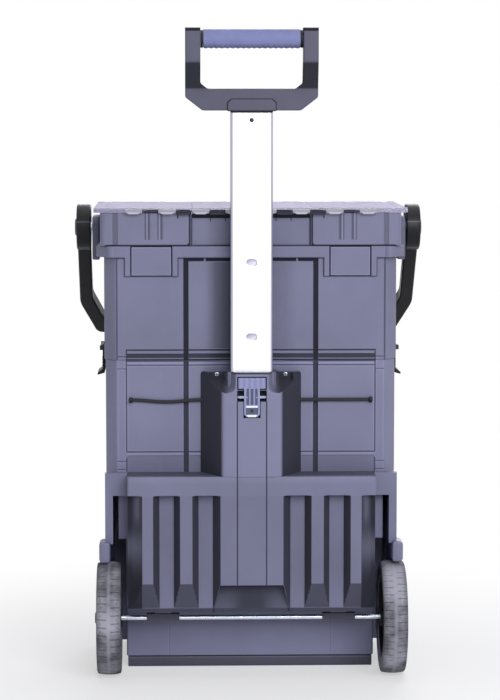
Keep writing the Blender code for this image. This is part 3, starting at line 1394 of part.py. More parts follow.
def make_bail():
    """A U-shaped handle, drawn flat with its arms along the swing and turned to its rest."""
    outer = BAIL_HALF_WIDTH - BAIL_ARM_INSET
    inner = BAIL_INNER_X + BAIL_ARM_INSET / 2
    end = BAIL_REACH + BAIL_THICKNESS / 2
    bar = BAIL_REACH - BAIL_THICKNESS / 2
    inner_corner = outer - inner
    outline = [
        (-outer, 0), (-outer, end - BAIL_CORNER_REACH), (-outer + BAIL_CORNER_X, end),
        (outer - BAIL_CORNER_X, end), (outer, end - BAIL_CORNER_REACH), (outer, 0),
        (inner, 0), (inner, bar - BAIL_CORNER_REACH + BAIL_THICKNESS / 2),
        (inner - inner_corner, bar), (-inner + inner_corner, bar),
        (-inner, bar - BAIL_CORNER_REACH + BAIL_THICKNESS / 2), (-inner, 0),
    ]
    half = BAIL_THICKNESS / 2
    axis = Vector((0, BAIL_AXIS_Y, BAIL_AXIS_Z))
    bail = plate("carry_bail", [outline], "XY", -half, half, BLACK)
    soften(bail, BAIL_EDGE)
    turn = Matrix.Translation(axis) @ Matrix.Rotation(math.radians(-BAIL_REST_DEG), 4, "X")
    bail.data.transform(turn)
    caps = []
    for side, sign in SIDES:
        hub = rod(
            "bail_hub_" + side, (sign * BAIL_INNER_X, axis.y, axis.z),
            (sign * (BAIL_HALF_WIDTH - BAIL_CAP_HEIGHT / 2), axis.y, axis.z), BAIL_HUB_RADIUS, sides=28,
        )
        join(bail, hub)
        cut(bail, rod(
            "bail_bore_" + side, (sign * (BAIL_INNER_X - OVERRUN), axis.y, axis.z),
            (sign * (BAIL_HALF_WIDTH + OVERRUN), axis.y, axis.z), BAIL_PIN_RADIUS + GAP,
        ))
        pin = rod(
            "bail_pin_" + side, (sign * (EAR_INNER_X + GAP), axis.y, axis.z),
            (sign * (BAIL_HALF_WIDTH - 2 * GAP - BAIL_CAP_HEIGHT / 2), axis.y, axis.z),
            BAIL_PIN_RADIUS, STEEL,
        )
        cap = rod(
            "bail_cap_" + side,
            (sign * (BAIL_HALF_WIDTH + GAP - BAIL_CAP_HEIGHT / 2), axis.y, axis.z),
            (sign * (BAIL_HALF_WIDTH + BAIL_CAP_HEIGHT / 2), axis.y, axis.z), BAIL_CAP_RADIUS, DARK,
            sides=20, end_radius=BAIL_CAP_RADIUS - BAIL_CAP_HEIGHT,
        )
        caps += [pin, cap]
        carry(BAIL_PIVOT, cap)
    carry(BAIL_PIVOT, bail)
    return [bail] + caps


BAIL_PIVOT = pivot("bail_axis", (0, BAIL_AXIS_Y, BAIL_AXIS_Z))

# Wheels
TREAD_CROWN = 0.0024
TREAD_SHOULDER = 0.0050
TYRE_THICKNESS = 0.025
HUB_RIM = 0.0055
HUB_WEB = 0.0080
HUB_BOSS_RADIUS = 0.0150
BUSH_WALL = 0.0028
HUB_HOLES = 5
HUB_HOLE_RADIUS = 0.0130
TYRE_INNER_RADIUS = WHEEL_RADIUS - TYRE_THICKNESS
HUB_HOLE_PLACE = (HUB_BOSS_RADIUS + TYRE_INNER_RADIUS - HUB_RIM) / 2


def make_wheel(side, sign):
    middle = sign * (WHEEL_INNER_X + WHEEL_WIDTH / 2)
    centre = (middle, AXLE_Y, WHEEL_RADIUS)
    half = WHEEL_WIDTH / 2
    radius = WHEEL_RADIUS
    crown = radius - TREAD_CROWN / 3
    flank = radius - TREAD_CROWN
    shoulder = flank - TREAD_SHOULDER
    tyre = turned(
        "tyre_" + side,
        [
            (shoulder, half), (flank, half - TREAD_SHOULDER), (crown, half / 3), (radius, 0),
            (crown, -half / 3), (flank, -half + TREAD_SHOULDER), (shoulder, -half),
            (TYRE_INNER_RADIUS, -half + TREAD_SHOULDER / 2), (TYRE_INNER_RADIUS, half - TREAD_SHOULDER / 2),
        ],
        centre, RUBBER,
    )
    rim = TYRE_INNER_RADIUS - GAP
    rim_half = half - TREAD_SHOULDER / 2
    web = HUB_WEB / 2
    bore = AXLE_RADIUS + BUSH_WALL + 2 * GAP
    hub = turned(
        "wheel_hub_" + side,
        [
            (rim, rim_half), (rim, -rim_half), (rim - HUB_RIM, -rim_half), (rim - HUB_RIM, -web),
            (HUB_BOSS_RADIUS, -web), (HUB_BOSS_RADIUS, -half + GAP), (bore, -half + GAP),
            (bore, half - GAP), (HUB_BOSS_RADIUS, half - GAP), (HUB_BOSS_RADIUS, web),
            (rim - HUB_RIM, web), (rim - HUB_RIM, rim_half),
        ],
        centre, BLACK, sides=24,
    )
    for i in range(HUB_HOLES):
        angle = 2 * math.pi * i / HUB_HOLES
        y = AXLE_Y + HUB_HOLE_PLACE * math.cos(angle)
        z = WHEEL_RADIUS + HUB_HOLE_PLACE * math.sin(angle)
        cut(hub, rod(
            "hub_hole_" + side + "_" + str(i), (middle - HUB_WEB, y, z), (middle + HUB_WEB, y, z),
            HUB_HOLE_RADIUS, sides=10,
        ))
    bush = turned(
        "wheel_bush_" + side,
        [
            (bore - GAP, half - 2 * GAP), (bore - GAP, -half + 2 * GAP),
            (AXLE_RADIUS + GAP, -half + 2 * GAP), (AXLE_RADIUS + GAP, half - 2 * GAP),
        ],
        centre, DARK, sides=16,
    )
    outer_x = middle + sign * half
    reach = 2 * AXLE_RADIUS
    cap = rod(
        "axle_cap_" + side, (outer_x + sign * GAP, AXLE_Y, WHEEL_RADIUS),
        (outer_x + sign * reach / 2, AXLE_Y, WHEEL_RADIUS), HUB_BOSS_RADIUS - PLAY, BLACK,
        end_radius=HUB_BOSS_RADIUS - reach,
    )
    carry(pivot("wheel_axis_" + side, centre), cap)
    for piece in (tyre, hub, bush):
        smooth_turned(piece)
    return tyre, hub, bush, cap


def smooth_turned(piece):
    for modifier in piece.modifiers:
        if modifier.type == "SCREW":
            modifier.use_smooth_shade = True


# Elastic cord across the back of the bin
CORD_HALF_LENGTH = 0.1850
CORD_SAG = 0.0030
CORD_POINTS = 13
ANCHOR_RADIUS = 0.0045
ANCHOR_LENGTH = 0.0060


def make_cord():
    """The cord runs from one button to the other and sags a little on the left."""
    curve = bpy.data.curves.new("elastic_cord", "CURVE")
    curve.dimensions = "3D"
    curve.bevel_depth = CORD_RADIUS
    curve.bevel_resolution = 2
    curve.use_fill_caps = True
    spline = curve.splines.new("POLY")
    spline.points.add(CORD_POINTS - 1)
    for i, point in enumerate(spline.points):
        x = -CORD_HALF_LENGTH + 2 * CORD_HALF_LENGTH * i / (CORD_POINTS - 1)
        share = max(0, (-x - HOUSING_WALL_HALF) / (CORD_HALF_LENGTH - HOUSING_WALL_HALF))
        drop = CORD_SAG * math.sin(math.pi * share) ** 2
        point.co = (x, CORD_Y, CORD_Z - drop, 1)
    cord = bpy.data.objects.new("elastic_cord", curve)
    curve.materials.append(CORD)
    TOOLBOX.objects.link(cord)
    anchors = [
        rod(
            "cord_anchor_" + side,
            (sign * (CORD_HALF_LENGTH + GAP), BOX_REAR_Y - ANCHOR_RADIUS - GAP, CORD_Z),
            (sign * (CORD_HALF_LENGTH + ANCHOR_LENGTH), BOX_REAR_Y - ANCHOR_RADIUS - GAP, CORD_Z),
            ANCHOR_RADIUS, BLACK, sides=12,
        )
        for side, sign in SIDES
    ]
    return [cord] + anchors


def make_handle_group():
    """The tube and the head slide together on the lock's axis."""
    slide = pivot("pull_handle_slide", (0, TUBE_MIDDLE_Y, LOCK_Z))
    carry(slide, *make_tube(), *make_head())


make_lower_bin()
make_base_skid()
make_upper_box()
make_centre_organiser()
make_dividers()
make_clear_cover()
make_trolley_panel()
make_axle()
make_handle_housing()
make_housing_screws()
make_lock_rocker()
make_lock_spring()
make_handle_group()
make_bail()
make_cord()
for name_of_side, side_sign in SIDES:
    make_side_latch(name_of_side, side_sign)
    make_hinge_block(name_of_side, side_sign)
    make_side_organiser(name_of_side, side_sign)
    make_cover_latch(name_of_side, side_sign)
    make_wheel_arch(name_of_side, side_sign)
    make_wheel(name_of_side, side_sign)
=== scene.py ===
"""Looks of the rolling toolbox, laid out as an add-on: each operator dresses one group of pieces.

Metres, +Z up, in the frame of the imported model. The back of the toolbox faces -Y. A new piece is made
of skins: rows of points round an outline, along a path or on a grid, worked out as whole arrays.
"""

import math

import bpy
import numpy as np
from bpy.props import FloatProperty, FloatVectorProperty, IntProperty, PointerProperty
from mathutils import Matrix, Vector


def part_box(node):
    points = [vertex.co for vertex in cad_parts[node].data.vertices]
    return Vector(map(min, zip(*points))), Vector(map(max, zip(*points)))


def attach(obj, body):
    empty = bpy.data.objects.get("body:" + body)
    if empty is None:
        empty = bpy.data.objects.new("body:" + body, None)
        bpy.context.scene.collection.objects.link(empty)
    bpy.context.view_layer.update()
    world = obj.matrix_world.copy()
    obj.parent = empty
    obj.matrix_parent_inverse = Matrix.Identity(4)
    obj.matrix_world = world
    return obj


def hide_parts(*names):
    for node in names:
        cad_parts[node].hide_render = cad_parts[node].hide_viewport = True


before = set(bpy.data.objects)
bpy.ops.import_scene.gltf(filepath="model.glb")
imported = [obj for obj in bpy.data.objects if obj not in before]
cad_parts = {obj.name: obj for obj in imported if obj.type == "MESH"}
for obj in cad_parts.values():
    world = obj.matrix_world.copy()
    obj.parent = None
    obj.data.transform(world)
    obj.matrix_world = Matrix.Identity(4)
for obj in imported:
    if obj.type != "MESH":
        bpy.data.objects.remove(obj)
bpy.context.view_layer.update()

bl_info = {
    "name": "Rolling toolbox",
    "version": (1, 0, 0),
    "blender": (4, 5, 0),
    "location": "View3D > Sidebar > Toolbox",
    "description": "Dresses the rolling toolbox: mouldings, pull handle, bail, cover and wheels",
    "category": "Add Mesh",
}

SIDES = (("left", -1), ("right", 1))
GAP = 0.0003
PLAY = 0.0010
BLEND = 0.0012
RIM = 0.0016
SEAM_EDGE = 0.0006
FLAT = 0.999
# Share of a colour left where the painted shade is darkest
DARKEST_SHARE = 0.06
# Smooth change of fine detail, edges of small fittings, and a small step, as a fitting sinks in
FINE = 0.0008
SMALL_EDGE = 0.0008
FINE_EDGE = 0.0003
STEP = 0.002
# Widths of a thin line, of a line in a frame, and from a pale band to the next line
THIN = 0.0012
HAIRLINE = 0.0020
FRAME_WIDTH = 0.0016
BAND_MARGIN = 0.0024
# Coordinates nearer than this count as one
CLOSE = 1e-5
# A line is this share of a groove deep, and walls with fine lines have points this far apart
LINE_SHARE = 2.4
FINE_PITCH = 0.012


def colour_property(name, description, value):
    return FloatVectorProperty(
        name=name, description=description, default=value, subtype="COLOR", size=3, min=0, max=1
    )


def length_property(name, description, value):
    return FloatProperty(
        name=name, description=description, default=value, unit="LENGTH", subtype="DISTANCE", precision=5
    )


class ToolboxColours(bpy.types.PropertyGroup):
    """Base colours of the finishes"""

    moulding: colour_property("Moulding", "Grey of the bin, box and panels", (0.181, 0.184, 0.284))
    dark: colour_property("Dark moulding", "Colour of the shoe and the clips", (0.064, 0.064, 0.098))
    head: colour_property("Head", "Colour of the pull handle's head", (0.083, 0.083, 0.128))
    black: colour_property("Black moulding", "Colour of the bail and latches", (0.012, 0.012, 0.015))
    grip: colour_property("Grip", "Colour of the soft grip", (0.195, 0.215, 0.42))
    rocker: colour_property("Rocker", "Colour of the lock's rocker", (0.27, 0.285, 0.50))
    aluminium: colour_property("Aluminium", "Colour of the pull tube", (0.92, 0.92, 0.95))
    # Painted shade on the tube's rounded edges and in its slots
    tube_shade: colour_property("Tube edges", "Colour of the tube's rounded edges", (0.30, 0.285, 0.42))
    steel: colour_property("Steel", "Colour of the axle, pins and screws", (0.84, 0.90, 1.0))
    rubber: colour_property("Rubber", "Colour of the tyres under their dust", (0.085, 0.082, 0.096))
    dust: colour_property("Dust", "Colour of the dust on the tyres", (0.30, 0.295, 0.35))
    blued: colour_property("Dark steel", "Colour of the hinge pins", (0.055, 0.055, 0.070))
    cover: colour_property("Cover", "Tint of the clear cover", (0.74, 0.72, 0.88))
    haze: colour_property("Haze", "What the cover shows edge-on", (0.50, 0.47, 0.66))
    cord: colour_property("Cord", "Colour of the elastic cord", (0.030, 0.029, 0.036))


class ToolboxSizes(bpy.types.PropertyGroup):
    """Sizes of the surface detail"""

    edge: length_property("Edge radius", "Radius on the edges of the mouldings", 0.0016)
    corner: length_property("Corner radius", "Radius where two walls meet", 0.0050)
    groove: length_property("Groove depth", "Depth of the grooves in the walls", 0.0030)
    tread: length_property("Tread depth", "Depth of the sipes in the tyres", 0.0010)
    grain: length_property("Grain size", "Size of the moulded texture", 0.0011)
    sipes: IntProperty(name="Sipes", description="Cross cuts round each tyre", default=44, min=8, max=90)
    ribs: IntProperty(name="Grip ribs", description="Scallops under the grip", default=18, min=4, max=40)


class ToolboxStage(bpy.types.PropertyGroup):
    """Lamps and floor"""

    lamp: FloatProperty(name="Lamp power", description="Power of the lamp behind the camera", default=138)
    fill: FloatProperty(name="Fill power", description="Power of the lamp before the toolbox", default=115)
    top: FloatProperty(name="Top power", description="Power of the lamp overhead", default=30)
    world: FloatProperty(name="World light", description="Light from all round", default=0.25)
    floor: colour_property("Floor", "Colour of the floor", (0.88, 0.88, 0.89))


def colours():
    return bpy.context.scene.toolbox_colours


def sizes():
    return bpy.context.scene.toolbox_sizes


def node_box(node):
    """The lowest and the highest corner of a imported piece."""
    low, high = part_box(node)
    return np.array(low), np.array(high)


def middle_of(node):
    """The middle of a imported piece's box."""
    low, high = node_box(node)
    return (low + high) / 2


# Outlines and skins


def corner_arc(corner, before, after, along, radius, steps):
    """The arc in a corner between two stretches with these outward normals.

    It starts radius * tan(half the turn) before the corner, and its normals turn evenly.
    """
    turn = math.atan2(before[0] * after[1] - before[1] * after[0], before @ after)
    sign = 1 if turn > 0 else -1
    centre = corner - along * radius * math.tan(abs(turn) / 2) - sign * before * radius
    angles = math.atan2(before[1], before[0]) + turn * np.linspace(0, 1, steps + 1)
    normals = np.stack([np.cos(angles), np.sin(angles)], 1)
    return centre + sign * radius * normals, normals


def ticks_between(start, end, axis, ticks):
    """The points of the straight stretch from start to end at these coordinates of one axis."""
    low, high = sorted((start[axis], end[axis]))
    ticks = np.asarray(ticks)
    inside = ticks[(ticks > low + CLOSE) & (ticks < high - CLOSE)]
    if start[axis] > end[axis]:
        inside = inside[::-1]
    points = np.empty((len(inside), 2))
    points[:, axis] = inside
    points[:, 1 - axis] = start[1 - axis]
    return points


def plan_of(corners, radius, steps=4, ticks_u=(), ticks_v=()):
    """The outline through corners with a rounded arc at each and a point at every tick between them.

    It runs counterclockwise, and is its points and the outward direction at each.
    """
    corners = np.asarray(corners, float)
    following = np.roll(corners, -1, 0)
    if np.sum(corners[:, 0] * following[:, 1] - corners[:, 1] * following[:, 0]) < 0:
        corners = corners[::-1]
    along = np.roll(corners, -1, 0) - corners
    along /= np.linalg.norm(along, axis=1)[:, None]
    outward = np.stack([along[:, 1], -along[:, 0]], 1)
    radii = np.broadcast_to(radius, len(corners))
    arcs = [
        corner_arc(corners[i], outward[i - 1], outward[i], along[i - 1], radii[i], steps)
        for i in range(len(corners))
    ]
    points, normals = [], []
    for (arc, arc_normals), (next_arc, _) in zip(arcs, arcs[1:] + arcs[:1]):
        points.append(arc)
        normals.append(arc_normals)
        for axis, ticks in ((0, ticks_u), (1, ticks_v)):
            if len(ticks) and abs(arc[-1][1 - axis] - next_arc[0][1 - axis]) < 1e-7:
                extra = ticks_between(arc[-1], next_arc[0], axis, ticks)
                points.append(extra)
                normals.append(np.tile(arc_normals[-1], (len(extra), 1)))
    return np.concatenate(points), np.concatenate(normals)


def rectangle(low_u, low_v, high_u, high_v):
    return [(low_u, low_v), (high_u, low_v), (high_u, high_v), (low_u, high_v)]


CORNER_CUT = (0.017, 0.025)


def box_corners(half, rear, front):
    """The top view of a box whose upright corners are cut off."""
    cut_x, cut_y = CORNER_CUT
    return [
        (-half, rear + cut_y), (-half + cut_x, rear), (half - cut_x, rear), (half, rear + cut_y),
        (half, front - cut_y), (half - cut_x, front), (-half + cut_x, front), (-half, front - cut_y),
    ]


def cut_corners(half, low, high, cut_u, cut_v):
    """The outline of a plate, mirrored about zero, whose two upper corners are cut off."""
    return [
        (-half, low), (half, low), (half, high - cut_v), (half - cut_u, high), (-half + cut_u, high),
        (-half, high - cut_v),
    ]


class Skin:
    """Points, four-cornered faces, other faces, and each point's painted shade.

    It runs from 1, dark painted shade, through 0 to -1, pale: mostly a painted highlight, on the tyres a
    paler line round the crown.
    """

    def __init__(self, points, quads, others=(), grime=None):
        self.points = points
        self.quads = quads
        self.others = list(others)
        self.grime = np.zeros(len(points)) if grime is None else grime

    def moved_to(self, points):
        return Skin(points, self.quads, self.others, self.grime)

    # Adds painted shade; an amount below zero paints the skin paler, as painted light.
    def add_shade(self, grime):
        return Skin(self.points, self.quads, self.others, self.grime + grime)

    def flipped(self):
        return Skin(self.points, self.quads[:, ::-1], [face[::-1] for face in self.others], self.grime)

    def mirrored(self):
        return self.moved_to(self.points * (-1, 1, 1)).flipped()


def both_sides(parts):
    """These skins and their mirror images."""
    return list(parts) + [part.mirrored() for part in parts]


def on_side(parts, sign):
    """These skins of the right side, or their mirror images for the left."""
    return list(parts) if sign > 0 else [part.mirrored() for part in parts]


def around(sides):
    """The angles of a ring of points, as one row."""
    return np.linspace(0, 2 * math.pi, sides, endpoint=False)[None]


def skin_of(points, grime=None, ring=True, loop=False, caps=(True, True)):
    """A skin over a grid of points (rows, columns, 3): a ring joins the last column to the first, a
    loop joins the last row to the first, and a cap closes the first or the last row."""
    rows, columns = points.shape[:2]
    index = np.arange(rows * columns).reshape(rows, columns)
    right = np.roll(index, -1, 1) if ring else index[:, 1:]
    left = index if ring else index[:, :-1]
    if loop:
        quads = np.stack([left, right, np.roll(right, -1, 0), np.roll(left, -1, 0)], -1)
    else:
        quads = np.stack([left[:-1], right[:-1], right[1:], left[1:]], -1)
    others = []
    if not loop and caps[0]:
        others.append(index[0][::-1])
    if not loop and caps[1]:
        others.append(index[-1])
    flat = None if grime is None else grime.reshape(-1)
    return Skin(points.reshape(-1, 3), quads.reshape(-1, 4), others, flat)


def end_rows(low, high, radius, steps=3, ticks=()):
    """Rows (inset, height) of a solid from low to high whose two edges are quarter rounds."""
    low_radius, high_radius = np.broadcast_to(radius, 2)
    angle = np.linspace(0, math.pi / 2, steps + 1)
    lower = np.stack([low_radius * (1 - np.sin(angle)), low + low_radius * (1 - np.cos(angle))], 1)
    upper = np.stack([high_radius * (1 - np.cos(angle)), high - high_radius * (1 - np.sin(angle))], 1)
    ticks = np.asarray(ticks, float)
    ticks = ticks[(ticks > low + low_radius + CLOSE) & (ticks < high - high_radius - CLOSE)]
    middle = np.stack([np.zeros(len(ticks)), ticks], 1)
    return np.concatenate([lower, middle, upper])


def cup_rows(outside, high, wall, floor, radius):
    """Adds to the outside's rows those over the lip and down the inside of an open vessel."""
    lip = min(radius, wall / 3)
    inside = np.array([
        (wall - lip, high), (wall - lip / 3, high - lip / 3), (wall, high - lip),
        (wall, floor + radius), (wall + radius / 3, floor + radius / 3), (wall + radius, floor),
    ])
    return np.concatenate([outside, inside])


def shell(plan, rows, axis="Z", relief=None, outer=None, widen=None):
    """A skin whose rows are the outline moved in by each row's inset, at each row's height.

    point = outline - normal * (inset + depth - widen), where relief(u, v, normal, height) gives the
    depth and the painted shade on the rows before outer, and widen(normal, height) what a rim stands out
    by. An outline for axis Z is (x, y), for X (y, z) and for Y (x, z).
    """
    points, normal = plan
    inset = np.repeat(rows[:, :1], len(points), 1)
    height = np.repeat(rows[:, 1:], len(points), 1)
    grime = np.zeros_like(inset)
    u, v = points.T[:, None]
    normal = normal[None]
    outside = np.arange(len(rows))[:, None] < (len(rows) if outer is None else outer)
    if relief is not None:
        depth, dark = relief(u, v, normal, height)
        inset = inset + depth * outside
        grime = dark * outside
    if widen is not None:
        inset = inset - widen(normal, height) * outside
    u, v = u - normal[..., 0] * inset, v - normal[..., 1] * inset
    order = {"Z": (u, v, height), "X": (height, u, v), "Y": (u, height, v)}
    made = skin_of(np.stack(order[axis], -1), grime)
    return made.flipped() if axis == "Y" else made


def vessel(plan, limits, edges, ticks, wall, floor, relief, widen=None):
    """An open vessel between two heights, with an edge radius for its foot and one for its lip.

    The relief is on its outside alone. The inside goes down to the floor at an even wall.
    """
    outside = end_rows(*limits, edges, ticks=ticks)
    rows = cup_rows(outside, limits[1], wall, floor, max(edges))
    return shell(plan, rows, relief=relief, outer=len(outside), widen=widen)


def block(low, high, radius=SMALL_EDGE, axis="Z", corner=None):
    """A solid between two corners with rounded edges."""
    low, high = np.asarray(low, float), np.asarray(high, float)
    u, v, w = {"Z": (0, 1, 2), "X": (1, 2, 0), "Y": (0, 2, 1)}[axis]
    plan = plan_of(rectangle(low[u], low[v], high[u], high[v]), radius if corner is None else corner)
    return shell(plan, end_rows(low[w], high[w], radius), axis)


def pillar(corners, low, high, radius, axis="Z", corner=None, steps=4):
    """A flat outline drawn out from low to high, with rounded edges."""
    plan = plan_of(corners, radius if corner is None else corner, steps)
    return shell(plan, end_rows(low, high, radius), axis)


def turned(profile, centre, sides=48, shape=None, loop=False):
    """A profile of (radius, along) rows turned about the X axis.

    point = centre + (along, radius cos a, radius sin a). shape(radius, along, angle) may change the
    radius and give the painted shade. A loop is a ring, whose last row meets its first.
    """
    profile = np.asarray(profile, float)
    angle = around(sides)
    radius = np.repeat(profile[:, :1], sides, 1)
    along = np.repeat(profile[:, 1:], sides, 1)
    grime = np.zeros_like(radius)
    if shape is not None:
        radius, grime = shape(radius, along, angle)
    points = np.stack([along, radius * np.cos(angle), radius * np.sin(angle)], -1) + np.asarray(centre)
    return skin_of(points, grime, loop=loop)


def rod(low, high, radius, y, z, edge=None, sides=32):
    """A round bar along X with rounded ends."""
    rows = end_rows(low, high, radius / 4 if edge is None else edge)
    return turned(np.stack([radius - rows[:, 0], rows[:, 1]], 1), (0, y, z), sides)


def rod_for(node, edge, sides=32):
    """A round bar along X in the place of a packed one."""
    low, high = node_box(node)
    return rod(low[0], high[0], (high[2] - low[2]) / 2, *middle_of(node)[1:], edge, sides)


def ribbon(outer, inner, low, high, radius, shift=None, steps=3, shade_of=None):
    """A bar with a rounded rectangular section between two edge lines in the XZ plane.

    Each quarter of the section is an arc about a point inside the corner, of one radius or one of
    four. shift(z) moves a point along Y, and stain(z) gives its painted shade.
    """
    outer, inner = np.asarray(outer, float), np.asarray(inner, float)
    width = np.linalg.norm(inner - outer, axis=1)[:, None]
    quarter = np.linspace(0, math.pi / 2, steps + 1)
    radius = np.repeat(np.broadcast_to(radius, 4), steps + 1)
    turn = np.concatenate([quarter + start * math.pi / 2 for start in range(4)])
    far = np.repeat([0, 1, 1, 0], steps + 1)
    deep = np.repeat([0, 0, 1, 1], steps + 1)
    across = np.where(far == 0, radius, -radius) - np.cos(turn) * radius
    y = np.where(deep == 0, low + radius, high - radius) - np.sin(turn) * radius
    share = far[None] + across[None] / width
    flat = outer[:, None] + (inner - outer)[:, None] * share[..., None]
    y = np.broadcast_to(y[None], share.shape)
    if shift is not None:
        y = y + shift(flat[..., 1])
    grime = None if shade_of is None else shade_of(flat[..., 1])
    return skin_of(np.stack([flat[..., 0], y, flat[..., 1]], -1), grime).flipped()


def joined(skins):
    """One skin of several."""
    starts = np.cumsum([0] + [len(skin.points) for skin in skins])
    points = np.concatenate([skin.points for skin in skins])
    quads = np.concatenate([skin.quads + start for skin, start in zip(skins, starts)])
    others = [face + start for skin, start in zip(skins, starts) for face in skin.others]
    return Skin(points, quads, others, np.concatenate([skin.grime for skin in skins]))


def welded(skins):
    """Joins skins without other faces into one, and gives points at the same place one number."""
    whole = joined(skins)
    _, first, index = np.unique(np.round(whole.points, 7), axis=0, return_index=True, return_inverse=True)
    quads = index.reshape(-1)[whole.quads]
    full = np.all(quads != np.roll(quads, -1, 1), axis=1)
    return Skin(whole.points[first], quads[full], [], whole.grime[first])


def slab(us, vs, near, far, axis="Y", warp=None):
    """A closed solid between two height fields over a grid, near(u, v) and far(u, v).

    For axis Y the grid is (x, z) and near faces -Y, for axis Z it is (x, y) and near faces down.
    near also gives the painted shade, and far may be a number. warp(u, v) may move the grid's points in its
    plane.
    """
    u, v = np.meshgrid(us, vs)
    close, dark = near(u, v)
    away = far(u, v) if callable(far) else np.full(u.shape, far)
    away, away_dark = away if isinstance(away, tuple) else (away, np.zeros_like(dark))
    if warp is not None:
        u, v = warp(u, v)
    order = (lambda w: (u, w, v)) if axis == "Y" else (lambda w: (u, v, w))
    face, back = np.stack(order(close), -1), np.stack(order(away), -1)
    sheet = {"ring": False, "caps": (False, False)}
    skins = [skin_of(face, dark, **sheet), skin_of(back, away_dark, **sheet).flipped()]
    rows, columns = u.shape
    edges = [(0, slice(None)), (slice(None), columns - 1), (rows - 1, slice(None, None, -1)),
             (slice(None, None, -1), 0)]
    for place in edges:
        skins.append(skin_of(np.stack([back[place], face[place]]), **sheet))
    made = welded(skins)
    return made if axis == "Y" else made.flipped()


def smooth_step(value):
    """0 below 0, 1 above 1, and 3 t squared less 2 t cubed between."""
    value = np.clip(value, 0, 1)
    return value * value * (3 - 2 * value)


def within(value, low, high, edge=BLEND):
    """1 between low and high, 0 outside, with a smooth change as wide as edge."""
    return smooth_step((value - low) / edge + 0.5) * smooth_step((high - value) / edge + 0.5)


def patch(u, v, left, right, low, high, edge=BLEND):
    """1 inside a rectangle, 0 outside, with a smooth border as wide as edge."""
    return within(u, left, right, edge) * within(v, low, high, edge)


def ticks_of(*groups, digits=5):
    """All these coordinates in order, each once."""
    return np.unique(np.round(np.concatenate(groups), digits))


def ticks_for(limits, low, high, pitch=0.03, both=True, edge=BLEND):
    """Coordinates that catch each limit's smooth change and its rim, and regular ones between them."""
    limits = np.asarray(limits, float)
    if both:
        limits = np.concatenate([limits, -limits])
    rim = RIM / edge
    reach = np.array([-rim - 0.5, -rim + 0.5, -0.5, -0.2, 0.2, 0.5, rim - 0.5, rim + 0.5])
    close = (limits[:, None] + reach * edge).reshape(-1)
    ticks = ticks_of(close, np.linspace(low, high, max(2, int((high - low) / pitch))))
    return ticks[(ticks > low) & (ticks < high)]


# Share of a cut's darkness painted as a highlight on its rim
PALE_RIM = 0.40


def carve(across, height, cuts):
    """Depth and painted shade of cuts (low, high, bottom, top, depth, darkness), mirrored about zero.

    A cut is 1 inside and falls smoothly to 0 outside. The rim round a dark cut is pale, a painted
    highlight, and a cut with a darkness below zero is a pale band of painted highlight.
    """
    across = np.abs(across)
    depth = np.zeros(np.broadcast(across, height).shape)
    dark, pale = np.zeros_like(depth), np.zeros_like(depth)
    for low, high, bottom, top, deep, shade in cuts:
        mask = patch(across, height, low, high, bottom, top)
        rim = patch(across, height, low - RIM, high + RIM, bottom - RIM, top + RIM) - mask
        depth = np.maximum(depth, deep * mask)
        dark = np.maximum(dark, max(shade, 0) * mask)
        pale = np.maximum(pale, rim * max(shade, 0) * PALE_RIM + mask * max(-shade, 0))
    return depth, dark - pale * np.clip(1 - 5 * dark, 0, 1)


def carved_wall(cuts, facing):
    """The relief that puts these cuts in the wall that faces this way along Y."""

    def relief(u, _, normal, height):
        flat = normal[..., 1] * facing > FLAT
        depth, dark = carve(u, height, cuts)
        return depth * flat, dark * flat

    return relief


def limits_of(cuts):
    """The places where the cuts start and end, across and along the height."""
    across = sorted({value for cut in cuts for value in cut[:2] if value > 0})
    heights = sorted({value for cut in cuts for value in cut[2:4]})
    return across, heights


def show(name, data):
    """An object of this data in the scene."""
    made = bpy.data.objects.new(name, data)
    bpy.context.scene.collection.objects.link(made)
    return made


def new_object(name, mesh, body, node):
    made = show(name, mesh)
    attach(made, body)
    if node:
        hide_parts(node)
    return made


def keep_faces_flat(made):
    weigh = made.modifiers.new("flat_faces", "WEIGHTED_NORMAL")
    weigh.keep_sharp = True


def piece(name, skins, node=None, finish="moulding", body="chassis", sharp=38):
    """Makes one object of the skins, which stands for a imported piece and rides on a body."""
    whole = joined(skins)
    faces = whole.quads.tolist() + [face.tolist() for face in whole.others]
    mesh = bpy.data.meshes.new(name)
    mesh.from_pydata(whole.points.tolist(), [], faces)
    # Each point's painted shade and painted highlight go into this attribute
    mesh.attributes.new("grime", "FLOAT", "POINT").data.foreach_set("value", whole.grime.astype(np.float32))
    mesh.shade_smooth()
    mesh.set_sharp_from_angle(angle=math.radians(sharp))
    mesh.validate()
    mesh.materials.append(finish_of(finish))
    made = new_object(name, mesh, body, node)
    keep_faces_flat(made)
    return made


def softened(name, node, finish, body, width):
    """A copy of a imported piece, merged and with its edges rounded, that stands for the piece."""
    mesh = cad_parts[node].data.copy()
    mesh.name = name
    mesh.materials.clear()
    mesh.materials.append(finish_of(finish))
    mesh.shade_smooth()
    made = new_object(name, mesh, body, node)
    weld = made.modifiers.new("merge", "WELD")
    weld.merge_threshold = CLOSE
    plain = made.modifiers.new("plain_faces", "DECIMATE")
    plain.decimate_type = "DISSOLVE"
    plain.angle_limit = math.radians(1)
    edge = made.modifiers.new("edges", "BEVEL")
    edge.width = width
    edge.segments = 3
    edge.limit_method = "ANGLE"
    edge.angle_limit = math.radians(28)
    edge.use_clamp_overlap = True
    keep_faces_flat(made)
    return made


def dress(node, finish):
    """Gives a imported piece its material."""
    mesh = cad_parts[node].data
    mesh.materials.clear()
    mesh.materials.append(finish_of(finish))


# Materials


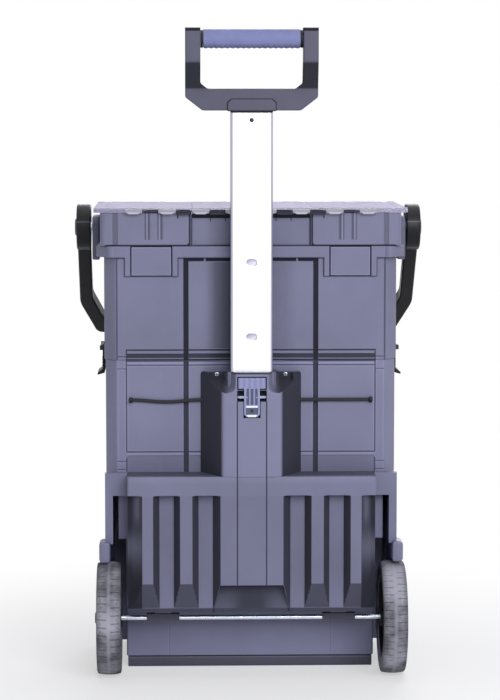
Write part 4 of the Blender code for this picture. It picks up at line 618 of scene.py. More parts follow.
class Nodes:
    """A node tree, and what adds nodes to it."""

    def __init__(self, tree):
        self.tree = tree

    def give(self, node, target, source):
        """Links a socket to an input of the node, by its name or number, or sets it to a constant."""
        if isinstance(source, bpy.types.NodeSocket):
            self.tree.links.new(source, node.inputs[target])
        else:
            node.inputs[target].default_value = source

    def add(self, kind, inputs=(), **values):
        """Adds a node, sets its properties and gives it its inputs."""
        node = self.tree.nodes.new(kind)
        for key, value in values.items():
            setattr(node, key, value)
        for target, source in dict(inputs).items():
            self.give(node, target, source)
        return node

    def ranged(self, value, low, high, to_low, to_high):
        return self.add("ShaderNodeMapRange", {
            "Value": value, "From Min": low, "From Max": high, "To Min": to_low, "To Max": to_high,
        }).outputs["Result"]

    def highest(self, *values):
        """The largest of these sockets."""
        found = values[0]
        for value in values[1:]:
            found = self.add("ShaderNodeMath", {0: found, 1: value}, operation="MAXIMUM").outputs[0]
        return found

    def mixed(self, factor, first, second):
        """Mixes two colours, each a socket or three numbers."""
        node = self.add("ShaderNodeMix", {0: factor}, data_type="RGBA")
        for target, colour in ((6, first), (7, second)):
            plain = not isinstance(colour, bpy.types.NodeSocket)
            self.give(node, target, (*colour, 1) if plain else colour)
        return node.outputs[2]

    def seen_ray(self):
        """1 for a camera, glossy or transmission ray, else 0."""
        path = self.add("ShaderNodeLightPath").outputs
        return self.highest(path["Is Camera Ray"], path["Is Glossy Ray"], path["Is Transmission Ray"])


class Paint(Nodes):
    """A new material's nodes: a principled shader, and textures in the object's coordinates."""

    def __init__(self, name, roughness, metallic=0.0, **constants):
        self.material = bpy.data.materials.new(name)
        self.material.use_nodes = True
        super().__init__(self.material.node_tree)
        self.shader = self.tree.nodes["Principled BSDF"]
        self.plug(Roughness=roughness, Metallic=metallic, **constants)
        self.place = self.add("ShaderNodeTexCoord").outputs["Object"]

    def plug(self, **sources):
        """Gives the shader its inputs, whose names are written with _ for a space."""
        for key, source in sources.items():
            self.give(self.shader, key.replace("_", " "), source)

    def noise(self, scale, detail=3.0, stretch=None):
        place = self.place
        if stretch is not None:
            place = self.add("ShaderNodeMapping", {"Vector": place, "Scale": stretch}).outputs["Vector"]
        inputs = {"Vector": place, "Scale": scale, "Detail": detail}
        return self.add("ShaderNodeTexNoise", inputs).outputs["Fac"]

    def bump(self, height, strength, distance):
        inputs = {"Height": height, "Strength": strength, "Distance": distance}
        return self.add("ShaderNodeBump", inputs).outputs["Normal"]

    def mix_shade_and_wear(self, tone, dark, pale, darkest=0.94):
        """Mixes a tone to dark painted shade where the shade attribute nears 1, and to a pale painted
        highlight where it nears -1.
        """
        grime = self.add("ShaderNodeAttribute", attribute_name="grime").outputs["Fac"]
        tone = self.mixed(self.ranged(grime, 0, 1, 0, darkest), tone, dark)
        return self.mixed(self.ranged(grime, 0, -1, 0, 1), tone, pale), grime

    def fade_to(self, share, other):
        """Shows this share of another shader in the principled one's stead."""
        both = self.add("ShaderNodeMixShader", {0: share, 1: self.shader.outputs["BSDF"], 2: other})
        self.give(self.tree.nodes["Material Output"], "Surface", both.outputs["Shader"])


def shaded(colour, share):
    return tuple(min(1, part * share) for part in colour)


def moulded(name, colour, roughness, level=0.34, grain=0.35, palest=1.9):
    """Moulded plastic: a fine eroded grain, faint cloudy tone, scuffs, settled dust, and painted shade in the
    grooves with painted highlights on their rims.
    """
    paint = Paint(name, roughness, Specular_IOR_Level=level)
    cloud = paint.ranged(paint.noise(9, 4), 0.3, 0.7, 0, 1)
    tone = paint.mixed(cloud, shaded(colour, 0.91), shaded(colour, 1.08))
    scuffs = paint.noise(60, 6, (1, 1, 0.25))
    tone = paint.mixed(paint.ranged(scuffs, 0.62, 0.78, 0, 0.16), tone, shaded(colour, 1.6))
    facing = paint.add("ShaderNodeNewGeometry").outputs["Normal"]
    up = paint.add("ShaderNodeSeparateXYZ", {"Vector": facing}).outputs["Z"]
    tone = paint.mixed(paint.ranged(up, 0.75, 1.0, 0, 0.10), tone, colours().dust)
    # Painted shade from the attribute, and painted highlights up to palest times the colour
    tone, grime = paint.mix_shade_and_wear(tone, shaded(colour, DARKEST_SHARE), shaded(colour, palest))
    rough = paint.highest(paint.ranged(scuffs, 0.3, 0.7, roughness - 0.05, roughness + 0.09), grime)
    fine = paint.noise(1 / sizes().grain, 2)
    paint.plug(Base_Color=tone, Roughness=rough, Normal=paint.bump(fine, grain, sizes().grain / 6))
    return paint


def drawn_aluminium():
    """Drawn, anodised aluminium: fine lines along the tube and faint rub marks."""
    paint = Paint("drawn_aluminium", 0.34, 1.0)
    lines = paint.noise(1, 3, (2600, 2600, 9))
    rub = paint.ranged(paint.noise(30, 5, (1, 1, 0.12)), 0.55, 0.8, 0.32, 0.42)
    tone = paint.mixed(lines, shaded(colours().aluminium, 0.95), colours().aluminium)
    # Painted shade on the rounded edges and in the slots
    tone, _ = paint.mix_shade_and_wear(tone, colours().tube_shade, (1, 1, 1))
    paint.plug(Base_Color=tone, Roughness=rub, Normal=paint.bump(lines, 0.25, 0.00005))
    return paint


def plated_steel(name, colour):
    """Plated steel with turning lines and a few dull spots."""
    paint = Paint(name, 0.26, 1.0)
    lines = paint.noise(1, 2, (3, 900, 900))
    spots = paint.ranged(paint.noise(90, 4), 0.4, 0.7, 0, 1)
    tone = paint.mixed(spots, shaded(colour, 0.82), colour)
    # Painted shade where the attribute says, such as in the screws' slots
    tone, _ = paint.mix_shade_and_wear(tone, shaded(colour, DARKEST_SHARE), colour)
    rough = paint.ranged(spots, 0, 1, 0.36, 0.22)
    paint.plug(Base_Color=tone, Roughness=rough, Normal=paint.bump(lines, 0.2, 0.00004))
    return paint


def dusty_rubber():
    """Tyre rubber: painted shade in the sipes, dusty and scuffed on the crown."""
    paint = Paint("dusty_rubber", 0.82, Specular_IOR_Level=0.3)
    patches = paint.ranged(paint.noise(34, 6), 0.32, 0.62, 0, 1)
    tone = paint.mixed(patches, colours().rubber, colours().dust)
    speck = paint.ranged(paint.noise(420, 3), 0.5, 0.75, 0, 0.55)
    tone = paint.mixed(speck, tone, shaded(colours().rubber, 1.1))
    worn = paint.ranged(paint.noise(15, 7), 0.50, 0.62, 0, 0.62)
    tone = paint.mixed(worn, tone, shaded(colours().dust, 1.55))
    # Painted shade in the sipes and on the shoulders; below zero, the paler line round the crown
    tone, _ = paint.mix_shade_and_wear(tone, shaded(colours().rubber, DARKEST_SHARE), shaded(colours().dust, 1.5), 0.85)
    paint.plug(Base_Color=tone, Normal=paint.bump(paint.noise(700, 4), 0.4, 0.0003))
    return paint


def soft_grip():
    """Soft-touch grip: a pebbled grain, with painted shade between its ribs and underneath."""
    paint = Paint("soft_grip", 0.62, Specular_IOR_Level=0.4)
    cloud = paint.ranged(paint.noise(40, 4), 0.3, 0.7, 0, 1)
    tone = paint.mixed(cloud, shaded(colours().grip, 0.92), shaded(colours().grip, 1.08))
    tone, _ = paint.mix_shade_and_wear(tone, shaded(colours().grip, DARKEST_SHARE), shaded(colours().grip, 1.9), 0.6)
    pebble = paint.add("ShaderNodeTexVoronoi", {"Vector": paint.place, "Scale": 1100}).outputs["Distance"]
    paint.plug(Base_Color=tone, Normal=paint.bump(pebble, 0.35, 0.0002))
    return paint


def clear_plastic(name="clear_plastic", through=0.90, roughness=0.07, share=1.0):
    """Clear plastic with moulding swirls and fine scratches. Frosted, it lets less light through."""
    paint = Paint(name, roughness, Transmission_Weight=through, IOR=1.49)
    swirl = paint.ranged(paint.noise(18, 4), 0.35, 0.7, 0, 1)
    tone = paint.mixed(swirl, shaded(colours().cover, 0.95 * share), shaded(colours().cover, share))
    # Painted shade where the attribute is above zero, white painted highlights below zero
    tone, _ = paint.mix_shade_and_wear(tone, shaded(colours().cover, DARKEST_SHARE), (1, 1, 1))
    rough = paint.ranged(paint.noise(1, 4, (14, 700, 700)), 0.35, 0.7, roughness, roughness + 0.14)
    paint.plug(Base_Color=tone, Roughness=rough, Normal=paint.bump(swirl, 0.15, 0.0004))
    facing = paint.add("ShaderNodeLayerWeight", {"Blend": 0.5}).outputs["Facing"]
    haze = paint.add("ShaderNodeBsdfDiffuse", {"Color": (*colours().haze, 1)}).outputs["BSDF"]
    edge_on = paint.ranged(facing, 0.80, 0.97, 0, 0.85)
    paint.fade_to(edge_on, haze)
    return paint


def braided_elastic():
    """The cord's braided sleeve: two crossing diagonal waves along its length."""
    paint = Paint("braided_elastic", 0.85, Specular_IOR_Level=0.25)
    strands = []
    for lean in (1, -1):
        links = {"Vector": paint.place, "Rotation": (0, lean * math.radians(38), 0)}
        leaning = paint.add("ShaderNodeMapping", links).outputs["Vector"]
        links = {"Vector": leaning, "Scale": 240, "Distortion": 0.4}
        strands.append(paint.add("ShaderNodeTexWave", links).outputs["Fac"])
    weave = paint.highest(*strands)
    tone = paint.mixed(weave, shaded(colours().cord, 0.4), shaded(colours().cord, 1.6))
    paint.plug(Base_Color=tone, Normal=paint.bump(weave, 0.7, 0.0003))
    return paint


MAKERS = {
    "moulding": lambda: moulded("grey_plastic", colours().moulding, 0.46),
    "dark": lambda: moulded("dark_plastic", colours().dark, 0.42),
    "black": lambda: moulded("black_plastic", colours().black, 0.42, 0.20, 0.2, 9.0),
    "head": lambda: moulded("head_plastic", colours().head, 0.42),
    "rocker": lambda: moulded("rocker_plastic", colours().rocker, 0.36, 0.5, 0.1, 3.4),
    "aluminium": drawn_aluminium,
    "steel": lambda: plated_steel("zinc_steel", colours().steel),
    "blued": lambda: plated_steel("blued_steel", colours().blued),
    "rubber": dusty_rubber,
    "grip": soft_grip,
    "cover": clear_plastic,
    "frosted": lambda: clear_plastic("frosted_plastic", 0.30, 0.34, 0.72),
    "cord": braided_elastic,
}
MADE = {}


def finish_of(name):
    """The material of that name, made when it is first asked for."""
    if name not in MADE:
        MADE[name] = MAKERS[name]().material
    return MADE[name]


# Lower bin
(_, BOX_REAR_Y, BIN_LOW_Z), (KEEPER_OUT, BOX_FRONT_Y, BIN_TOP_Z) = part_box("lower_bin")
BIN_HALF = 0.228
MAIN_GROOVE = (0.0980, 0.1054)
PANEL_HALF = 0.1945
FRAME_LINE = (0.1945, 0.1959)
CORNER_LINE = (0.2090, 0.2130)
BIN_SPLIT_Z = 0.290
BIN_FOOT_Z = 0.028
SIDE_MIDDLE_Y = 0.030
SIDE_PANEL_HALF = 0.100
WELL_FRONT_Y = 0.008
BASE_HALF = 0.197
SHOULDER_HALF = 0.209
BASE_REAR_Y = -0.073
BASE_FRONT_Y = 0.150
BASE_TOP_Z = 0.105
SHOULDER_Z = 0.213
BASE_SEAM_X = 0.128
BASE_SEAM_DEPTH = 0.0004
BASE_CORNER = 0.003
UPPER_PANEL_Z = (0.3528, 0.4885)
LOWER_PANEL_Z = (0.3135, 0.3462)
LOWER_FRAME_TOP_Z = 0.3432
CORNER_STEPS_Z = ((0.4828, 0.4838), (0.3367, 0.3378), (0.3237, 0.3248))
SIDE_MARGINS = (0.030, 0.062)
SIDE_FRAME = (0.1040, 0.1056)
SIDE_REACH = 0.11
BIN_WALL = 0.0042
BIN_FLOOR = 0.020
FRONT_GROOVE_RISE = 0.020
FRONT_LINES_Z = ((0.042, 0.044), (0.150, 0.152))
CORE_INSET = 0.004
SHOE_EDGE = 0.0012
KEEPER_Y = (-0.034, 0.032)
KEEPER_Z = (0.481, 0.487)


def channel(across, half, depth):
    """The shallow trough between the main grooves, deepest in the middle."""
    return depth * np.clip(1 - (across / half) ** 2, 0, 1)


TUBE_SHADE_BLEND = 0.026
RIGHT_SHADE_SHARE = 0.35


def shade_by_tube(across, dark, reach, strength):
    """The painted shadow beside the tube and the housing, most of it on the left, and less where it is dark.
    """
    shade = strength * smooth_step((reach - np.abs(across)) / TUBE_SHADE_BLEND)
    return shade * np.where(across < 0, 1, RIGHT_SHADE_SHARE) * (1 - np.clip(dark, 0, 1))


def bin_cuts(bottom, top):
    """The grooves, lines and panels of the bin's wall, with painted shade in them and pale bands of painted
    highlight.
    """
    groove = sizes().groove
    line = groove / LINE_SHARE
    low, high = UPPER_PANEL_Z
    lower_low, lower_top = LOWER_PANEL_Z
    first, *others = CORNER_STEPS_Z
    cuts = [
        (*MAIN_GROOVE, bottom, top + PLAY, groove, 1.0),
        (0, FRAME_LINE[1], top - HAIRLINE, top + PLAY, groove, 0.80),
        (0, PANEL_HALF, high + HAIRLINE, top - BAND_MARGIN, 0, -0.30),
        (0, PANEL_HALF, high, high + THIN, line, 0.75),
        (*FRAME_LINE, low, top + PLAY, line, 0.85),
        (0, FRAME_LINE[1], low - FRAME_WIDTH, low, line, 0.85),
        (0, PANEL_HALF, lower_top + THIN, low - BAND_MARGIN, 0, -0.30),
        (0, PANEL_HALF, lower_low, lower_top, line / 2, 0.24),
        (*FRAME_LINE, lower_low, LOWER_FRAME_TOP_Z, line, 0.9),
        (*CORNER_LINE, bottom, top + PLAY, line, 0.62),
        (FRAME_LINE[1], BIN_HALF, *first, line, 0.6),
    ]
    return cuts + [(FRAME_LINE[1], CORNER_LINE[0], *step, line, 0.6) for step in others]


def side_cuts(bottom, top):
    """The panel and its frame line in each side wall, about the wall's middle."""
    line = sizes().groove / LINE_SHARE
    low, high = bottom + SIDE_MARGINS[0], top - SIDE_MARGINS[1]
    # The panel and the frame line carry painted shade
    return [(0, SIDE_PANEL_HALF, low, high, line, 0.10), (*SIDE_FRAME, low, high, line, 0.6)]


def walls_relief(cuts, beside, trough_top):
    """The relief of a box's walls: cuts at the back and front, other cuts at the sides."""

    def relief(u, v, normal, height):
        flat = np.abs(normal[..., 1]) > FLAT
        side = np.abs(normal[..., 0]) > FLAT
        depth, dark = carve(u, height, cuts)
        rear = flat * (normal[..., 1] < 0)
        inside = flat * (height < trough_top)
        # Painted shadow of the tube on the back wall
        dark = dark + shade_by_tube(u, dark, 0.083, 0.45) * rear * inside
        depth = depth + channel(u, MAIN_GROOVE[0], sizes().groove / 2) * inside
        side_depth, side_dark = carve(v - SIDE_MIDDLE_Y, height, beside)
        return depth * flat + side_depth * side, dark * flat + side_dark * side

    return relief


def make_bin_top():
    """The bin above the wheels: an open vessel with carved walls."""
    low, high = BIN_SPLIT_Z, BIN_TOP_Z
    cuts, beside = bin_cuts(low, high), side_cuts(low, high)
    across, heights = limits_of(cuts)
    side_across, side_heights = limits_of(beside)
    ticks_x = ticks_for(across, -BIN_HALF, BIN_HALF, FINE_PITCH)
    ticks_y = ticks_for(side_across, -SIDE_REACH, SIDE_REACH) + SIDE_MIDDLE_Y
    ticks_z = ticks_for(heights + side_heights, low, high, both=False)
    plan = plan_of(box_corners(BIN_HALF, BOX_REAR_Y, BOX_FRONT_Y), sizes().corner, 4, ticks_x, ticks_y)
    return vessel(plan, (low, high), (sizes().edge, SEAM_EDGE), ticks_z, BIN_WALL, low + BIN_FLOOR,
                  walls_relief(cuts, beside, high))


def make_bin_front():
    """The bin before the wheels, with the front wall's grooves and two cross lines."""
    low, high = BIN_FOOT_Z, BIN_SPLIT_Z + sizes().edge
    line, start, top = sizes().groove / 2, low + FRONT_GROOVE_RISE, high + PLAY
    cuts = [
        (*MAIN_GROOVE, start, top, sizes().groove, 1.0),
        *[(0, PANEL_HALF, *pair, line, 0.8) for pair in FRONT_LINES_Z],
        (*CORNER_LINE, start, top, line, 0.6),
    ]
    across, heights = limits_of(cuts)
    edge, corner = sizes().edge, sizes().corner
    corners = cut_corners(BIN_HALF, WELL_FRONT_Y, BOX_FRONT_Y, *CORNER_CUT)
    plan = plan_of(corners, (edge, edge, corner, corner, corner, corner), 4,
                   ticks_for(across, -BIN_HALF, BIN_HALF))
    rows = end_rows(low, high, edge, ticks=ticks_for(heights, low, high, both=False))
    return shell(plan, rows, relief=carved_wall(cuts, 1))


def make_bin_base():
    """The narrow base between the wheels, with two mould lines in its back."""
    low, high = BIN_LOW_Z, BASE_TOP_Z + sizes().edge
    cuts = [(BASE_SEAM_X, BASE_SEAM_X + PLAY, low, high + PLAY, BASE_SEAM_DEPTH, 0.35)]
    ticks = ticks_for(limits_of(cuts)[0], -BASE_HALF, BASE_HALF)
    corners = rectangle(-BASE_HALF, BASE_REAR_Y, BASE_HALF, BASE_FRONT_Y)
    plan = plan_of(corners, BASE_CORNER, 4, ticks)
    # The base is painted paler all over, as painted light
    return shell(plan, end_rows(low, high, sizes().edge), relief=carved_wall(cuts, -1)).add_shade(-0.14)


def make_lower_bin():
    """The bin: its carved top and front, the shoulder over the wheels, the base and the keepers."""
    edge = sizes().edge
    rear = BOX_REAR_Y + CORE_INSET
    shoulder = block((-SHOULDER_HALF, rear, SHOULDER_Z),
                     (SHOULDER_HALF, WELL_FRONT_Y + edge, BIN_SPLIT_Z + edge), edge)
    middle = block((-BASE_HALF, rear, BASE_TOP_Z), (BASE_HALF, BASE_FRONT_Y, SHOULDER_Z + edge), edge)
    keeper = block((BIN_HALF - STEP, KEEPER_Y[0], KEEPER_Z[0]), (KEEPER_OUT, KEEPER_Y[1], KEEPER_Z[1]))
    # The bin's top is painted paler all over, as painted light
    skins = [make_bin_top().add_shade(-0.13), make_bin_front(), shoulder, middle, make_bin_base()]
    piece("bin_shell", skins + both_sides([keeper]), "lower_bin")


def make_base_skid():
    """The shoe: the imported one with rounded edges."""
    softened("bin_shoe", "base_skid", "dark", "chassis", SHOE_EDGE)


# Upper box
BOX_HALF = 0.230
(_, RIM_REAR_Y, BOX_LOW_Z), (EAR_OUT, _, EAR_TOP_Z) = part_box("upper_box")
BOX_TOP_Z = 0.676
EAR_LOW_Z = 0.648
RIM_BOTTOM_Z = 0.658
RIM_OUT_SIDE = 0.0112
RIM_OUT_REAR = BOX_REAR_Y - RIM_REAR_Y
FLANGE = (0.1144, 0.1970)
FLANGE_BOTTOM_Z = 0.6290
HINGE_LUG = 0.0036
LATCH_AXIS_Z = 0.510
NOTCH_X = (0.0705, 0.0740)
NOTCH_HEIGHT = 0.0065
TROUGH_MARGIN = 0.006
POCKET_DEPTH = 0.0013
RIM_GROOVE = (0.0056, 0.0008)
RIM_SHADOW = (0.0022, 0.0002)
SKIRT_TOP_Z = 0.4983
BELT_Z = (0.5006, 0.5070)
PALE_BELT_Z = (0.5080, 0.5108)
BELT_LINE_Z = (0.5118, 0.5138)
BOX_STEP_Z = (0.5020, 0.5031)
RIM_MARK_X = (0.2140, 0.2235)
RIM_MARK_DROP = 0.0015
BOX_WALL = 0.0045
EAR_X = 0.2395
EAR_HALF = 0.047
EAR_EDGE = 0.0018
EAR_CORNER = 0.016
LUG_STARTS_Y = (-0.042, 0.032)
LUG_WIDTH = 0.008
LUG_OUT = 0.0086
BLOCK_MARGIN = 0.0022


def box_cuts():
    """The grooves, lines and panels of the upper box's wall, with painted shade in them and a pale band of
    painted highlight.
    """
    groove = sizes().groove
    line = groove / LINE_SHARE
    low, rim = BOX_LOW_Z - PLAY, RIM_BOTTOM_Z
    return [
        (*MAIN_GROOVE, low, rim - PLAY, groove, 1.0),
        (0, MAIN_GROOVE[1], rim - RIM_GROOVE[0], rim - RIM_GROOVE[1], groove, 1.0),
        (0, FRAME_LINE[1], low, SKIRT_TOP_Z, groove, 0.85),
        (0, PANEL_HALF, *BELT_Z, groove * 0.8, 0.85),
        (0, PANEL_HALF, *PALE_BELT_Z, 0, -0.40),
        (0, FRAME_LINE[1], *BELT_LINE_Z, line, 0.92),
        (*FRAME_LINE, low, BELT_LINE_Z[1], line, 0.85),
        (*CORNER_LINE, low, rim - PLAY, line, 0.62),
        (FRAME_LINE[1], BOX_HALF, *BOX_STEP_Z, line, 0.6),
        (*RIM_MARK_X, rim + HAIRLINE, BOX_TOP_Z - RIM_MARK_DROP, THIN / 2, 0.40),
    ]


def rear_block_pocket(u, height):
    """The flange that drops from the rim round each rear block, the block's pocket in it, and the
    thin line round the flange, with painted shade in the pocket and on the line."""
    across = np.abs(u)
    low, high = node_box("rear_block_right")
    top = BOX_TOP_Z + PLAY
    flange = patch(across, height, *FLANGE, FLANGE_BOTTOM_Z, top)
    pocket = patch(across, height, low[0] - PLAY, high[0] + PLAY, low[2] - PLAY, top)
    outline = patch(across, height, FLANGE[0] - THIN, FLANGE[1] + THIN, FLANGE_BOTTOM_Z - THIN, top)
    return flange, pocket, np.clip(outline - flange, 0, 1)


def upper_relief(u, _, normal, height):
    """The box's carving: its cuts, the flanges and pockets at the back, and the rim's shadow line."""
    flat = np.abs(normal[..., 1]) > FLAT
    rear = flat * (normal[..., 1] < 0)
    depth, dark = carve(u, height, box_cuts())
    notch = patch(np.abs(u), height, *NOTCH_X, RIM_BOTTOM_Z - NOTCH_HEIGHT, RIM_BOTTOM_Z)
    depth, dark = depth * (1 - notch), dark * (1 - 0.9 * notch)
    inside = height < RIM_BOTTOM_Z - TROUGH_MARGIN
    depth = depth + channel(u, MAIN_GROOVE[0], sizes().groove / 2) * inside
    # Painted shadow of the tube on the back wall
    dark = dark + shade_by_tube(u, dark, 0.076, 0.66) * inside * rear
    over_rim = smooth_step((height - RIM_BOTTOM_Z) / RIM + 0.5)
    flange, pocket, outline = rear_block_pocket(u, height)
    below = 1 - over_rim
    raised = RIM_OUT_REAR * flange * below * (1 - pocket)
    sunk = pocket * (POCKET_DEPTH + RIM_OUT_REAR * over_rim)
    depth = depth * (1 - flange * rear) + (sunk - raised) * rear
    # Painted shade in the block's pocket and on the line round the flange
    round_block = (0.9 * pocket + 0.7 * outline * below * (1 - pocket)) * rear
    dark = np.maximum(dark * (1 - flange * rear), round_block) * flat
    shadow = within(height, RIM_BOTTOM_Z - RIM_SHADOW[0], RIM_BOTTOM_Z - RIM_SHADOW[1], FINE) * (1 - flange)
    return depth * flat, np.maximum(dark, 0.55 * shadow) + np.minimum(dark, 0)


def rim_width(normal, height):
    """How far the rim stands out at the sides and the back."""
    out = np.abs(normal[..., 0]) * RIM_OUT_SIDE + np.clip(-normal[..., 1], 0, 1) * RIM_OUT_REAR
    return out * smooth_step((height - RIM_BOTTOM_Z) / RIM + 0.5)


def make_box_walls():
    """The box as an open vessel with its rim."""
    low, high = node_box("rear_block_right")
    across, heights = limits_of(box_cuts())
    ticks_x = ticks_for([*across, *FLANGE, *NOTCH_X, low[0], high[0]], -BOX_HALF, BOX_HALF, FINE_PITCH)
    ticks_z = ticks_for([*heights, FLANGE_BOTTOM_Z, RIM_BOTTOM_Z], BOX_LOW_Z, BOX_TOP_Z, both=False)
    plan = plan_of(box_corners(BOX_HALF, BOX_REAR_Y, BOX_FRONT_Y), sizes().corner, 4, ticks_x,
                   np.linspace(BOX_REAR_Y, BOX_FRONT_Y, 12))
    return vessel(plan, (BOX_LOW_Z, BOX_TOP_Z), (SEAM_EDGE, sizes().edge), ticks_z, BOX_WALL,
                  BOX_LOW_Z + BOX_WALL, upper_relief, rim_width)


def make_ear():
    """The ear that carries the bail: a flat plate with large rounded corners."""
    corners = rectangle(BAIL_AXIS[1] - EAR_HALF, EAR_LOW_Z, BAIL_AXIS[1] + EAR_HALF, EAR_TOP_Z)
    return pillar(corners, EAR_X, EAR_OUT, EAR_EDGE, "X", EAR_CORNER, 8)


def make_upper_box():
    """The box with its ears and latch lugs, and the two rear blocks with their raised plates."""
    # The ear is painted darker, as painted shade
    parts = [make_ear().add_shade(0.33)]
    for start in LUG_STARTS_Y:
        low = (BOX_HALF - STEP, start, LATCH_AXIS_Z - HINGE_LUG)
        high = (BOX_HALF + LUG_OUT, start + LUG_WIDTH, LATCH_AXIS_Z + HINGE_LUG)
        # The lugs are painted dark, as painted shade
        parts.append(block(low, high, PLAY).add_shade(0.85))
    piece("box_shell", [make_box_walls(), *both_sides(parts)], "upper_box")
    inset = np.array([BLOCK_MARGIN, 0, BLOCK_MARGIN])
    for side, _ in SIDES:
        node = "rear_block_" + side
        low, high = node_box(node)
        panel = block(low + inset - (0, GAP, 0), high - inset, SEAM_EDGE)
        # The plate is painted paler, as painted light
        plate = block(low, high, PLAY).add_shade(-0.22)
        piece("back_block_" + side, [plate, panel], node)


# Trolley panel
(_, REAR_Y, _), (_, _, PANEL_TOP_Z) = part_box("trolley_panel")
PANEL_SIDE = 0.1933
FLOOR_Y = -0.157
BACK_Y = -0.151
PANEL_LOW_Z = 0.105
FLOOR_LOW_Z = 0.111
RIB_LOW_Z = 0.153
BAND_LOW_Z = 0.2906
COLUMN_HALF = 0.0488
COLUMN_LOW_Z = 0.1505
COLUMN_DRAFT = 0.0120
MOUTH_FLARE = 0.0095
RIBS = ((0.0926, 0.1118), (0.1537, 0.1704))
DRAFT = 0.0099
COLUMN_LINE = 0.0227
LINE_HALF = 0.0006
LINE_SOFT = 0.0005
LINE_DEPTH = 0.0008
MOUTH_ROUND = 0.0030
FINE_ROWS = 0.0019
TUBE_ROOM = 0.0345
# Painted shade on the ribs' sides and ends, in the mouth, at the foot and, faintly, on the face
SIDE_SHADE, END_SHADE, MOUTH_SHADE = 0.90, 0.70, 0.86
FOOT_SHADE = 0.82
FACE_SHADE = 0.09
PANEL_BEHIND_Y = -0.1606
SLEEVE_REAR_Y = -0.1612
SLEEVE_FRONT_Y = -0.1300
SLEEVE_X = 0.0535
GUIDE_Y = -0.1355
GUIDE_WALL = 0.006
LEDGE_FRONT_Y = -0.1143
LEDGE_WALL = 0.0046
WALL_FRONT_Y = -0.1103
STRUT_X = (0.185, 0.191)
STRUT_LOW_Z = 0.117
FOOT_X = (0.113, 0.1646)
BRACKET = ((0.1259, -0.123, 0.0961), (0.1517, -0.113, 0.113))


def rib_rise(across, end, low, high, outermost):
    """How far a rib stands up, from 0 to 1, and its painted shade.

    It is the least of two drafted sides and the sloping lower end. The outermost side is a hollow
    slope to the panel's edge.
    """
    inner = (across - low + DRAFT) / DRAFT
    if outermost:
        away = np.clip((across - high) / (PANEL_SIDE - high), 0, 1)
        outer = (1 - away) ** 1.7
    else:
        outer = (high + DRAFT - across) / DRAFT
    sides = np.minimum(inner, outer)
    rise = np.clip(np.minimum(sides, end), 0, 1)
    shade = np.where(end < np.minimum(sides, 1), END_SHADE, SIDE_SHADE)
    return rise, shade * (rise > 0.02) * (rise < 0.99)


def flank_shade(across, z):
    """The painted shade of the outer hollow slope, with a painted highlight at mid height."""
    away = np.clip((across - RIBS[1][1]) / (PANEL_SIDE - RIBS[1][1]), 0, 1)
    glow = np.exp(-((z - 0.208) / 0.024) ** 2)
    sheen = np.exp(-((away - 0.35) / 0.22) ** 2) * smooth_step((z - 0.235) / 0.03)
    shade = 0.93 - 0.36 * glow - 0.34 * sheen + 0.06 * smooth_step((0.18 - z) / 0.03)
    return np.clip(shade + 0.12 * smooth_step((away - 0.6) / 0.2), 0, 1)


def panel_face(x, z):
    """The depth of the panel's face behind the rear plane, and its painted shade."""
    across = np.abs(x)
    end = (z - FLOOR_LOW_Z) / (RIB_LOW_Z - FLOOR_LOW_Z)
    rise, grime = np.zeros(x.shape), np.zeros(x.shape)
    for low, high in RIBS:
        outermost = high == RIBS[-1][1]
        made, shade = rib_rise(across, end, low, high, outermost)
        grime = np.where(made > rise, shade, grime)
        rise = np.maximum(rise, made)
    flank = across > RIBS[-1][1] + 0.001
    grime = np.where(flank, np.maximum(grime * (end < 0.9), flank_shade(across, z)), grime)
    side = np.clip((COLUMN_HALF + COLUMN_DRAFT - across) / COLUMN_DRAFT, 0, 1)
    grime = np.where((side > 0.02) & (side < 0.99), SIDE_SHADE, grime)
    rise = np.maximum(rise, side)
    drop = np.clip((COLUMN_LOW_Z - z) / (COLUMN_LOW_Z - FLOOR_LOW_Z), 0, 1)
    flare = COLUMN_HALF + MOUTH_FLARE * drop
    mouth = smooth_step((flare - across) / PLAY + 0.5) * smooth_step((COLUMN_LOW_Z - z) / MOUTH_ROUND)
    # A painted highlight on the rim of the mouth
    lit = within(across, flare, flare + PLAY, FINE) * (drop > 0) * (z > FLOOR_LOW_Z)
    rise = rise * (1 - mouth)
    grime = np.where(mouth > 0.3, MOUTH_SHADE - 0.28 * drop * smooth_step((across - 0.01) / 0.03), grime)
    grime = np.where(lit > 0.3, 0.15, grime)
    grime = np.where(z < FLOOR_LOW_Z, FOOT_SHADE, grime)
    band = smooth_step((z - BAND_LOW_Z) / PLAY + 0.5)
    line = within(across, COLUMN_LINE - LINE_HALF, COLUMN_LINE + LINE_HALF, LINE_SOFT)
    line = line * (z > COLUMN_LOW_Z)
    rise = rise + (1 - rise) * band
    depth = (FLOOR_Y - REAR_Y) * (1 - rise) + line * LINE_DEPTH
    return depth, np.maximum(np.maximum(grime, FACE_SHADE) * (1 - band), line * 0.95)


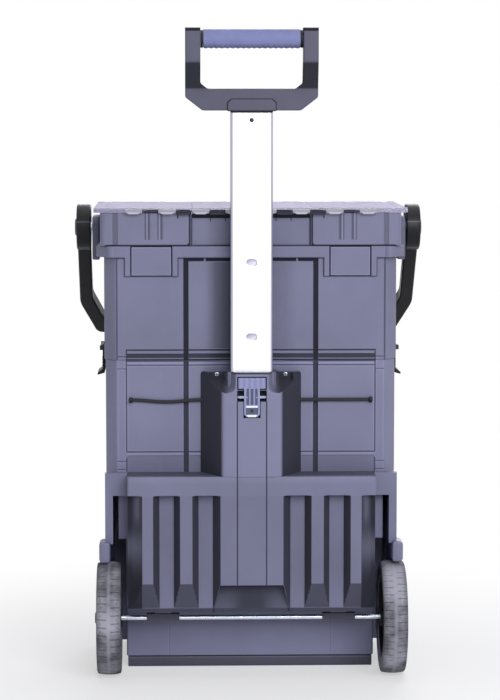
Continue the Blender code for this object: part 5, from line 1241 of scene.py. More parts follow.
def panel_ticks():
    """The grid of the panel's face: fine where edges slant, so that they stay clean."""
    edges = [COLUMN_HALF, COLUMN_HALF + COLUMN_DRAFT, COLUMN_LINE, TUBE_ROOM]
    for low, high in RIBS:
        edges += [low - DRAFT, low, high, high + DRAFT]
    xs = ticks_for(edges, -PANEL_SIDE, PANEL_SIDE, FINE_ROWS, edge=SEAM_EDGE)
    slant = np.arange(COLUMN_HALF, COLUMN_HALF + MOUTH_FLARE + PLAY, SEAM_EDGE)
    heights = [BAND_LOW_Z, RIB_LOW_Z, FLOOR_LOW_Z, COLUMN_LOW_Z, COLUMN_LOW_Z - MOUTH_ROUND]
    zs = ticks_for(heights, PANEL_LOW_Z, PANEL_TOP_Z, 0.006, both=False, edge=SEAM_EDGE)
    fine = np.arange(PANEL_LOW_Z, RIB_LOW_Z + 0.004, FINE_ROWS)
    xs = ticks_of([-PANEL_SIDE, -TUBE_ROOM, TUBE_ROOM, PANEL_SIDE], slant, -slant, xs)
    return xs, ticks_of([PANEL_LOW_Z, PANEL_TOP_Z], zs, fine)


def edge_drop(distance, radius):
    """How far a quarter round of this radius falls at this distance from its edge."""
    missing = np.clip(radius - distance, 0, radius)
    return radius - np.sqrt(radius ** 2 - missing ** 2)


def behind_tube(x, near, far):
    """A back face at far, but at near where the tube passes."""
    return np.where(np.abs(x) < TUBE_ROOM - GAP / 2, near, far)


def make_trolley_panel():
    """The ribbed panel: one height field for its face, and the walls that carry it."""

    def rear(x, z):
        depth, grime = panel_face(x, z)
        lip = np.minimum(PANEL_SIDE - np.abs(x), PANEL_TOP_Z - z)
        return REAR_Y + depth + edge_drop(lip, sizes().edge) * (depth < 0.002), grime

    def front_of(x, z):
        y = np.where(z > COLUMN_LOW_Z, behind_tube(x, PANEL_BEHIND_Y, BACK_Y), BACK_Y)
        # The far face carries dark painted shade
        return y, np.full(x.shape, 0.9)

    top, back, wall = PANEL_TOP_Z, BACK_Y - GAP, GUIDE_WALL
    ledge = block((TUBE_ROOM, back, top - LEDGE_WALL), (PANEL_SIDE, LEDGE_FRONT_Y, top))
    parts = [
        # The ledge's top is painted dark, as painted shade
        ledge.add_shade(0.72),
        block((TUBE_ROOM - GAP, SLEEVE_REAR_Y, COLUMN_LOW_Z + STEP), (SLEEVE_X, SLEEVE_FRONT_Y, top - STEP)),
        block((STRUT_X[0], back, STRUT_LOW_Z), (STRUT_X[1], WALL_FRONT_Y, BAND_LOW_Z - PLAY)),
        block((FOOT_X[0], back, FLOOR_LOW_Z), (FOOT_X[1], WALL_FRONT_Y, FLOOR_LOW_Z + wall)),
        block(*BRACKET),
    ]
    middle = [
        block((-TUBE_ROOM, GUIDE_Y, top - LEDGE_WALL), (TUBE_ROOM, LEDGE_FRONT_Y, top)),
        block((-SLEEVE_X, GUIDE_Y, FLOOR_LOW_Z), (SLEEVE_X, GUIDE_Y + wall, top - STEP)),
    ]
    face = slab(*panel_ticks(), rear, front_of)
    skins = [face, *middle, *both_sides(parts)]
    piece("panel_ribbed", skins, "trolley_panel", sharp=45)


# Upper housing of the pull handle
(_, _, HOUSING_LOW_Z), (_, HOUSING_FRONT_Y, HOUSING_TOP_Z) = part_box("handle_housing")
FACE_HALF = 0.0452
FOOT_HALF = 0.0788
LIP_SHADE = 0.95
LIP_REACH = 0.0030
WING_STEP = 0.0034
WING_BLEND = 0.012
WING_ROUND = 0.0042
WING_REACH = 0.022
POCKET_FLOOR_Y = -0.1305
SCREW_X, _, SCREW_Z = middle_of("housing_screw_right")
POCKET_REACH = (0.0285, 0.0250)
POCKET_POWER = 5
POCKET_START = 0.30
ARRIS = 0.0022
PAD_FRAME = (0.0226, 0.4568, 0.4766)
AXLE_FRAME = (0.0226, 0.4385, 0.4552)
TONGUE_FRAME = (0.0129, 0.4130)
ROCKER_DEPTH = 0.0122
ARRIS_BAND = (-0.0048, -0.0012)
PALE_LINE = (0.0008, 0.0022)
TOP_ROUND = 0.0015
FACE_PITCH = 0.0011
HOUSING_BEHIND_Y = -0.1608
SLEEVE_SIDE = (0.0375, -0.134)


def screw_pocket(across, z):
    """The depth of the funnel over each screw.

    Its share, 0 at the screw and 1 at its lip, is the fifth-power mean of the distances across and
    along, so the funnel is a rounded square, and its wall rises evenly to the rear plane.
    """
    from_x = np.abs(across - SCREW_X) / POCKET_REACH[0]
    from_z = np.clip(SCREW_Z - z, 0, None) / POCKET_REACH[1]
    share = (from_x ** POCKET_POWER + from_z ** POCKET_POWER) ** (1 / POCKET_POWER)
    wall = np.clip((share - POCKET_START) / (1 - POCKET_START), 0, None)
    return POCKET_FLOOR_Y + (REAR_Y - POCKET_FLOOR_Y) * wall


def housing_face(x, z):
    """The housing's rear face and its painted shade: a flat face with rounded arrises, hollow flanks, two
    funnels, and the recess of the rocker."""
    across = np.abs(x)
    beyond = across - FACE_HALF
    slope = (HOUSING_FRONT_Y - GAP - REAR_Y) / (FOOT_HALF - FACE_HALF)
    flank = slope * (beyond + np.sqrt(beyond ** 2 + ARRIS ** 2)) / 2
    y = np.minimum(REAR_Y + flank, HOUSING_FRONT_Y - GAP)
    # Painted shade on the flanks, and a painted highlight along each arris
    grime = 0.92 * smooth_step((beyond - 0.0004) / 0.003) - 0.85 * within(beyond, *ARRIS_BAND, 0.0016)
    funnel = screw_pocket(across, z)
    inside = funnel > y
    y = np.maximum(y, funnel)
    # Painted shade in the funnels; the face is painted paler, as painted light
    grime = np.where(inside, 0.95 * smooth_step((across - 0.025) / 0.021), grime - 0.30 * (beyond < 0))
    hole = patch(across, z, -1, *PAD_FRAME, FINE)
    hole = np.maximum(hole, patch(across, z, -1, *AXLE_FRAME, FINE))
    hole = np.maximum(hole, patch(across, z, -1, *TONGUE_FRAME, PAD_FRAME[1], FINE))
    line = line_beside(across, z, -LINE_HALF, LINE_HALF, LINE_SOFT)
    pale = line_beside(across, z, *PALE_LINE, FINE) * (1 - inside)
    y = y + hole * ROCKER_DEPTH + line * LINE_DEPTH + edge_drop(HOUSING_TOP_Z - z, TOP_ROUND)
    grime = np.maximum(grime - 0.25 * pale, line * 1.2 - 0.2)
    lip = smooth_step((z - HOUSING_TOP_Z + LIP_REACH) / BLEND)
    grime = grime + (LIP_SHADE - grime) * lip
    return y, np.where(hole > 0.1, 0.97, grime)


def line_beside(across, z, low, high, soft):
    """A line along the column, below the rocker's axle, between these distances from its own line."""
    return within(across, COLUMN_LINE + low, COLUMN_LINE + high, soft) * (z < AXLE_FRAME[1])


def wing_drop(x, z):
    """Lowers the top of the wings beside the tube, most at their rounded outer corners.

    The drop is a smooth step plus a quarter round at the outer edge, and it fades out downwards.
    """
    across = np.abs(x)
    drop = WING_STEP * smooth_step((across - TUBE_ROOM) / WING_BLEND)
    drop = drop + edge_drop(FOOT_HALF - across, WING_ROUND)
    share = smooth_step((z - HOUSING_TOP_Z + WING_REACH) / WING_REACH)
    return x, z - drop * share


def make_handle_housing():
    """The housing: its carved face and the guide round the tube."""
    marks = [FACE_HALF, FACE_HALF + 0.003, FOOT_HALF, PAD_FRAME[0], TONGUE_FRAME[0], COLUMN_LINE, TUBE_ROOM]
    xs = ticks_for(marks, -FOOT_HALF, FOOT_HALF, FACE_PITCH, edge=FINE)
    xs = ticks_of([-FOOT_HALF, -TUBE_ROOM, TUBE_ROOM, FOOT_HALF], xs)
    heights = [*PAD_FRAME[1:], *AXLE_FRAME[1:], TONGUE_FRAME[1]]
    upper = np.arange(SCREW_Z - POCKET_REACH[1] - 0.004, HOUSING_TOP_Z, FACE_PITCH)
    zs = ticks_for(heights, HOUSING_LOW_Z, HOUSING_TOP_Z, 0.004, both=False, edge=FINE)
    zs = ticks_of([HOUSING_LOW_Z, HOUSING_TOP_Z], zs, upper)
    body = slab(xs, zs, housing_face, lambda x, z: behind_tube(x, HOUSING_BEHIND_Y, HOUSING_FRONT_Y),
                warp=wing_drop)
    guide = block((-TUBE_ROOM, GUIDE_Y, HOUSING_LOW_Z), (TUBE_ROOM, HOUSING_FRONT_Y, HOUSING_TOP_Z))
    # The sleeve's walls are painted darker, as painted shade
    wall = block((TUBE_ROOM - GAP, SLEEVE_REAR_Y, HOUSING_LOW_Z + GAP),
                 (*SLEEVE_SIDE, HOUSING_TOP_Z - GAP)).add_shade(0.38)
    piece("housing_shell", [body, guide, *both_sides([wall])], "handle_housing", sharp=45)


# Lock of the pull handle
SCREW_PROFILE_SHARES = (
    (1, 0), (1, 0.5), (0.97, 0.75), (0.88, 0.93), (0.7, 1), (0.5, 1), (0.3, 1), (0.12, 1), (0.02, 1),
)
SLOT_WIDTH_SHARE, SLOT_LENGTH_SHARE = 0.14, 0.58
PAD = (0.0213, 0.4581, 0.4752)
PAD_GRID, TONGUE_GRID = (121, 41), (81, 121)
PAD_WAVES = 5
WAVE_DEPTH = 0.0005
ROCKER_ROUND = 0.0009
_, ROCKER_FACE_Y, ROCKER_LOW_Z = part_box("lock_rocker")[0]
TONGUE = (0.0122, ROCKER_LOW_Z)
TONGUE_TAPER = 0.0042
TONGUE_RIM = (0.0106, 0.0124)
GROOVES_X = (0.0020, 0.0049, 0.0084)
GROOVES_LOW_Z = 0.4330
GROOVE_CUT = 0.0012
HOLLOW = (0.0090, 0.0042, 0.4283)
HOLLOW_CUT = 0.0018
DOT_Z = 0.4236
DOT_SIZE = (0.0016, 0.0018)
UPPER_BAR_Z = (0.4286, 0.4316)
LOWER_BAR = 0.0038
BAR_HALF = 0.0088
ROCKER_WALL = 0.0042
ROCKER_AXIS = (-0.171, 0.4448)
BARREL_START = 0.0064
BARREL_SHORT = 0.0004
BARREL_RADIUS = 0.0022
BARREL_EDGE = 0.0005


def screw_head(node, seat_y):
    """A pan head seen along Y: a turned cap whose middle two crossing bars sink in, with painted shade in
    them.
    """
    low, high = node_box(node)
    middle = (low + high) / 2
    radius, height = (high[0] - low[0]) / 2, seat_y - low[1]
    shares = np.array(SCREW_PROFILE_SHARES)
    ring = around(48)
    u = radius * shares[:, :1] * np.cos(ring)
    v = radius * shares[:, :1] * np.sin(ring)
    half, reach, soft = radius * SLOT_WIDTH_SHARE, radius * SLOT_LENGTH_SHARE, radius / 10
    cross = np.maximum(within(u, -half, half, soft) * (np.abs(v) < reach),
                       within(v, -half, half, soft) * (np.abs(u) < reach))
    y = seat_y - height * (shares[:, 1:] - 0.6 * cross)
    return skin_of(np.stack([middle[0] + u, y, middle[2] + v], -1), cross * 0.9)


def disc(node, radius, near, far):
    """A round plate across Y about a piece's middle."""
    x, _, z = middle_of(node)
    rows = end_rows(near, far, SEAM_EDGE / 3)
    ring = around(40)
    reach = radius - rows[:, :1]
    along = np.repeat(rows[:, 1:], ring.shape[1], 1)
    return skin_of(np.stack([x + reach * np.cos(ring), along, z + reach * np.sin(ring)], -1)).flipped()


def pad_face(x, z):
    """The thumb pad: five shallow waves across it and a rounded border, with painted shade in the troughs and
    a painted highlight along the border.
    """
    lip = np.minimum(PAD[0] - np.abs(x), np.minimum(z - PAD[1], PAD[2] - z))
    wave = 0.5 + 0.5 * np.cos(x / PAD[0] * math.pi * PAD_WAVES)
    y = ROCKER_FACE_Y + WAVE_DEPTH * (1 - wave) + edge_drop(np.clip(lip, 0, None), ROCKER_ROUND)
    return y, (1 - wave) * 0.20 - 0.10 * (lip < 0.0014)


def tongue_face(x, z):
    """The tongue: three grooves above, and a pale bar, a dark hollow and a pale bar below: painted shade in
    the grooves and the hollow, painted highlights on the bars.
    """
    across = np.abs(x)
    low = TONGUE[1]
    grooves = within(across, -1, GROOVES_X[0], FINE) + within(across, *GROOVES_X[1:], FINE)
    grooves = grooves * within(z, GROOVES_LOW_Z, PAD[1] + PLAY, FINE)
    hollow = patch(across, z, -1, HOLLOW[0], low + HOLLOW[1], HOLLOW[2], FINE)
    dot = np.exp(-((across / DOT_SIZE[0]) ** 2 + ((z - DOT_Z) / DOT_SIZE[1]) ** 2))
    bars = within(z, *UPPER_BAR_Z, FINE) + within(z, low, low + LOWER_BAR, FINE)
    bars = bars * within(across, -1, BAR_HALF, FINE)
    rim = within(across, *TONGUE_RIM, FINE)
    lip = np.minimum(TONGUE[0] - across, z - low)
    round_off = edge_drop(np.clip(lip, 0, None), ROCKER_ROUND)
    y = ROCKER_FACE_Y + GAP + GROOVE_CUT * grooves + HOLLOW_CUT * hollow + round_off
    dark = np.clip(grooves * 0.74 + hollow * 0.70 + dot, 0, 1)
    return y, dark - (bars + 0.14 * rim) * (1 - dark)


def make_handle_lock():
    """The rocker with its ribbed pad and grooved tongue, its pin and the screws."""
    back = ROCKER_FACE_Y + ROCKER_WALL
    columns, rows = PAD_GRID
    pad = slab(np.linspace(-PAD[0], PAD[0], columns), np.linspace(*PAD[1:], rows), pad_face, back)

    def taper(x, z):
        cut = np.clip(TONGUE[1] + TONGUE_TAPER - z, 0, None)
        return x * (1 - cut / TONGUE[0]), z

    columns, rows = TONGUE_GRID
    heights = np.linspace(TONGUE[1], PAD[1] + STEP, rows)
    tongue = slab(np.linspace(-TONGUE[0], TONGUE[0], columns), heights, tongue_face, back - GAP, warp=taper)
    axis_y, axis_z = ROCKER_AXIS
    barrel = rod(BARREL_START, PAD[0] - BARREL_SHORT, BARREL_RADIUS, axis_y - STEP, axis_z, BARREL_EDGE)
    # The barrel is painted paler, as a painted highlight
    skins = [pad, tongue, *both_sides([barrel.add_shade(-0.22)])]
    piece("rocker", skins, "lock_rocker", "rocker", "lock", sharp=45)
    low, high = node_box("lock_pin")
    bolt = disc("lock_pin", high[0], low[1], high[1])
    piece("bolt_pin", [bolt], "lock_pin", "steel", "lock")
    for side, _ in SIDES:
        node = "housing_screw_" + side
        # Painted shade on the screw heads
        screw = screw_head(node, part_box(node)[1][1]).add_shade(0.35)
        piece("screw_" + side, [screw], node, "steel")
    for node in ("rocker_pin", "lock_spring"):
        dress(node, "steel")


# Telescopic tube
SLOTS_Z = (0.4215, 0.5369, 0.6523)
SLOT_HALF = (0.0082, 0.0053)
TUBE_CORNER = 0.0044
WASHER_RADIUS = 0.0035
SLOT_DEPTH = 0.0050
TUBE_MARK_X = 0.02


def slot_reach(u, height, z):
    """Distance from the middle line of a round-ended slot."""
    straight = SLOT_HALF[0] - SLOT_HALF[1]
    return np.hypot(np.clip(np.abs(u) - straight, 0, None), height - z)


def tube_relief(u, _, normal, height):
    """Round-ended slots in the back, with painted shade inside and a painted shadow along their upper edge,
    and painted shade on the rounded corners.
    """
    flat = normal[..., 1] < -FLAT
    depth = np.zeros(np.broadcast(u, height).shape)
    grime = np.zeros_like(depth)
    for z in SLOTS_Z:
        inside = smooth_step((SLOT_HALF[1] - slot_reach(u, height, z)) / SEAM_EDGE + 0.5)
        upper = np.clip((height - z) / SLOT_HALF[1] * 0.7 - u / SLOT_HALF[0] * 0.5, -0.4, 1)
        depth = np.maximum(depth, inside)
        grime = np.maximum(grime, inside * (0.66 + 0.40 * upper))
    corner = smooth_step(np.abs(normal[..., 0]) / 0.30)
    return depth * SLOT_DEPTH * flat, grime * flat + 0.80 * corner


def make_pull_tube():
    """The tube: a rounded flat section drawn along Z, with three round-ended slots."""
    low, high = node_box("pull_tube")
    marks = np.concatenate([np.linspace(0, SLOT_HALF[0] + PLAY, 22), [TUBE_MARK_X]])
    near_slot = np.linspace(-SLOT_HALF[1] - PLAY, SLOT_HALF[1] + PLAY, 25)
    ticks_z = ticks_of(np.add.outer(SLOTS_Z, near_slot).reshape(-1), np.linspace(low[2], high[2], 12),
                       digits=6)
    plan = plan_of(rectangle(*low[:2], *high[:2]), TUBE_CORNER, 6, np.unique([marks, -marks]))
    tube = shell(plan, end_rows(low[2], high[2], SEAM_EDGE, ticks=ticks_z), relief=tube_relief)
    piece("tube_body", [tube], "pull_tube", "aluminium", "pull_handle", sharp=50)
    # The washer is painted dark, as painted shade
    washer = disc("tube_screw", WASHER_RADIUS, low[1] - GAP, low[1] + GAP).add_shade(0.6)
    head = screw_head("tube_screw", low[1] - GAP)
    piece("tube_screw_head", [head, washer], "tube_screw", "dark", "pull_handle")
    dress("tube_foot", "black")


# Head and grip
HEAD_HALF, _, HEAD_TOP_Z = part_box("handle_head")[1]
HEAD_INNER = 0.0789
HEAD_BOTTOM_Z = 0.887
HEAD_OPENING_Z = 0.9206
HEAD_REAR_Y = -0.1635
HEAD_DEPTH = 0.029
LEG_STEP = 0.0138
SLANT_Z = (0.9215, 0.9610)
BOSS_TOP_Z = 0.9044
BOSS_HALF = 0.0372
BOSS_PROUD = 0.0022
BOSS_CUT = 0.006
BOSS_CORNER = 0.0025
BORDER_RISE = 0.0004
NECK_RISE = 0.004
BEND_RISE = 0.0084
HEAD_CUT = (0.0265, 0.0205)
OPENING_INSETS = (0.0108, 0.0190, 0.0340)
HEAD_ROUND = 0.0030
HEAD_EDGE = 0.0022
SHADE_BLEND = 0.003
CAP_PROUD = 0.0002
CAP_HEIGHT = 0.0058
CAP_EDGE = 0.0014
GRIP_EDGE = 0.0014
SCALLOP_DEPTH = 0.0010
SLANT_SOFT = 0.05
BORDER_SHARE = 1.03
HEAD_STATIONS = 60


def head_shift(z):
    """The legs step back towards the user between the slant's lower and upper ends.

    The step is the difference of two soft ramps, each the root of share squared and soft squared.
    """
    share = (z - SLANT_Z[0]) / (SLANT_Z[1] - SLANT_Z[0])
    bend, end = (np.hypot(share - place, SLANT_SOFT) for place in (0, 1))
    return -LEG_STEP * (bend - end + 1) / 2


def head_shade(z):
    """Painted shade on the slanted part of each leg, the darkest."""
    return 0.86 * within(z, SLANT_Z[0] - PLAY, SLANT_Z[1], SHADE_BLEND)


def edge_line(corners, radius, steps, stations):
    """An open line through corners with rounded bends and evenly spread points on each stretch."""
    corners = np.asarray(corners, float)
    line = [corners[:1]]
    for i in range(1, len(corners) - 1):
        to_before = corners[i - 1] - corners[i]
        to_after = corners[i + 1] - corners[i]
        before = corners[i] + to_before / np.linalg.norm(to_before) * radius
        after = corners[i] + to_after / np.linalg.norm(to_after) * radius
        t = np.linspace(0, 1, steps)[:, None]
        bend = (1 - t) ** 2 * before + 2 * t * (1 - t) * corners[i] + t ** 2 * after
        share = np.linspace(0, 1, stations, endpoint=False)[1:, None]
        line += [line[-1][-1:] * (1 - share) + before * share, bend]
    share = np.linspace(0, 1, stations + 1)[1:, None]
    line.append(line[-1][-1:] * (1 - share) + corners[-1] * share)
    return np.concatenate(line)


def cup_line(side, radius, stations):
    """The edge line of a U from the corners (half width, height) of one side, from its top."""
    left = [(-x, z) for x, z in side]
    return edge_line(left + side[::-1], radius, 6, stations)


def make_handle_head():
    """The head: a U-shaped bar between an outer and an inner edge line, with the boss below."""
    half, inner_half, opening = HEAD_HALF, HEAD_INNER, HEAD_OPENING_Z
    outer = cup_line([
        (half, HEAD_TOP_Z), (half, opening + BEND_RISE), (half, opening),
        (half, HEAD_BOTTOM_Z + HEAD_CUT[1]), (half - HEAD_CUT[0], HEAD_BOTTOM_Z),
    ], HEAD_ROUND, HEAD_STATIONS)
    inner = cup_line([
        (inner_half, HEAD_TOP_Z), (inner_half, opening + BEND_RISE),
        *[(inner_half - inset, opening) for inset in OPENING_INSETS],
    ], HEAD_ROUND, HEAD_STATIONS)
    front = HEAD_REAR_Y + HEAD_DEPTH
    frame_bar = ribbon(outer, inner, HEAD_REAR_Y, front, HEAD_EDGE, head_shift, 4, head_shade)
    boss_corners = cut_corners(BOSS_HALF, HEAD_BOTTOM_Z, BOSS_TOP_Z, BOSS_CUT, BOSS_CUT)
    border = [(x * BORDER_SHARE, z + math.copysign(PLAY, z - HEAD_BOTTOM_Z - GAP)) for x, z in boss_corners]
    boss = pillar(boss_corners, HEAD_REAR_Y - BOSS_PROUD, front - PLAY, THIN, "Y", BOSS_CORNER)
    shadow = pillar(border, HEAD_REAR_Y - BORDER_RISE, HEAD_REAR_Y + STEP, FINE_EDGE, "Y", BOSS_CORNER)
    low, high = node_box("pull_tube")
    neck = block((low[0], low[1] + GAP, high[2] + GAP), (high[0], high[1] - GAP, HEAD_BOTTOM_Z + NECK_RISE),
                 THIN)
    shift = HEAD_REAR_Y - LEG_STEP
    cap = block((inner_half, shift - CAP_PROUD, HEAD_TOP_Z - CAP_HEIGHT),
                (half, shift + HEAD_DEPTH, HEAD_TOP_Z), CAP_EDGE)
    # Painted shade on the boss's shadow, the neck and the caps
    skins = [frame_bar, boss, shadow.add_shade(0.9), neck.add_shade(0.7), *both_sides([cap.add_shade(0.92)])]
    piece("head_frame", skins, "handle_head", "head", "pull_handle")


def make_handle_grip():
    """The grip: radius less a scallop, which fades out round the upper half.

    r = R - d (0.5 - 0.5 cos(2 pi n x / L)) m(a), with m from 0 on top to 1 underneath.
    """
    low, high = node_box("handle_grip")
    radius, reach = (high[2] - low[2]) / 2, high[0]

    def shape(base, along, angle):
        wave = 0.5 + 0.5 * np.cos(math.pi * sizes().ribs * (along + reach) / reach)
        scallop = wave * smooth_step((-0.55 - np.sin(angle)) / 0.4)
        below = smooth_step((-0.35 - np.sin(angle)) / 0.6)
        # Painted shade in the scallops and on the underside
        return base - SCALLOP_DEPTH * scallop, scallop * 0.12 + 0.34 * below

    rows = end_rows(-reach, reach, GRIP_EDGE, ticks=np.linspace(-reach, reach, 361))
    profile = np.stack([radius - rows[:, 0], rows[:, 1]], 1)
    sleeve = turned(profile, (0, *middle_of("handle_grip")[1:]), 64, shape)
    piece("grip_sleeve", [sleeve], "handle_grip", "grip", "pull_handle")
    for side, _ in SIDES:
        node = "grip_collar_" + side
        piece("collar_" + side, [rod_for(node, SEAM_EDGE, 48)], node, "black", "pull_handle")


# Carry bail
BAIL_AXIS = (0, 0.031, 0.699)
BAIL_REST = 46
BAIL_REACH = 0.2339
BAIL_HALF_DEPTH = 0.012
BAIL_OUTER = 0.2758
BAIL_INNER = 0.2545
BAIL_ROUNDS = (0.0028, 0.0028, 0.0040, 0.0094)
HUB_RADIUS = 0.037
HUB_BORE = 0.0078
HUB_STEPS = (0.0172, 0.0180, 0.0255, 0.0262)
HUB_ROUND = 0.0015
HUB_BEVEL = 0.003
DISH_DEPTH = 0.0014
BORE_LIP = 0.0002
HUB_LINES = ((0.0090, 0.0106), (-0.0335, -0.0318))
OUTER_CUTS = (0.074, 0.027, 0.010)
INNER_CUTS = (0.062, 0.0213, 0.008)
CAP_ROUND = 0.0004
HUB_BACK = 0.2537
HUB_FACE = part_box("carry_bail")[1][0]


def bail_line(half, drop, long_cut, short_cut, radius):
    """One edge line of the bail, hanging from the axis."""
    corners = [(-half, 0), (-half, long_cut - drop), (-half + short_cut, -drop), (half - short_cut, -drop),
               (half, long_cut - drop), (half, 0)]
    return edge_line(corners, radius, 8, 12)


def make_bail_hub():
    """A hub: a turned ring with a stepped face."""
    face, back, bore = HUB_FACE, HUB_BACK, HUB_BORE
    boss, dish_start, dish_end, rim = HUB_STEPS
    profile = [
        (bore, back), (HUB_RADIUS - HUB_ROUND, back), (HUB_RADIUS, back + HUB_ROUND),
        (HUB_RADIUS, face - HUB_BEVEL), (HUB_RADIUS - PLAY, face - PLAY), (HUB_RADIUS - HUB_BEVEL, face),
        (rim, face), (dish_end, face - DISH_DEPTH), (dish_start, face - DISH_DEPTH), (boss, face - GAP),
        (bore, face - GAP), (bore - BORE_LIP, face - STEP), (bore - BORE_LIP, back + PLAY),
    ]

    def shape(radius, along, angle):
        height = radius * np.sin(angle)
        behind = (np.cos(angle) < 0) * (radius > HUB_RADIUS - STEP)
        upper, lower = (within(height, *span, FINE) for span in HUB_LINES)
        # Painted highlights along two lines on the hub's back
        return radius, -(upper + 0.6 * lower) * behind

    return turned(profile, (0, *BAIL_AXIS[1:]), 240, shape, loop=True)


def make_carry_bail():
    """The bail: a bar between two edge lines in its own plane, turned to its rest, with hubs."""
    end, bar = BAIL_REACH + BAIL_HALF_DEPTH, BAIL_REACH - BAIL_HALF_DEPTH
    outer = bail_line(BAIL_OUTER, end, *OUTER_CUTS)
    inner = bail_line(BAIL_INNER, bar, *INNER_CUTS)
    arm = ribbon(outer, inner, -BAIL_HALF_DEPTH, BAIL_HALF_DEPTH, BAIL_ROUNDS, None, 6)
    angle = math.radians(90 - BAIL_REST)
    cos, sin = math.cos(angle), math.sin(angle)
    turn = np.array([[1, 0, 0], [0, cos, -sin], [0, sin, cos]])
    arm = arm.moved_to(arm.points @ turn.T + BAIL_AXIS)
    piece("bail_bar", [arm, *both_sides([make_bail_hub()])], "carry_bail", "black", "bail", sharp=40)
    for side, _ in SIDES:
        softened("bail_button_" + side, "bail_cap_" + side, "dark", "bail", CAP_ROUND)
        dress("bail_pin_" + side, "steel")


# Organisers
TRAY_LOW_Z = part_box("organiser_right")[0][2]
TRAY_TOP_Z = 0.728
TRAY_FRONT_Y = 0.168
TRAY_REAR_Y = -0.119
TRAY_WALL = 0.0025
SIDE_TRAY = (0.0935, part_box("organiser_right")[1][0])
TRAY_LINE_X = 0.0964
CENTRE_TRAY = (0.0932, -0.113, 0.7215)
BEADS_X = (0.1425, 0.1622)
BEAD_LOW_Z = 0.6862
TRAY_BEVEL = (0.2079, 0.2157)
TRAY_CORNER = 0.0055
TRAY_CORNERS = (0.0012, 0.009, 0.009, 0.004)
SMALL_CORNER = 0.003
TRAY_PITCH = 0.0012
TRAY_SLIT_X = 0.1140
TRAY_SLIT_LOW_Z = 0.7190
SLIT_HALF = 0.0006
SLIT_HEIGHT = 0.0070
BEAD_HALF = 0.0011
BEAD_SOFT = 0.0010
BEAD_RISE = 0.0006
FLANKS = (0.0050, 0.0034, 0.0022)
BEVEL_DEPTH = 0.0008
BORDER_DEPTH = 0.0016
TROUGH_DEPTH = 0.0012
SADDLE_HALF = 0.01165
SADDLE_FOOT = (-0.1269, 0.7252)
SADDLE_EDGE = 0.0007
RAIL_Y = (-0.1186, -0.1166)
CENTRE_SLITS_X = (0.0393, 0.0628)
RAIL_TOP_Z = 0.7325
HINGE_PITCH = 0.0523


def bead(across, height, low):
    """A vertical bead: a raised crest with a painted highlight on top, between two flanks of painted shade.
    """
    crest, flanks = 0, 0
    run = within(height, low, TRAY_TOP_Z + PLAY)
    for x in BEADS_X:
        crest = crest + within(across, x - BEAD_HALF, x + BEAD_HALF, BEAD_SOFT) * run
        flanks = flanks + within(across, x - FLANKS[0], x + FLANKS[1], FLANKS[2]) * run
    return crest, np.clip(flanks - crest, 0, 1)


def tray_border(across, height):
    """The painted shade along the tray's lower and inner edge, round its lower corner.

    The distance is that inside a rectangle whose lower inner corner is an arc.
    """
    in_x, in_z = across - TRAY_LINE_X, height - TRAY_LOW_Z - THIN
    from_x, from_z = np.clip(TRAY_CORNER - in_x, 0, None), np.clip(TRAY_CORNER - in_z, 0, None)
    round_off = TRAY_CORNER - np.hypot(from_x, from_z)
    return smooth_step((0.0002 - np.minimum(round_off, np.minimum(in_x, in_z))) / FINE + 0.5)


def tray_relief(u, _, normal, height):
    """The side tray's back wall: beads, a stepped bevel, a hinge slit and the dark border, each with painted
    shade.
    """
    flat = normal[..., 1] < -FLAT
    across, top = np.abs(u), TRAY_TOP_Z + PLAY
    depth, dark = carve(u, height, [
        (*TRAY_BEVEL, TRAY_LOW_Z + PLAY, top, BEVEL_DEPTH, 0.45),
        (TRAY_SLIT_X - SLIT_HALF, TRAY_SLIT_X + SLIT_HALF, TRAY_SLIT_LOW_Z, top, PLAY, 1.0),
    ])
    crest, flanks = bead(across, height, BEAD_LOW_Z)
    border = tray_border(across, height)
    depth = depth - crest * BEAD_RISE + border * BORDER_DEPTH
    dark = np.maximum(dark, flanks * 0.62) - crest * 0.42
    return depth * flat, np.where(border > 0.2, border, dark) * flat


def centre_relief(u, _, normal, height):
    """The centre tray's back wall: a shallow trough with a painted shadow near the tube, and two hinge slits.
    """
    flat = normal[..., 1] < -FLAT
    half, _, top = CENTRE_TRAY
    slits = [(x - SLIT_HALF, x + SLIT_HALF, top - SLIT_HEIGHT, top + PLAY, PLAY, 1.0) for x in CENTRE_SLITS_X]
    depth, dark = carve(u, height, slits)
    # A line of painted shade along the tray's foot
    base = within(height, TRAY_LOW_Z - PLAY, TRAY_LOW_Z + PLAY, FINE)
    dark = np.maximum(dark, 0.85 * base) + shade_by_tube(u, dark, 0.078, 0.24)
    return (depth + channel(u, half - 0.004, TROUGH_DEPTH)) * flat, dark * flat


def hinge_saddle(x, wall_y):
    """A clip that holds the hinge pin: a bridge from the wall under the pin."""
    low, _ = node_box("cover_hinge_pin")
    top = (x + SADDLE_HALF, wall_y + PLAY, low[2] - GAP)
    # The saddle is painted dark, as painted shade
    return block((x - SADDLE_HALF, *SADDLE_FOOT), top, SADDLE_EDGE).add_shade(0.9)


def hinge_rail(low, high):
    """A rail behind the pin, on the trays' back walls, painted black as the shade there."""
    return block(low, high, FINE_EDGE).add_shade(1.0)


def open_tray(corners, top, radius, steps, ticks_x, ticks_z, relief):
    """An open vessel from the trays' foot to its top, over a rectangle with rounded corners."""
    plan = plan_of(rectangle(*corners), radius, steps, ticks_x)
    floor = TRAY_LOW_Z + TRAY_WALL
    return vessel(plan, (TRAY_LOW_Z, top), (PLAY, PLAY), ticks_z, TRAY_WALL, floor, relief)


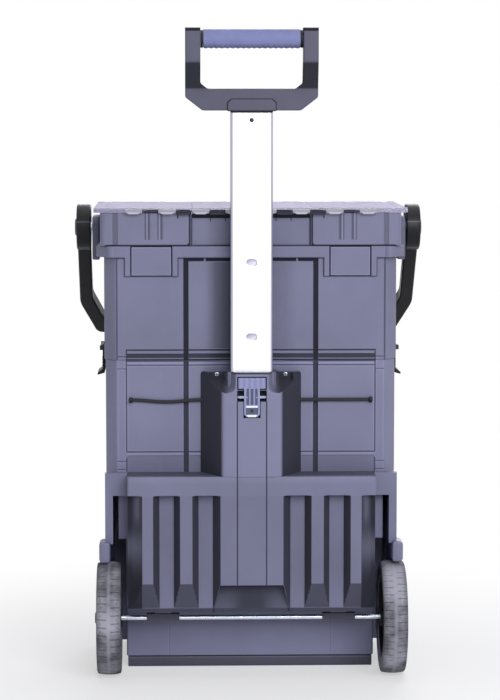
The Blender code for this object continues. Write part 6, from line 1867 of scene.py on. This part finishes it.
def make_side_trays():
    """The two outer trays, open on top."""
    ticks_x = ticks_for([*BEADS_X, *TRAY_BEVEL, TRAY_SLIT_X], *SIDE_TRAY, TRAY_PITCH, False, BEAD_SOFT)
    ticks_z = ticks_for([BEAD_LOW_Z, TRAY_SLIT_LOW_Z], TRAY_LOW_Z, TRAY_TOP_Z, TRAY_PITCH, False, BEAD_SOFT)
    inner, outer = SIDE_TRAY
    tray = open_tray((inner, TRAY_REAR_Y, outer, TRAY_FRONT_Y), TRAY_TOP_Z, TRAY_CORNERS, 6,
                     ticks_x, ticks_z, tray_relief)
    rail = hinge_rail((inner + PLAY, RAIL_Y[0], CENTRE_TRAY[2] - PLAY),
                      (3.5 * HINGE_PITCH, RAIL_Y[1], RAIL_TOP_Z))
    for side, sign in SIDES:
        parts = on_side([tray, hinge_saddle(2 * HINGE_PITCH, TRAY_REAR_Y), rail], sign)
        piece("tray_" + side, parts, "organiser_" + side, "moulding", "organisers")


def make_centre_tray():
    """The middle tray, open on top, with a rail and its foot along the back."""
    half, rear, top = CENTRE_TRAY
    ticks_x = ticks_for(CENTRE_SLITS_X, -half, half, 0.004)
    ticks_z = ticks_for([top - SLIT_HEIGHT], TRAY_LOW_Z, top, 0.003, False)
    tray = open_tray((-half, rear, half, TRAY_FRONT_Y), top, SMALL_CORNER, 4, ticks_x, ticks_z,
                     centre_relief)
    end, front = half - PLAY, rear + PLAY
    rail = hinge_rail((-end, RAIL_Y[0], top + STEP), (end, front, RAIL_TOP_Z))
    foot = hinge_rail((-end, rear, top - STEP), (end, front, RAIL_TOP_Z - GAP))
    saddles = both_sides([hinge_saddle(HINGE_PITCH, rear)])
    piece("tray_centre", [tray, rail, foot, *saddles], "organiser_centre", "moulding", "organisers")


DIVIDERS = ("divider_left_1", "divider_left_2", "divider_centre_1", "divider_right_1", "divider_right_2")


def make_organisers():
    """The three trays and their five partitions."""
    make_side_trays()
    make_centre_tray()
    for node in DIVIDERS:
        plate = block(*node_box(node), SEAM_EDGE, "Y", SMALL_CORNER)
        piece(node.replace("divider", "partition"), [plate], node, "dark", "organisers")


# Clear cover
(_, LIP_REAR_Y, _), (COVER_HALF, LATCH_LUG_Y, COVER_TOP_Z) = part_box("clear_cover")
COVER_REAR_Y = -0.1215
COVER_FRONT_Y = 0.1705
COVER_LOW_Z = 0.7283
COVER_SHEET = 0.0022
COVER_CORNER = 0.010
KNUCKLE_HALF = 0.0135
KNUCKLE_RADIUS = 0.0034
HINGE_AXIS = (-0.1245, 0.7305)
BORDER = (0.0120, 0.0195)
COVER_ROWS = (0.0003, 0.0008, 0.0012, 0.004, 0.007, 0.010)
BAND_DEPTH = 0.0008
JOINT_X = (0.0910, 0.0980)
KNUCKLE_EDGE = 0.0004
KNUCKLE_WALL_Z = 0.7320
LIP_Z = (0.7262, 0.7296)
LIP_CORNER = 0.0006
LIP_SHARES = (0.55, 0.90)
COVER_PITCH = 0.02
SKIRT_BLEND = 0.0005
WINDOW_BLEND = 0.0004
LATCH_LUG_OUT = 0.0193
LATCH_LUG_TOP_Z = 0.7335


def knuckle_places():
    """The knuckles' middles along the hinge, evenly spaced about the middle."""
    return (np.arange(8) - 3.5) * HINGE_PITCH


def cover_edge(x, y):
    """Distance from the cover's straight edges."""
    return np.minimum(COVER_HALF - np.abs(x), np.minimum(y - COVER_REAR_Y, COVER_FRONT_Y - y))


def cover_outside(x, y):
    """The cover's top: a sunk border band and a bead over each joint between two trays."""
    inset = cover_edge(x, y)
    band = within(inset, *BORDER, THIN)
    joint = within(np.abs(x), *JOINT_X, THIN) * (inset > BORDER[1])
    return COVER_TOP_Z - BAND_DEPTH * np.maximum(band, joint) - edge_drop(inset, THIN), np.zeros(x.shape)


def cover_inside(x, y):
    """The cover's underside: flat, and down to the skirt's foot along the edge, but not between two
    knuckles, where the skirt has a window."""
    inset = cover_edge(x, y)
    skirt = smooth_step((COVER_SHEET - inset) / SKIRT_BLEND + 0.5)
    rear = (y < COVER_REAR_Y + COVER_SHEET + WINDOW_BLEND) * (np.abs(x) < 3.5 * HINGE_PITCH)
    nearest = np.abs((x / HINGE_PITCH + 0.5) - np.round(x / HINGE_PITCH + 0.5)) * HINGE_PITCH
    window = rear * smooth_step((nearest - KNUCKLE_HALF) / WINDOW_BLEND + 0.5)
    foot = np.where(skirt * (1 - window) > 0.5, COVER_LOW_Z, COVER_TOP_Z - COVER_SHEET)
    return foot, np.zeros(x.shape)


def cover_round(x, y):
    """Draws the grid in near the front and the back, so that the corners are arcs."""
    end = np.minimum(y - COVER_REAR_Y, COVER_FRONT_Y - y)
    return x * (1 - edge_drop(end, COVER_CORNER) / COVER_HALF), y


def cover_ticks():
    """The grid of the cover: rows close to its edge, its band, its windows and its joints."""
    rim = [*COVER_ROWS, COVER_SHEET - GAP, COVER_SHEET + GAP]
    band = np.add.outer(BORDER, [-THIN / 2, THIN / 2]).reshape(-1)
    inset = np.concatenate([rim, band])
    windows = np.add.outer(knuckle_places(), [-KNUCKLE_HALF, KNUCKLE_HALF]).reshape(-1)
    windows = np.add.outer(windows, [-WINDOW_BLEND / 2, WINDOW_BLEND / 2]).reshape(-1)
    joints = ticks_for(JOINT_X, -COVER_HALF, COVER_HALF, COVER_PITCH)
    middle = np.linspace(COVER_REAR_Y + COVER_PITCH, COVER_FRONT_Y - COVER_PITCH, 14)
    inset = np.append(inset, 0)
    xs = ticks_of(COVER_HALF - inset, inset - COVER_HALF, windows, joints, digits=6)
    return xs, ticks_of(COVER_REAR_Y + inset, COVER_FRONT_Y - inset, middle, digits=6)


def make_knuckles():
    """The eight hinge knuckles, each with the trapezoid lip under it and the wall that carries it."""
    skins = []
    low_z, top_z = LIP_Z
    for x in knuckle_places():
        start, end = x - KNUCKLE_HALF, x + KNUCKLE_HALF
        lip_low, lip_top = (KNUCKLE_HALF * share for share in LIP_SHARES)
        corners = [(x - lip_low, low_z), (x + lip_low, low_z), (x + lip_top, top_z), (x - lip_top, top_z)]
        lip = pillar(corners, LIP_REAR_Y, HINGE_AXIS[0] - PLAY, KNUCKLE_EDGE, "Y", LIP_CORNER)
        wall = block((start, HINGE_AXIS[0], KNUCKLE_WALL_Z), (end, COVER_REAR_Y + PLAY, COVER_TOP_Z - PLAY),
                     KNUCKLE_EDGE)
        barrel = rod(start, end, KNUCKLE_RADIUS, *HINGE_AXIS, SEAM_EDGE, 28)
        # Painted shade on the barrel, and a paler painted highlight on the lip
        skins += [barrel.add_shade(0.16), lip.add_shade(-0.3), wall]
    return skins


def make_clear_cover():
    """The cover: a thin sheet with a skirt, frosted knuckles and the lugs of its latches."""
    sheet = slab(*cover_ticks(), cover_inside, cover_outside, "Z", cover_round)
    middle = middle_of("cover_latch_right")[0]
    lugs = []
    for x in (middle - LATCH_LUG_OUT, middle + LATCH_LUG_OUT):
        low = (x - STEP, COVER_FRONT_Y - PLAY, COVER_LOW_Z)
        lugs.append(block(low, (x + STEP, LATCH_LUG_Y, LATCH_LUG_TOP_Z)))
    piece("cover_sheet", [sheet, *both_sides(lugs)], "clear_cover", "cover", "cover", sharp=40)
    piece("cover_knuckles", make_knuckles(), None, "frosted", "cover")
    dress("cover_hinge_pin", "blued")


# Latches
LATCH_RIBS = 4
LATCH_RIBS_Z = 0.492
LATCH_RIB_PITCH = 0.0042
LATCH_RIB_HEIGHT = 0.0018
LATCH_RIB_X = (0.2345, 0.2354)
LATCH_MARGIN = 0.010
ARCH_EDGE = 0.0014


def make_latches():
    """Side latches and cover latches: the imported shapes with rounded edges, and a ribbed pull."""
    for side, sign in SIDES:
        body, node = "side_latch_" + side[0], "side_latch_" + side
        softened("latch_side_" + side, node, "black", body, 0.0007)
        softened("latch_cover_" + side, "cover_latch_" + side, "black", "cover_latch_" + side[0], SEAM_EDGE)
        dress("latch_pin_" + side, "blued")
        low, high = node_box(node)[0][1] + LATCH_MARGIN, node_box(node)[1][1] - LATCH_MARGIN
        tops = LATCH_RIBS_Z - LATCH_RIB_PITCH * np.arange(LATCH_RIBS)
        ribs = [
            block((LATCH_RIB_X[0], low, z), (LATCH_RIB_X[1], high, z + LATCH_RIB_HEIGHT), KNUCKLE_EDGE)
            for z in tops
        ]
        piece("latch_ribs_" + side, on_side(ribs, sign), None, "black", body)


def make_wheel_arches():
    """The arches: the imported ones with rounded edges."""
    for side, _ in SIDES:
        softened("arch_" + side, "wheel_arch_" + side, "moulding", "chassis", ARCH_EDGE)


# Wheels
TYRE_BORE = 0.064
SIPE_STEPS = 14
CROWN_DROP = 0.0024
SHOULDER_DROP = 0.0042
SHOULDER_REACH = 0.006
WALL_HOLLOW = 0.0016
WALL_LEAN = 0.0012
BEAD_INSET = 0.003
CROWN_POWER = 2.2
CROWN_SPAN = (0.1, 0.86)
CROWN_MIDDLE = (-0.06, -0.03, 0, 0.03, 0.06)
SIPE_SPAN = (0.14, 0.90)
SIPE_WIDTH, SIPE_BLEND = 0.07, 0.035
SIPE_LEAN = 0.10
SHORT_SPAN = (0.52, 0.78)
SHORT_WIDTH, SHORT_BLEND = 0.05, 0.04
SHORT_DEPTH_SHARE = 0.7
PALE_CROWN_WIDTH = 0.13


def tyre_profile(radius, half):
    """The tyre's section, from the bore round the tread: the crown falls with the 2.2th power of
    the distance from the middle, and a quarter of an ellipse makes each shoulder."""
    fine = np.linspace(*CROWN_SPAN, 26)
    across = np.concatenate([-fine[::-1], CROWN_MIDDLE, fine]) * half
    crown = radius - CROWN_DROP * (np.abs(across) / half) ** CROWN_POWER
    shoulder = np.linspace(0.1, 1, 8) * math.pi / 2
    edge_r = crown[-1] - SHOULDER_DROP * (1 - np.cos(shoulder))
    edge_x = across[-1] + (half - across[-1]) * np.sin(shoulder)
    wall_r = np.linspace(edge_r[-1] - STEP, TYRE_BORE + PLAY, 8)
    wall_x = half - WALL_HOLLOW * np.sin(np.linspace(0, math.pi, 8)) - WALL_LEAN * np.linspace(0, 1, 8)
    right = np.stack([np.concatenate([edge_r, wall_r]), np.concatenate([edge_x, wall_x])], 1)
    end = np.array([(TYRE_BORE, half - BEAD_INSET)])
    return np.concatenate([end * (1, -1), right[::-1] * (1, -1), np.stack([crown, across], 1), right, end])


def tread_shape(half, outer):
    """Sipes where the angle's phase, half a step apart on the two halves, nears a whole number, with
    painted shade in them and on the shoulders, and a paler line round the middle."""
    count, tread = sizes().sipes, sizes().tread

    def shape(base, along, angle):
        share = along / half
        side = np.abs(share)
        phase = angle * count / (2 * math.pi) + np.where(share > 0, 0.5, 0.0) + SIPE_LEAN * side
        near = np.abs(phase - np.round(phase))
        cut = smooth_step((SIPE_WIDTH - near) / SIPE_BLEND) * within(side, *SIPE_SPAN, SHORT_BLEND)
        short = smooth_step((SHORT_WIDTH - np.abs(phase * 2 - np.round(phase * 2))) / SHORT_BLEND)
        short = short * within(side, *SHORT_SPAN, SHORT_BLEND)
        crown = np.exp(-(share / PALE_CROWN_WIDTH) ** 2)
        on_tread = base > outer - SHOULDER_REACH
        cuts = np.maximum(cut, short * SHORT_DEPTH_SHARE) * on_tread
        shoulder = smooth_step((side - 0.50) / 0.45) * on_tread
        # Painted shade in the sipes and on the shoulders, and a paler line round the crown
        return base - tread * cuts, 0.52 * cuts + 0.48 * shoulder - 0.34 * crown * on_tread

    return shape


def make_wheels():
    """Tyre, hub, bush and cap of each wheel."""
    for side, _ in SIDES:
        node, body = "tyre_" + side, "wheel_" + side[0]
        low, high = node_box(node)
        half, radius = (high[0] - low[0]) / 2, (high[2] - low[2]) / 2
        tyre = turned(tyre_profile(radius, half), middle_of(node), sizes().sipes * SIPE_STEPS,
                      tread_shape(half, radius), loop=True)
        piece("tread_" + side, [tyre], node, "rubber", body, sharp=50)
        softened("hub_" + side, "wheel_hub_" + side, "black", body, SMALL_EDGE)
        softened("cap_" + side, "axle_cap_" + side, "black", body, CAP_ROUND)
        dress("wheel_bush_" + side, "dark")


def make_axle():
    """The axle and the clips that hold it under the panel."""
    piece("axle_rod", [rod_for("axle", SMALL_EDGE, 40)], "axle", "steel")
    for side, _ in SIDES:
        softened("clip_" + side, "axle_clip_" + side, "dark", "chassis", SMALL_EDGE)


# Elastic cord
CORD_HALF = 0.185
CORD_LEVEL_Z = 0.4347
CORD_SAG = 0.0030
CORD_SAG_START = 0.0790
CORD_RADIUS = 0.0028
TWIST, TWIST_STRANDS, TWIST_DEPTH = 1400, 6, 0.0001
BUTTON_EDGE = 0.0016


def make_elastic_cord():
    """The cord: a round section carried along its route, with a braid's fine twist, and its buttons.

    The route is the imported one: level, with a sag of sin squared in its left half.
    """
    x = np.linspace(-CORD_HALF, CORD_HALF, 261)[:, None]
    share = np.clip((-x - CORD_SAG_START) / (CORD_HALF - CORD_SAG_START), 0, None)
    z = CORD_LEVEL_Z - CORD_SAG * np.sin(math.pi * share) ** 2
    angle = around(24)
    radius = CORD_RADIUS - TWIST_DEPTH * np.cos(TWIST_STRANDS * angle + x * TWIST)
    y = middle_of("elastic_cord")[1] + radius * np.cos(angle)
    points = np.stack([np.repeat(x, angle.shape[1], 1), y, z + radius * np.sin(angle)], -1)
    piece("cord_sleeve", [skin_of(points)], "elastic_cord", "cord")
    for side, _ in SIDES:
        node = "cord_anchor_" + side
        piece("cord_button_" + side, [rod_for(node, BUTTON_EDGE)], node, "black")


# Stage
CAMERA_PLACE = (-0.120, -4.277, 0.9035)
CAMERA_PITCH = 5.36
CAMERA_AIM_X = 0.0031
FOCAL_PX = 2667
FRAME_PX = 700
SENSOR = 36
FLOOR_REACH = 30
FLOOR_FADE = (0.30, 1.00)
FLOOR_SHARE = 0.50
LAMPS = (
    ("rear_lamp", (1.2, -4.1, 2.4), (0, 0, 0.45), (2.8, 2.4), "lamp", (0.95, 0.96, 1.0)),
    ("front_lamp", (0.9, 4.2, 2.4), (0, 0, 0.45), (2.8, 2.4), "fill", (0.97, 0.97, 1.0)),
    ("top_lamp", (0, 0, 4.2), (0, 0, 0), (2.4, 2.4), "top", (1, 1, 1)),
)


def floor_paint(colour):
    """Pale paint that turns to plain white further out, for the eye and for reflections alone."""
    paint = Paint("floor_paint", 0.75, Specular_IOR_Level=0.1, Base_Color=(*colour, 1))
    distance = paint.add("ShaderNodeVectorMath", {0: paint.place}, operation="LENGTH").outputs["Value"]
    fade = paint.add("ShaderNodeMapRange", {
        "Value": distance, "From Min": FLOOR_FADE[0], "From Max": FLOOR_FADE[1], "To Min": FLOOR_SHARE,
    }, interpolation_type="SMOOTHSTEP").outputs["Result"]
    share = paint.add("ShaderNodeMath", {0: fade, 1: paint.seen_ray()}, operation="MULTIPLY").outputs[0]
    white = paint.add("ShaderNodeEmission", {"Color": (1, 1, 1, 1), "Strength": 1.0}).outputs["Emission"]
    paint.fade_to(share, white)
    return paint


def make_floor(colour):
    """A large square at the foot, which shows only the shadow near the toolbox."""
    reach = FLOOR_REACH
    mesh = bpy.data.meshes.new("floor")
    mesh.from_pydata([(x, y, 0) for x, y in rectangle(-reach, -reach, reach, reach)], [], [(0, 1, 2, 3)])
    mesh.materials.append(floor_paint(colour).material)
    show("floor", mesh)


def make_world(strength):
    """Even light from all round, and plain white for the eye and for reflections."""
    world = bpy.data.worlds.new("studio")
    bpy.context.scene.world = world
    world.use_nodes = True
    nodes = Nodes(world.node_tree)
    nodes.tree.nodes.clear()
    level = nodes.ranged(nodes.seen_ray(), 0, 1, strength, 1)
    light = nodes.add("ShaderNodeBackground", {"Color": (1, 1, 1, 1), "Strength": level})
    nodes.add("ShaderNodeOutputWorld", {"Surface": light.outputs["Background"]})


def add_lamp(name, place, target, size, power, colour):
    """A soft rectangular lamp that faces its target."""
    light = bpy.data.lights.new(name, "AREA")
    light.shape = "RECTANGLE"
    light.size, light.size_y = size
    light.energy = power
    light.color = colour
    lamp = show(name, light)
    lamp.location = place
    lamp.rotation_euler = (Vector(target) - Vector(place)).to_track_quat("-Z", "Y").to_euler()


def make_camera():
    """The camera, where the photograph was taken from: it aims at a point just beside the tube."""
    camera = bpy.data.cameras.new("camera")
    camera.sensor_width = SENSOR
    camera.lens = FOCAL_PX * SENSOR / FRAME_PX
    seat = show("camera", camera)
    seat.location = CAMERA_PLACE
    yaw = math.atan2(-CAMERA_PLACE[0] - CAMERA_AIM_X, REAR_Y - CAMERA_PLACE[1])
    seat.rotation_euler = (math.radians(90 - CAMERA_PITCH), 0, -yaw)
    bpy.context.scene.camera = seat


def make_stage():
    """Floor, lamps, world and camera."""
    scene = bpy.context.scene
    scene.view_settings.view_transform = "Standard"
    settings = scene.toolbox_stage
    make_floor(settings.floor)
    make_world(settings.world)
    for name, place, target, size, power, colour in LAMPS:
        add_lamp(name, place, target, size, getattr(settings, power), colour)
    make_camera()


class StageOperator(bpy.types.Operator):
    """Makes the floor, the lamps, the world and the camera"""

    bl_idname = "toolbox.stage"
    bl_label = "Stage"

    def execute(self, context):
        make_stage()
        return {"FINISHED"}


class LowerBinOperator(bpy.types.Operator):
    """Dresses the lower bin and its shoe"""

    bl_idname = "toolbox.lower_bin"
    bl_label = "Lower bin"

    def execute(self, context):
        make_lower_bin()
        make_base_skid()
        return {"FINISHED"}


class UpperBoxOperator(bpy.types.Operator):
    """Dresses the upper box and its rear blocks"""

    bl_idname = "toolbox.upper_box"
    bl_label = "Upper box"

    def execute(self, context):
        make_upper_box()
        return {"FINISHED"}


class TrolleyPanelOperator(bpy.types.Operator):
    """Dresses the ribbed trolley panel"""

    bl_idname = "toolbox.trolley_panel"
    bl_label = "Trolley panel"

    def execute(self, context):
        make_trolley_panel()
        return {"FINISHED"}


class WheelArchesOperator(bpy.types.Operator):
    """Dresses the wheel arches"""

    bl_idname = "toolbox.wheel_arches"
    bl_label = "Wheel arches"

    def execute(self, context):
        make_wheel_arches()
        return {"FINISHED"}


class HandleHousingOperator(bpy.types.Operator):
    """Dresses the housing of the pull handle"""

    bl_idname = "toolbox.handle_housing"
    bl_label = "Handle housing"

    def execute(self, context):
        make_handle_housing()
        return {"FINISHED"}


class HandleLockOperator(bpy.types.Operator):
    """Dresses the lock: rocker, pin, spring and screws"""

    bl_idname = "toolbox.handle_lock"
    bl_label = "Handle lock"

    def execute(self, context):
        make_handle_lock()
        return {"FINISHED"}


class PullHandleOperator(bpy.types.Operator):
    """Dresses the tube, the head and the grip"""

    bl_idname = "toolbox.pull_handle"
    bl_label = "Pull handle"

    def execute(self, context):
        make_pull_tube()
        make_handle_head()
        make_handle_grip()
        return {"FINISHED"}


class CarryBailOperator(bpy.types.Operator):
    """Dresses the carry bail"""

    bl_idname = "toolbox.carry_bail"
    bl_label = "Carry bail"

    def execute(self, context):
        make_carry_bail()
        return {"FINISHED"}


class OrganisersOperator(bpy.types.Operator):
    """Dresses the organisers and their dividers"""

    bl_idname = "toolbox.organisers"
    bl_label = "Organisers"

    def execute(self, context):
        make_organisers()
        return {"FINISHED"}


class ClearCoverOperator(bpy.types.Operator):
    """Dresses the clear cover and its hinge"""

    bl_idname = "toolbox.clear_cover"
    bl_label = "Clear cover"

    def execute(self, context):
        make_clear_cover()
        return {"FINISHED"}


class LatchesOperator(bpy.types.Operator):
    """Dresses the side latches and the cover's latches"""

    bl_idname = "toolbox.latches"
    bl_label = "Latches"

    def execute(self, context):
        make_latches()
        return {"FINISHED"}


class ElasticCordOperator(bpy.types.Operator):
    """Dresses the elastic cord and its buttons"""

    bl_idname = "toolbox.elastic_cord"
    bl_label = "Elastic cord"

    def execute(self, context):
        make_elastic_cord()
        return {"FINISHED"}


class WheelsOperator(bpy.types.Operator):
    """Dresses the wheels, the axle and its clips"""

    bl_idname = "toolbox.wheels"
    bl_label = "Wheels and axle"

    def execute(self, context):
        make_wheels()
        make_axle()
        return {"FINISHED"}


OPERATORS = (
    StageOperator, LowerBinOperator, UpperBoxOperator, TrolleyPanelOperator, WheelArchesOperator,
    HandleHousingOperator, HandleLockOperator, PullHandleOperator, CarryBailOperator, OrganisersOperator,
    ClearCoverOperator, LatchesOperator, ElasticCordOperator, WheelsOperator,
)


class ToolboxPanel(bpy.types.Panel):
    """Lists the toolbox's operators and settings"""

    bl_idname = "VIEW3D_PT_toolbox"
    bl_label = "Rolling toolbox"
    bl_space_type = "VIEW_3D"
    bl_region_type = "UI"
    bl_category = "Toolbox"

    def draw(self, context):
        layout = self.layout
        for group in ("toolbox_colours", "toolbox_sizes", "toolbox_stage"):
            settings = getattr(context.scene, group)
            for key in settings.__annotations__:
                layout.prop(settings, key)
        for operator in OPERATORS:
            layout.operator(operator.bl_idname)


CLASSES = (ToolboxColours, ToolboxSizes, ToolboxStage, *OPERATORS, ToolboxPanel)


def register():
    for made in CLASSES:
        bpy.utils.register_class(made)
    bpy.types.Scene.toolbox_colours = PointerProperty(type=ToolboxColours)
    bpy.types.Scene.toolbox_sizes = PointerProperty(type=ToolboxSizes)
    bpy.types.Scene.toolbox_stage = PointerProperty(type=ToolboxStage)


def unregister():
    del bpy.types.Scene.toolbox_stage
    del bpy.types.Scene.toolbox_sizes
    del bpy.types.Scene.toolbox_colours
    for made in reversed(CLASSES):
        bpy.utils.unregister_class(made)


def main():
    """Registers the classes and runs the operators in order."""
    register()
    for operator in OPERATORS:
        group, name = operator.bl_idname.split(".")
        getattr(getattr(bpy.ops, group), name)()


if __name__ == "__main__":
    main()
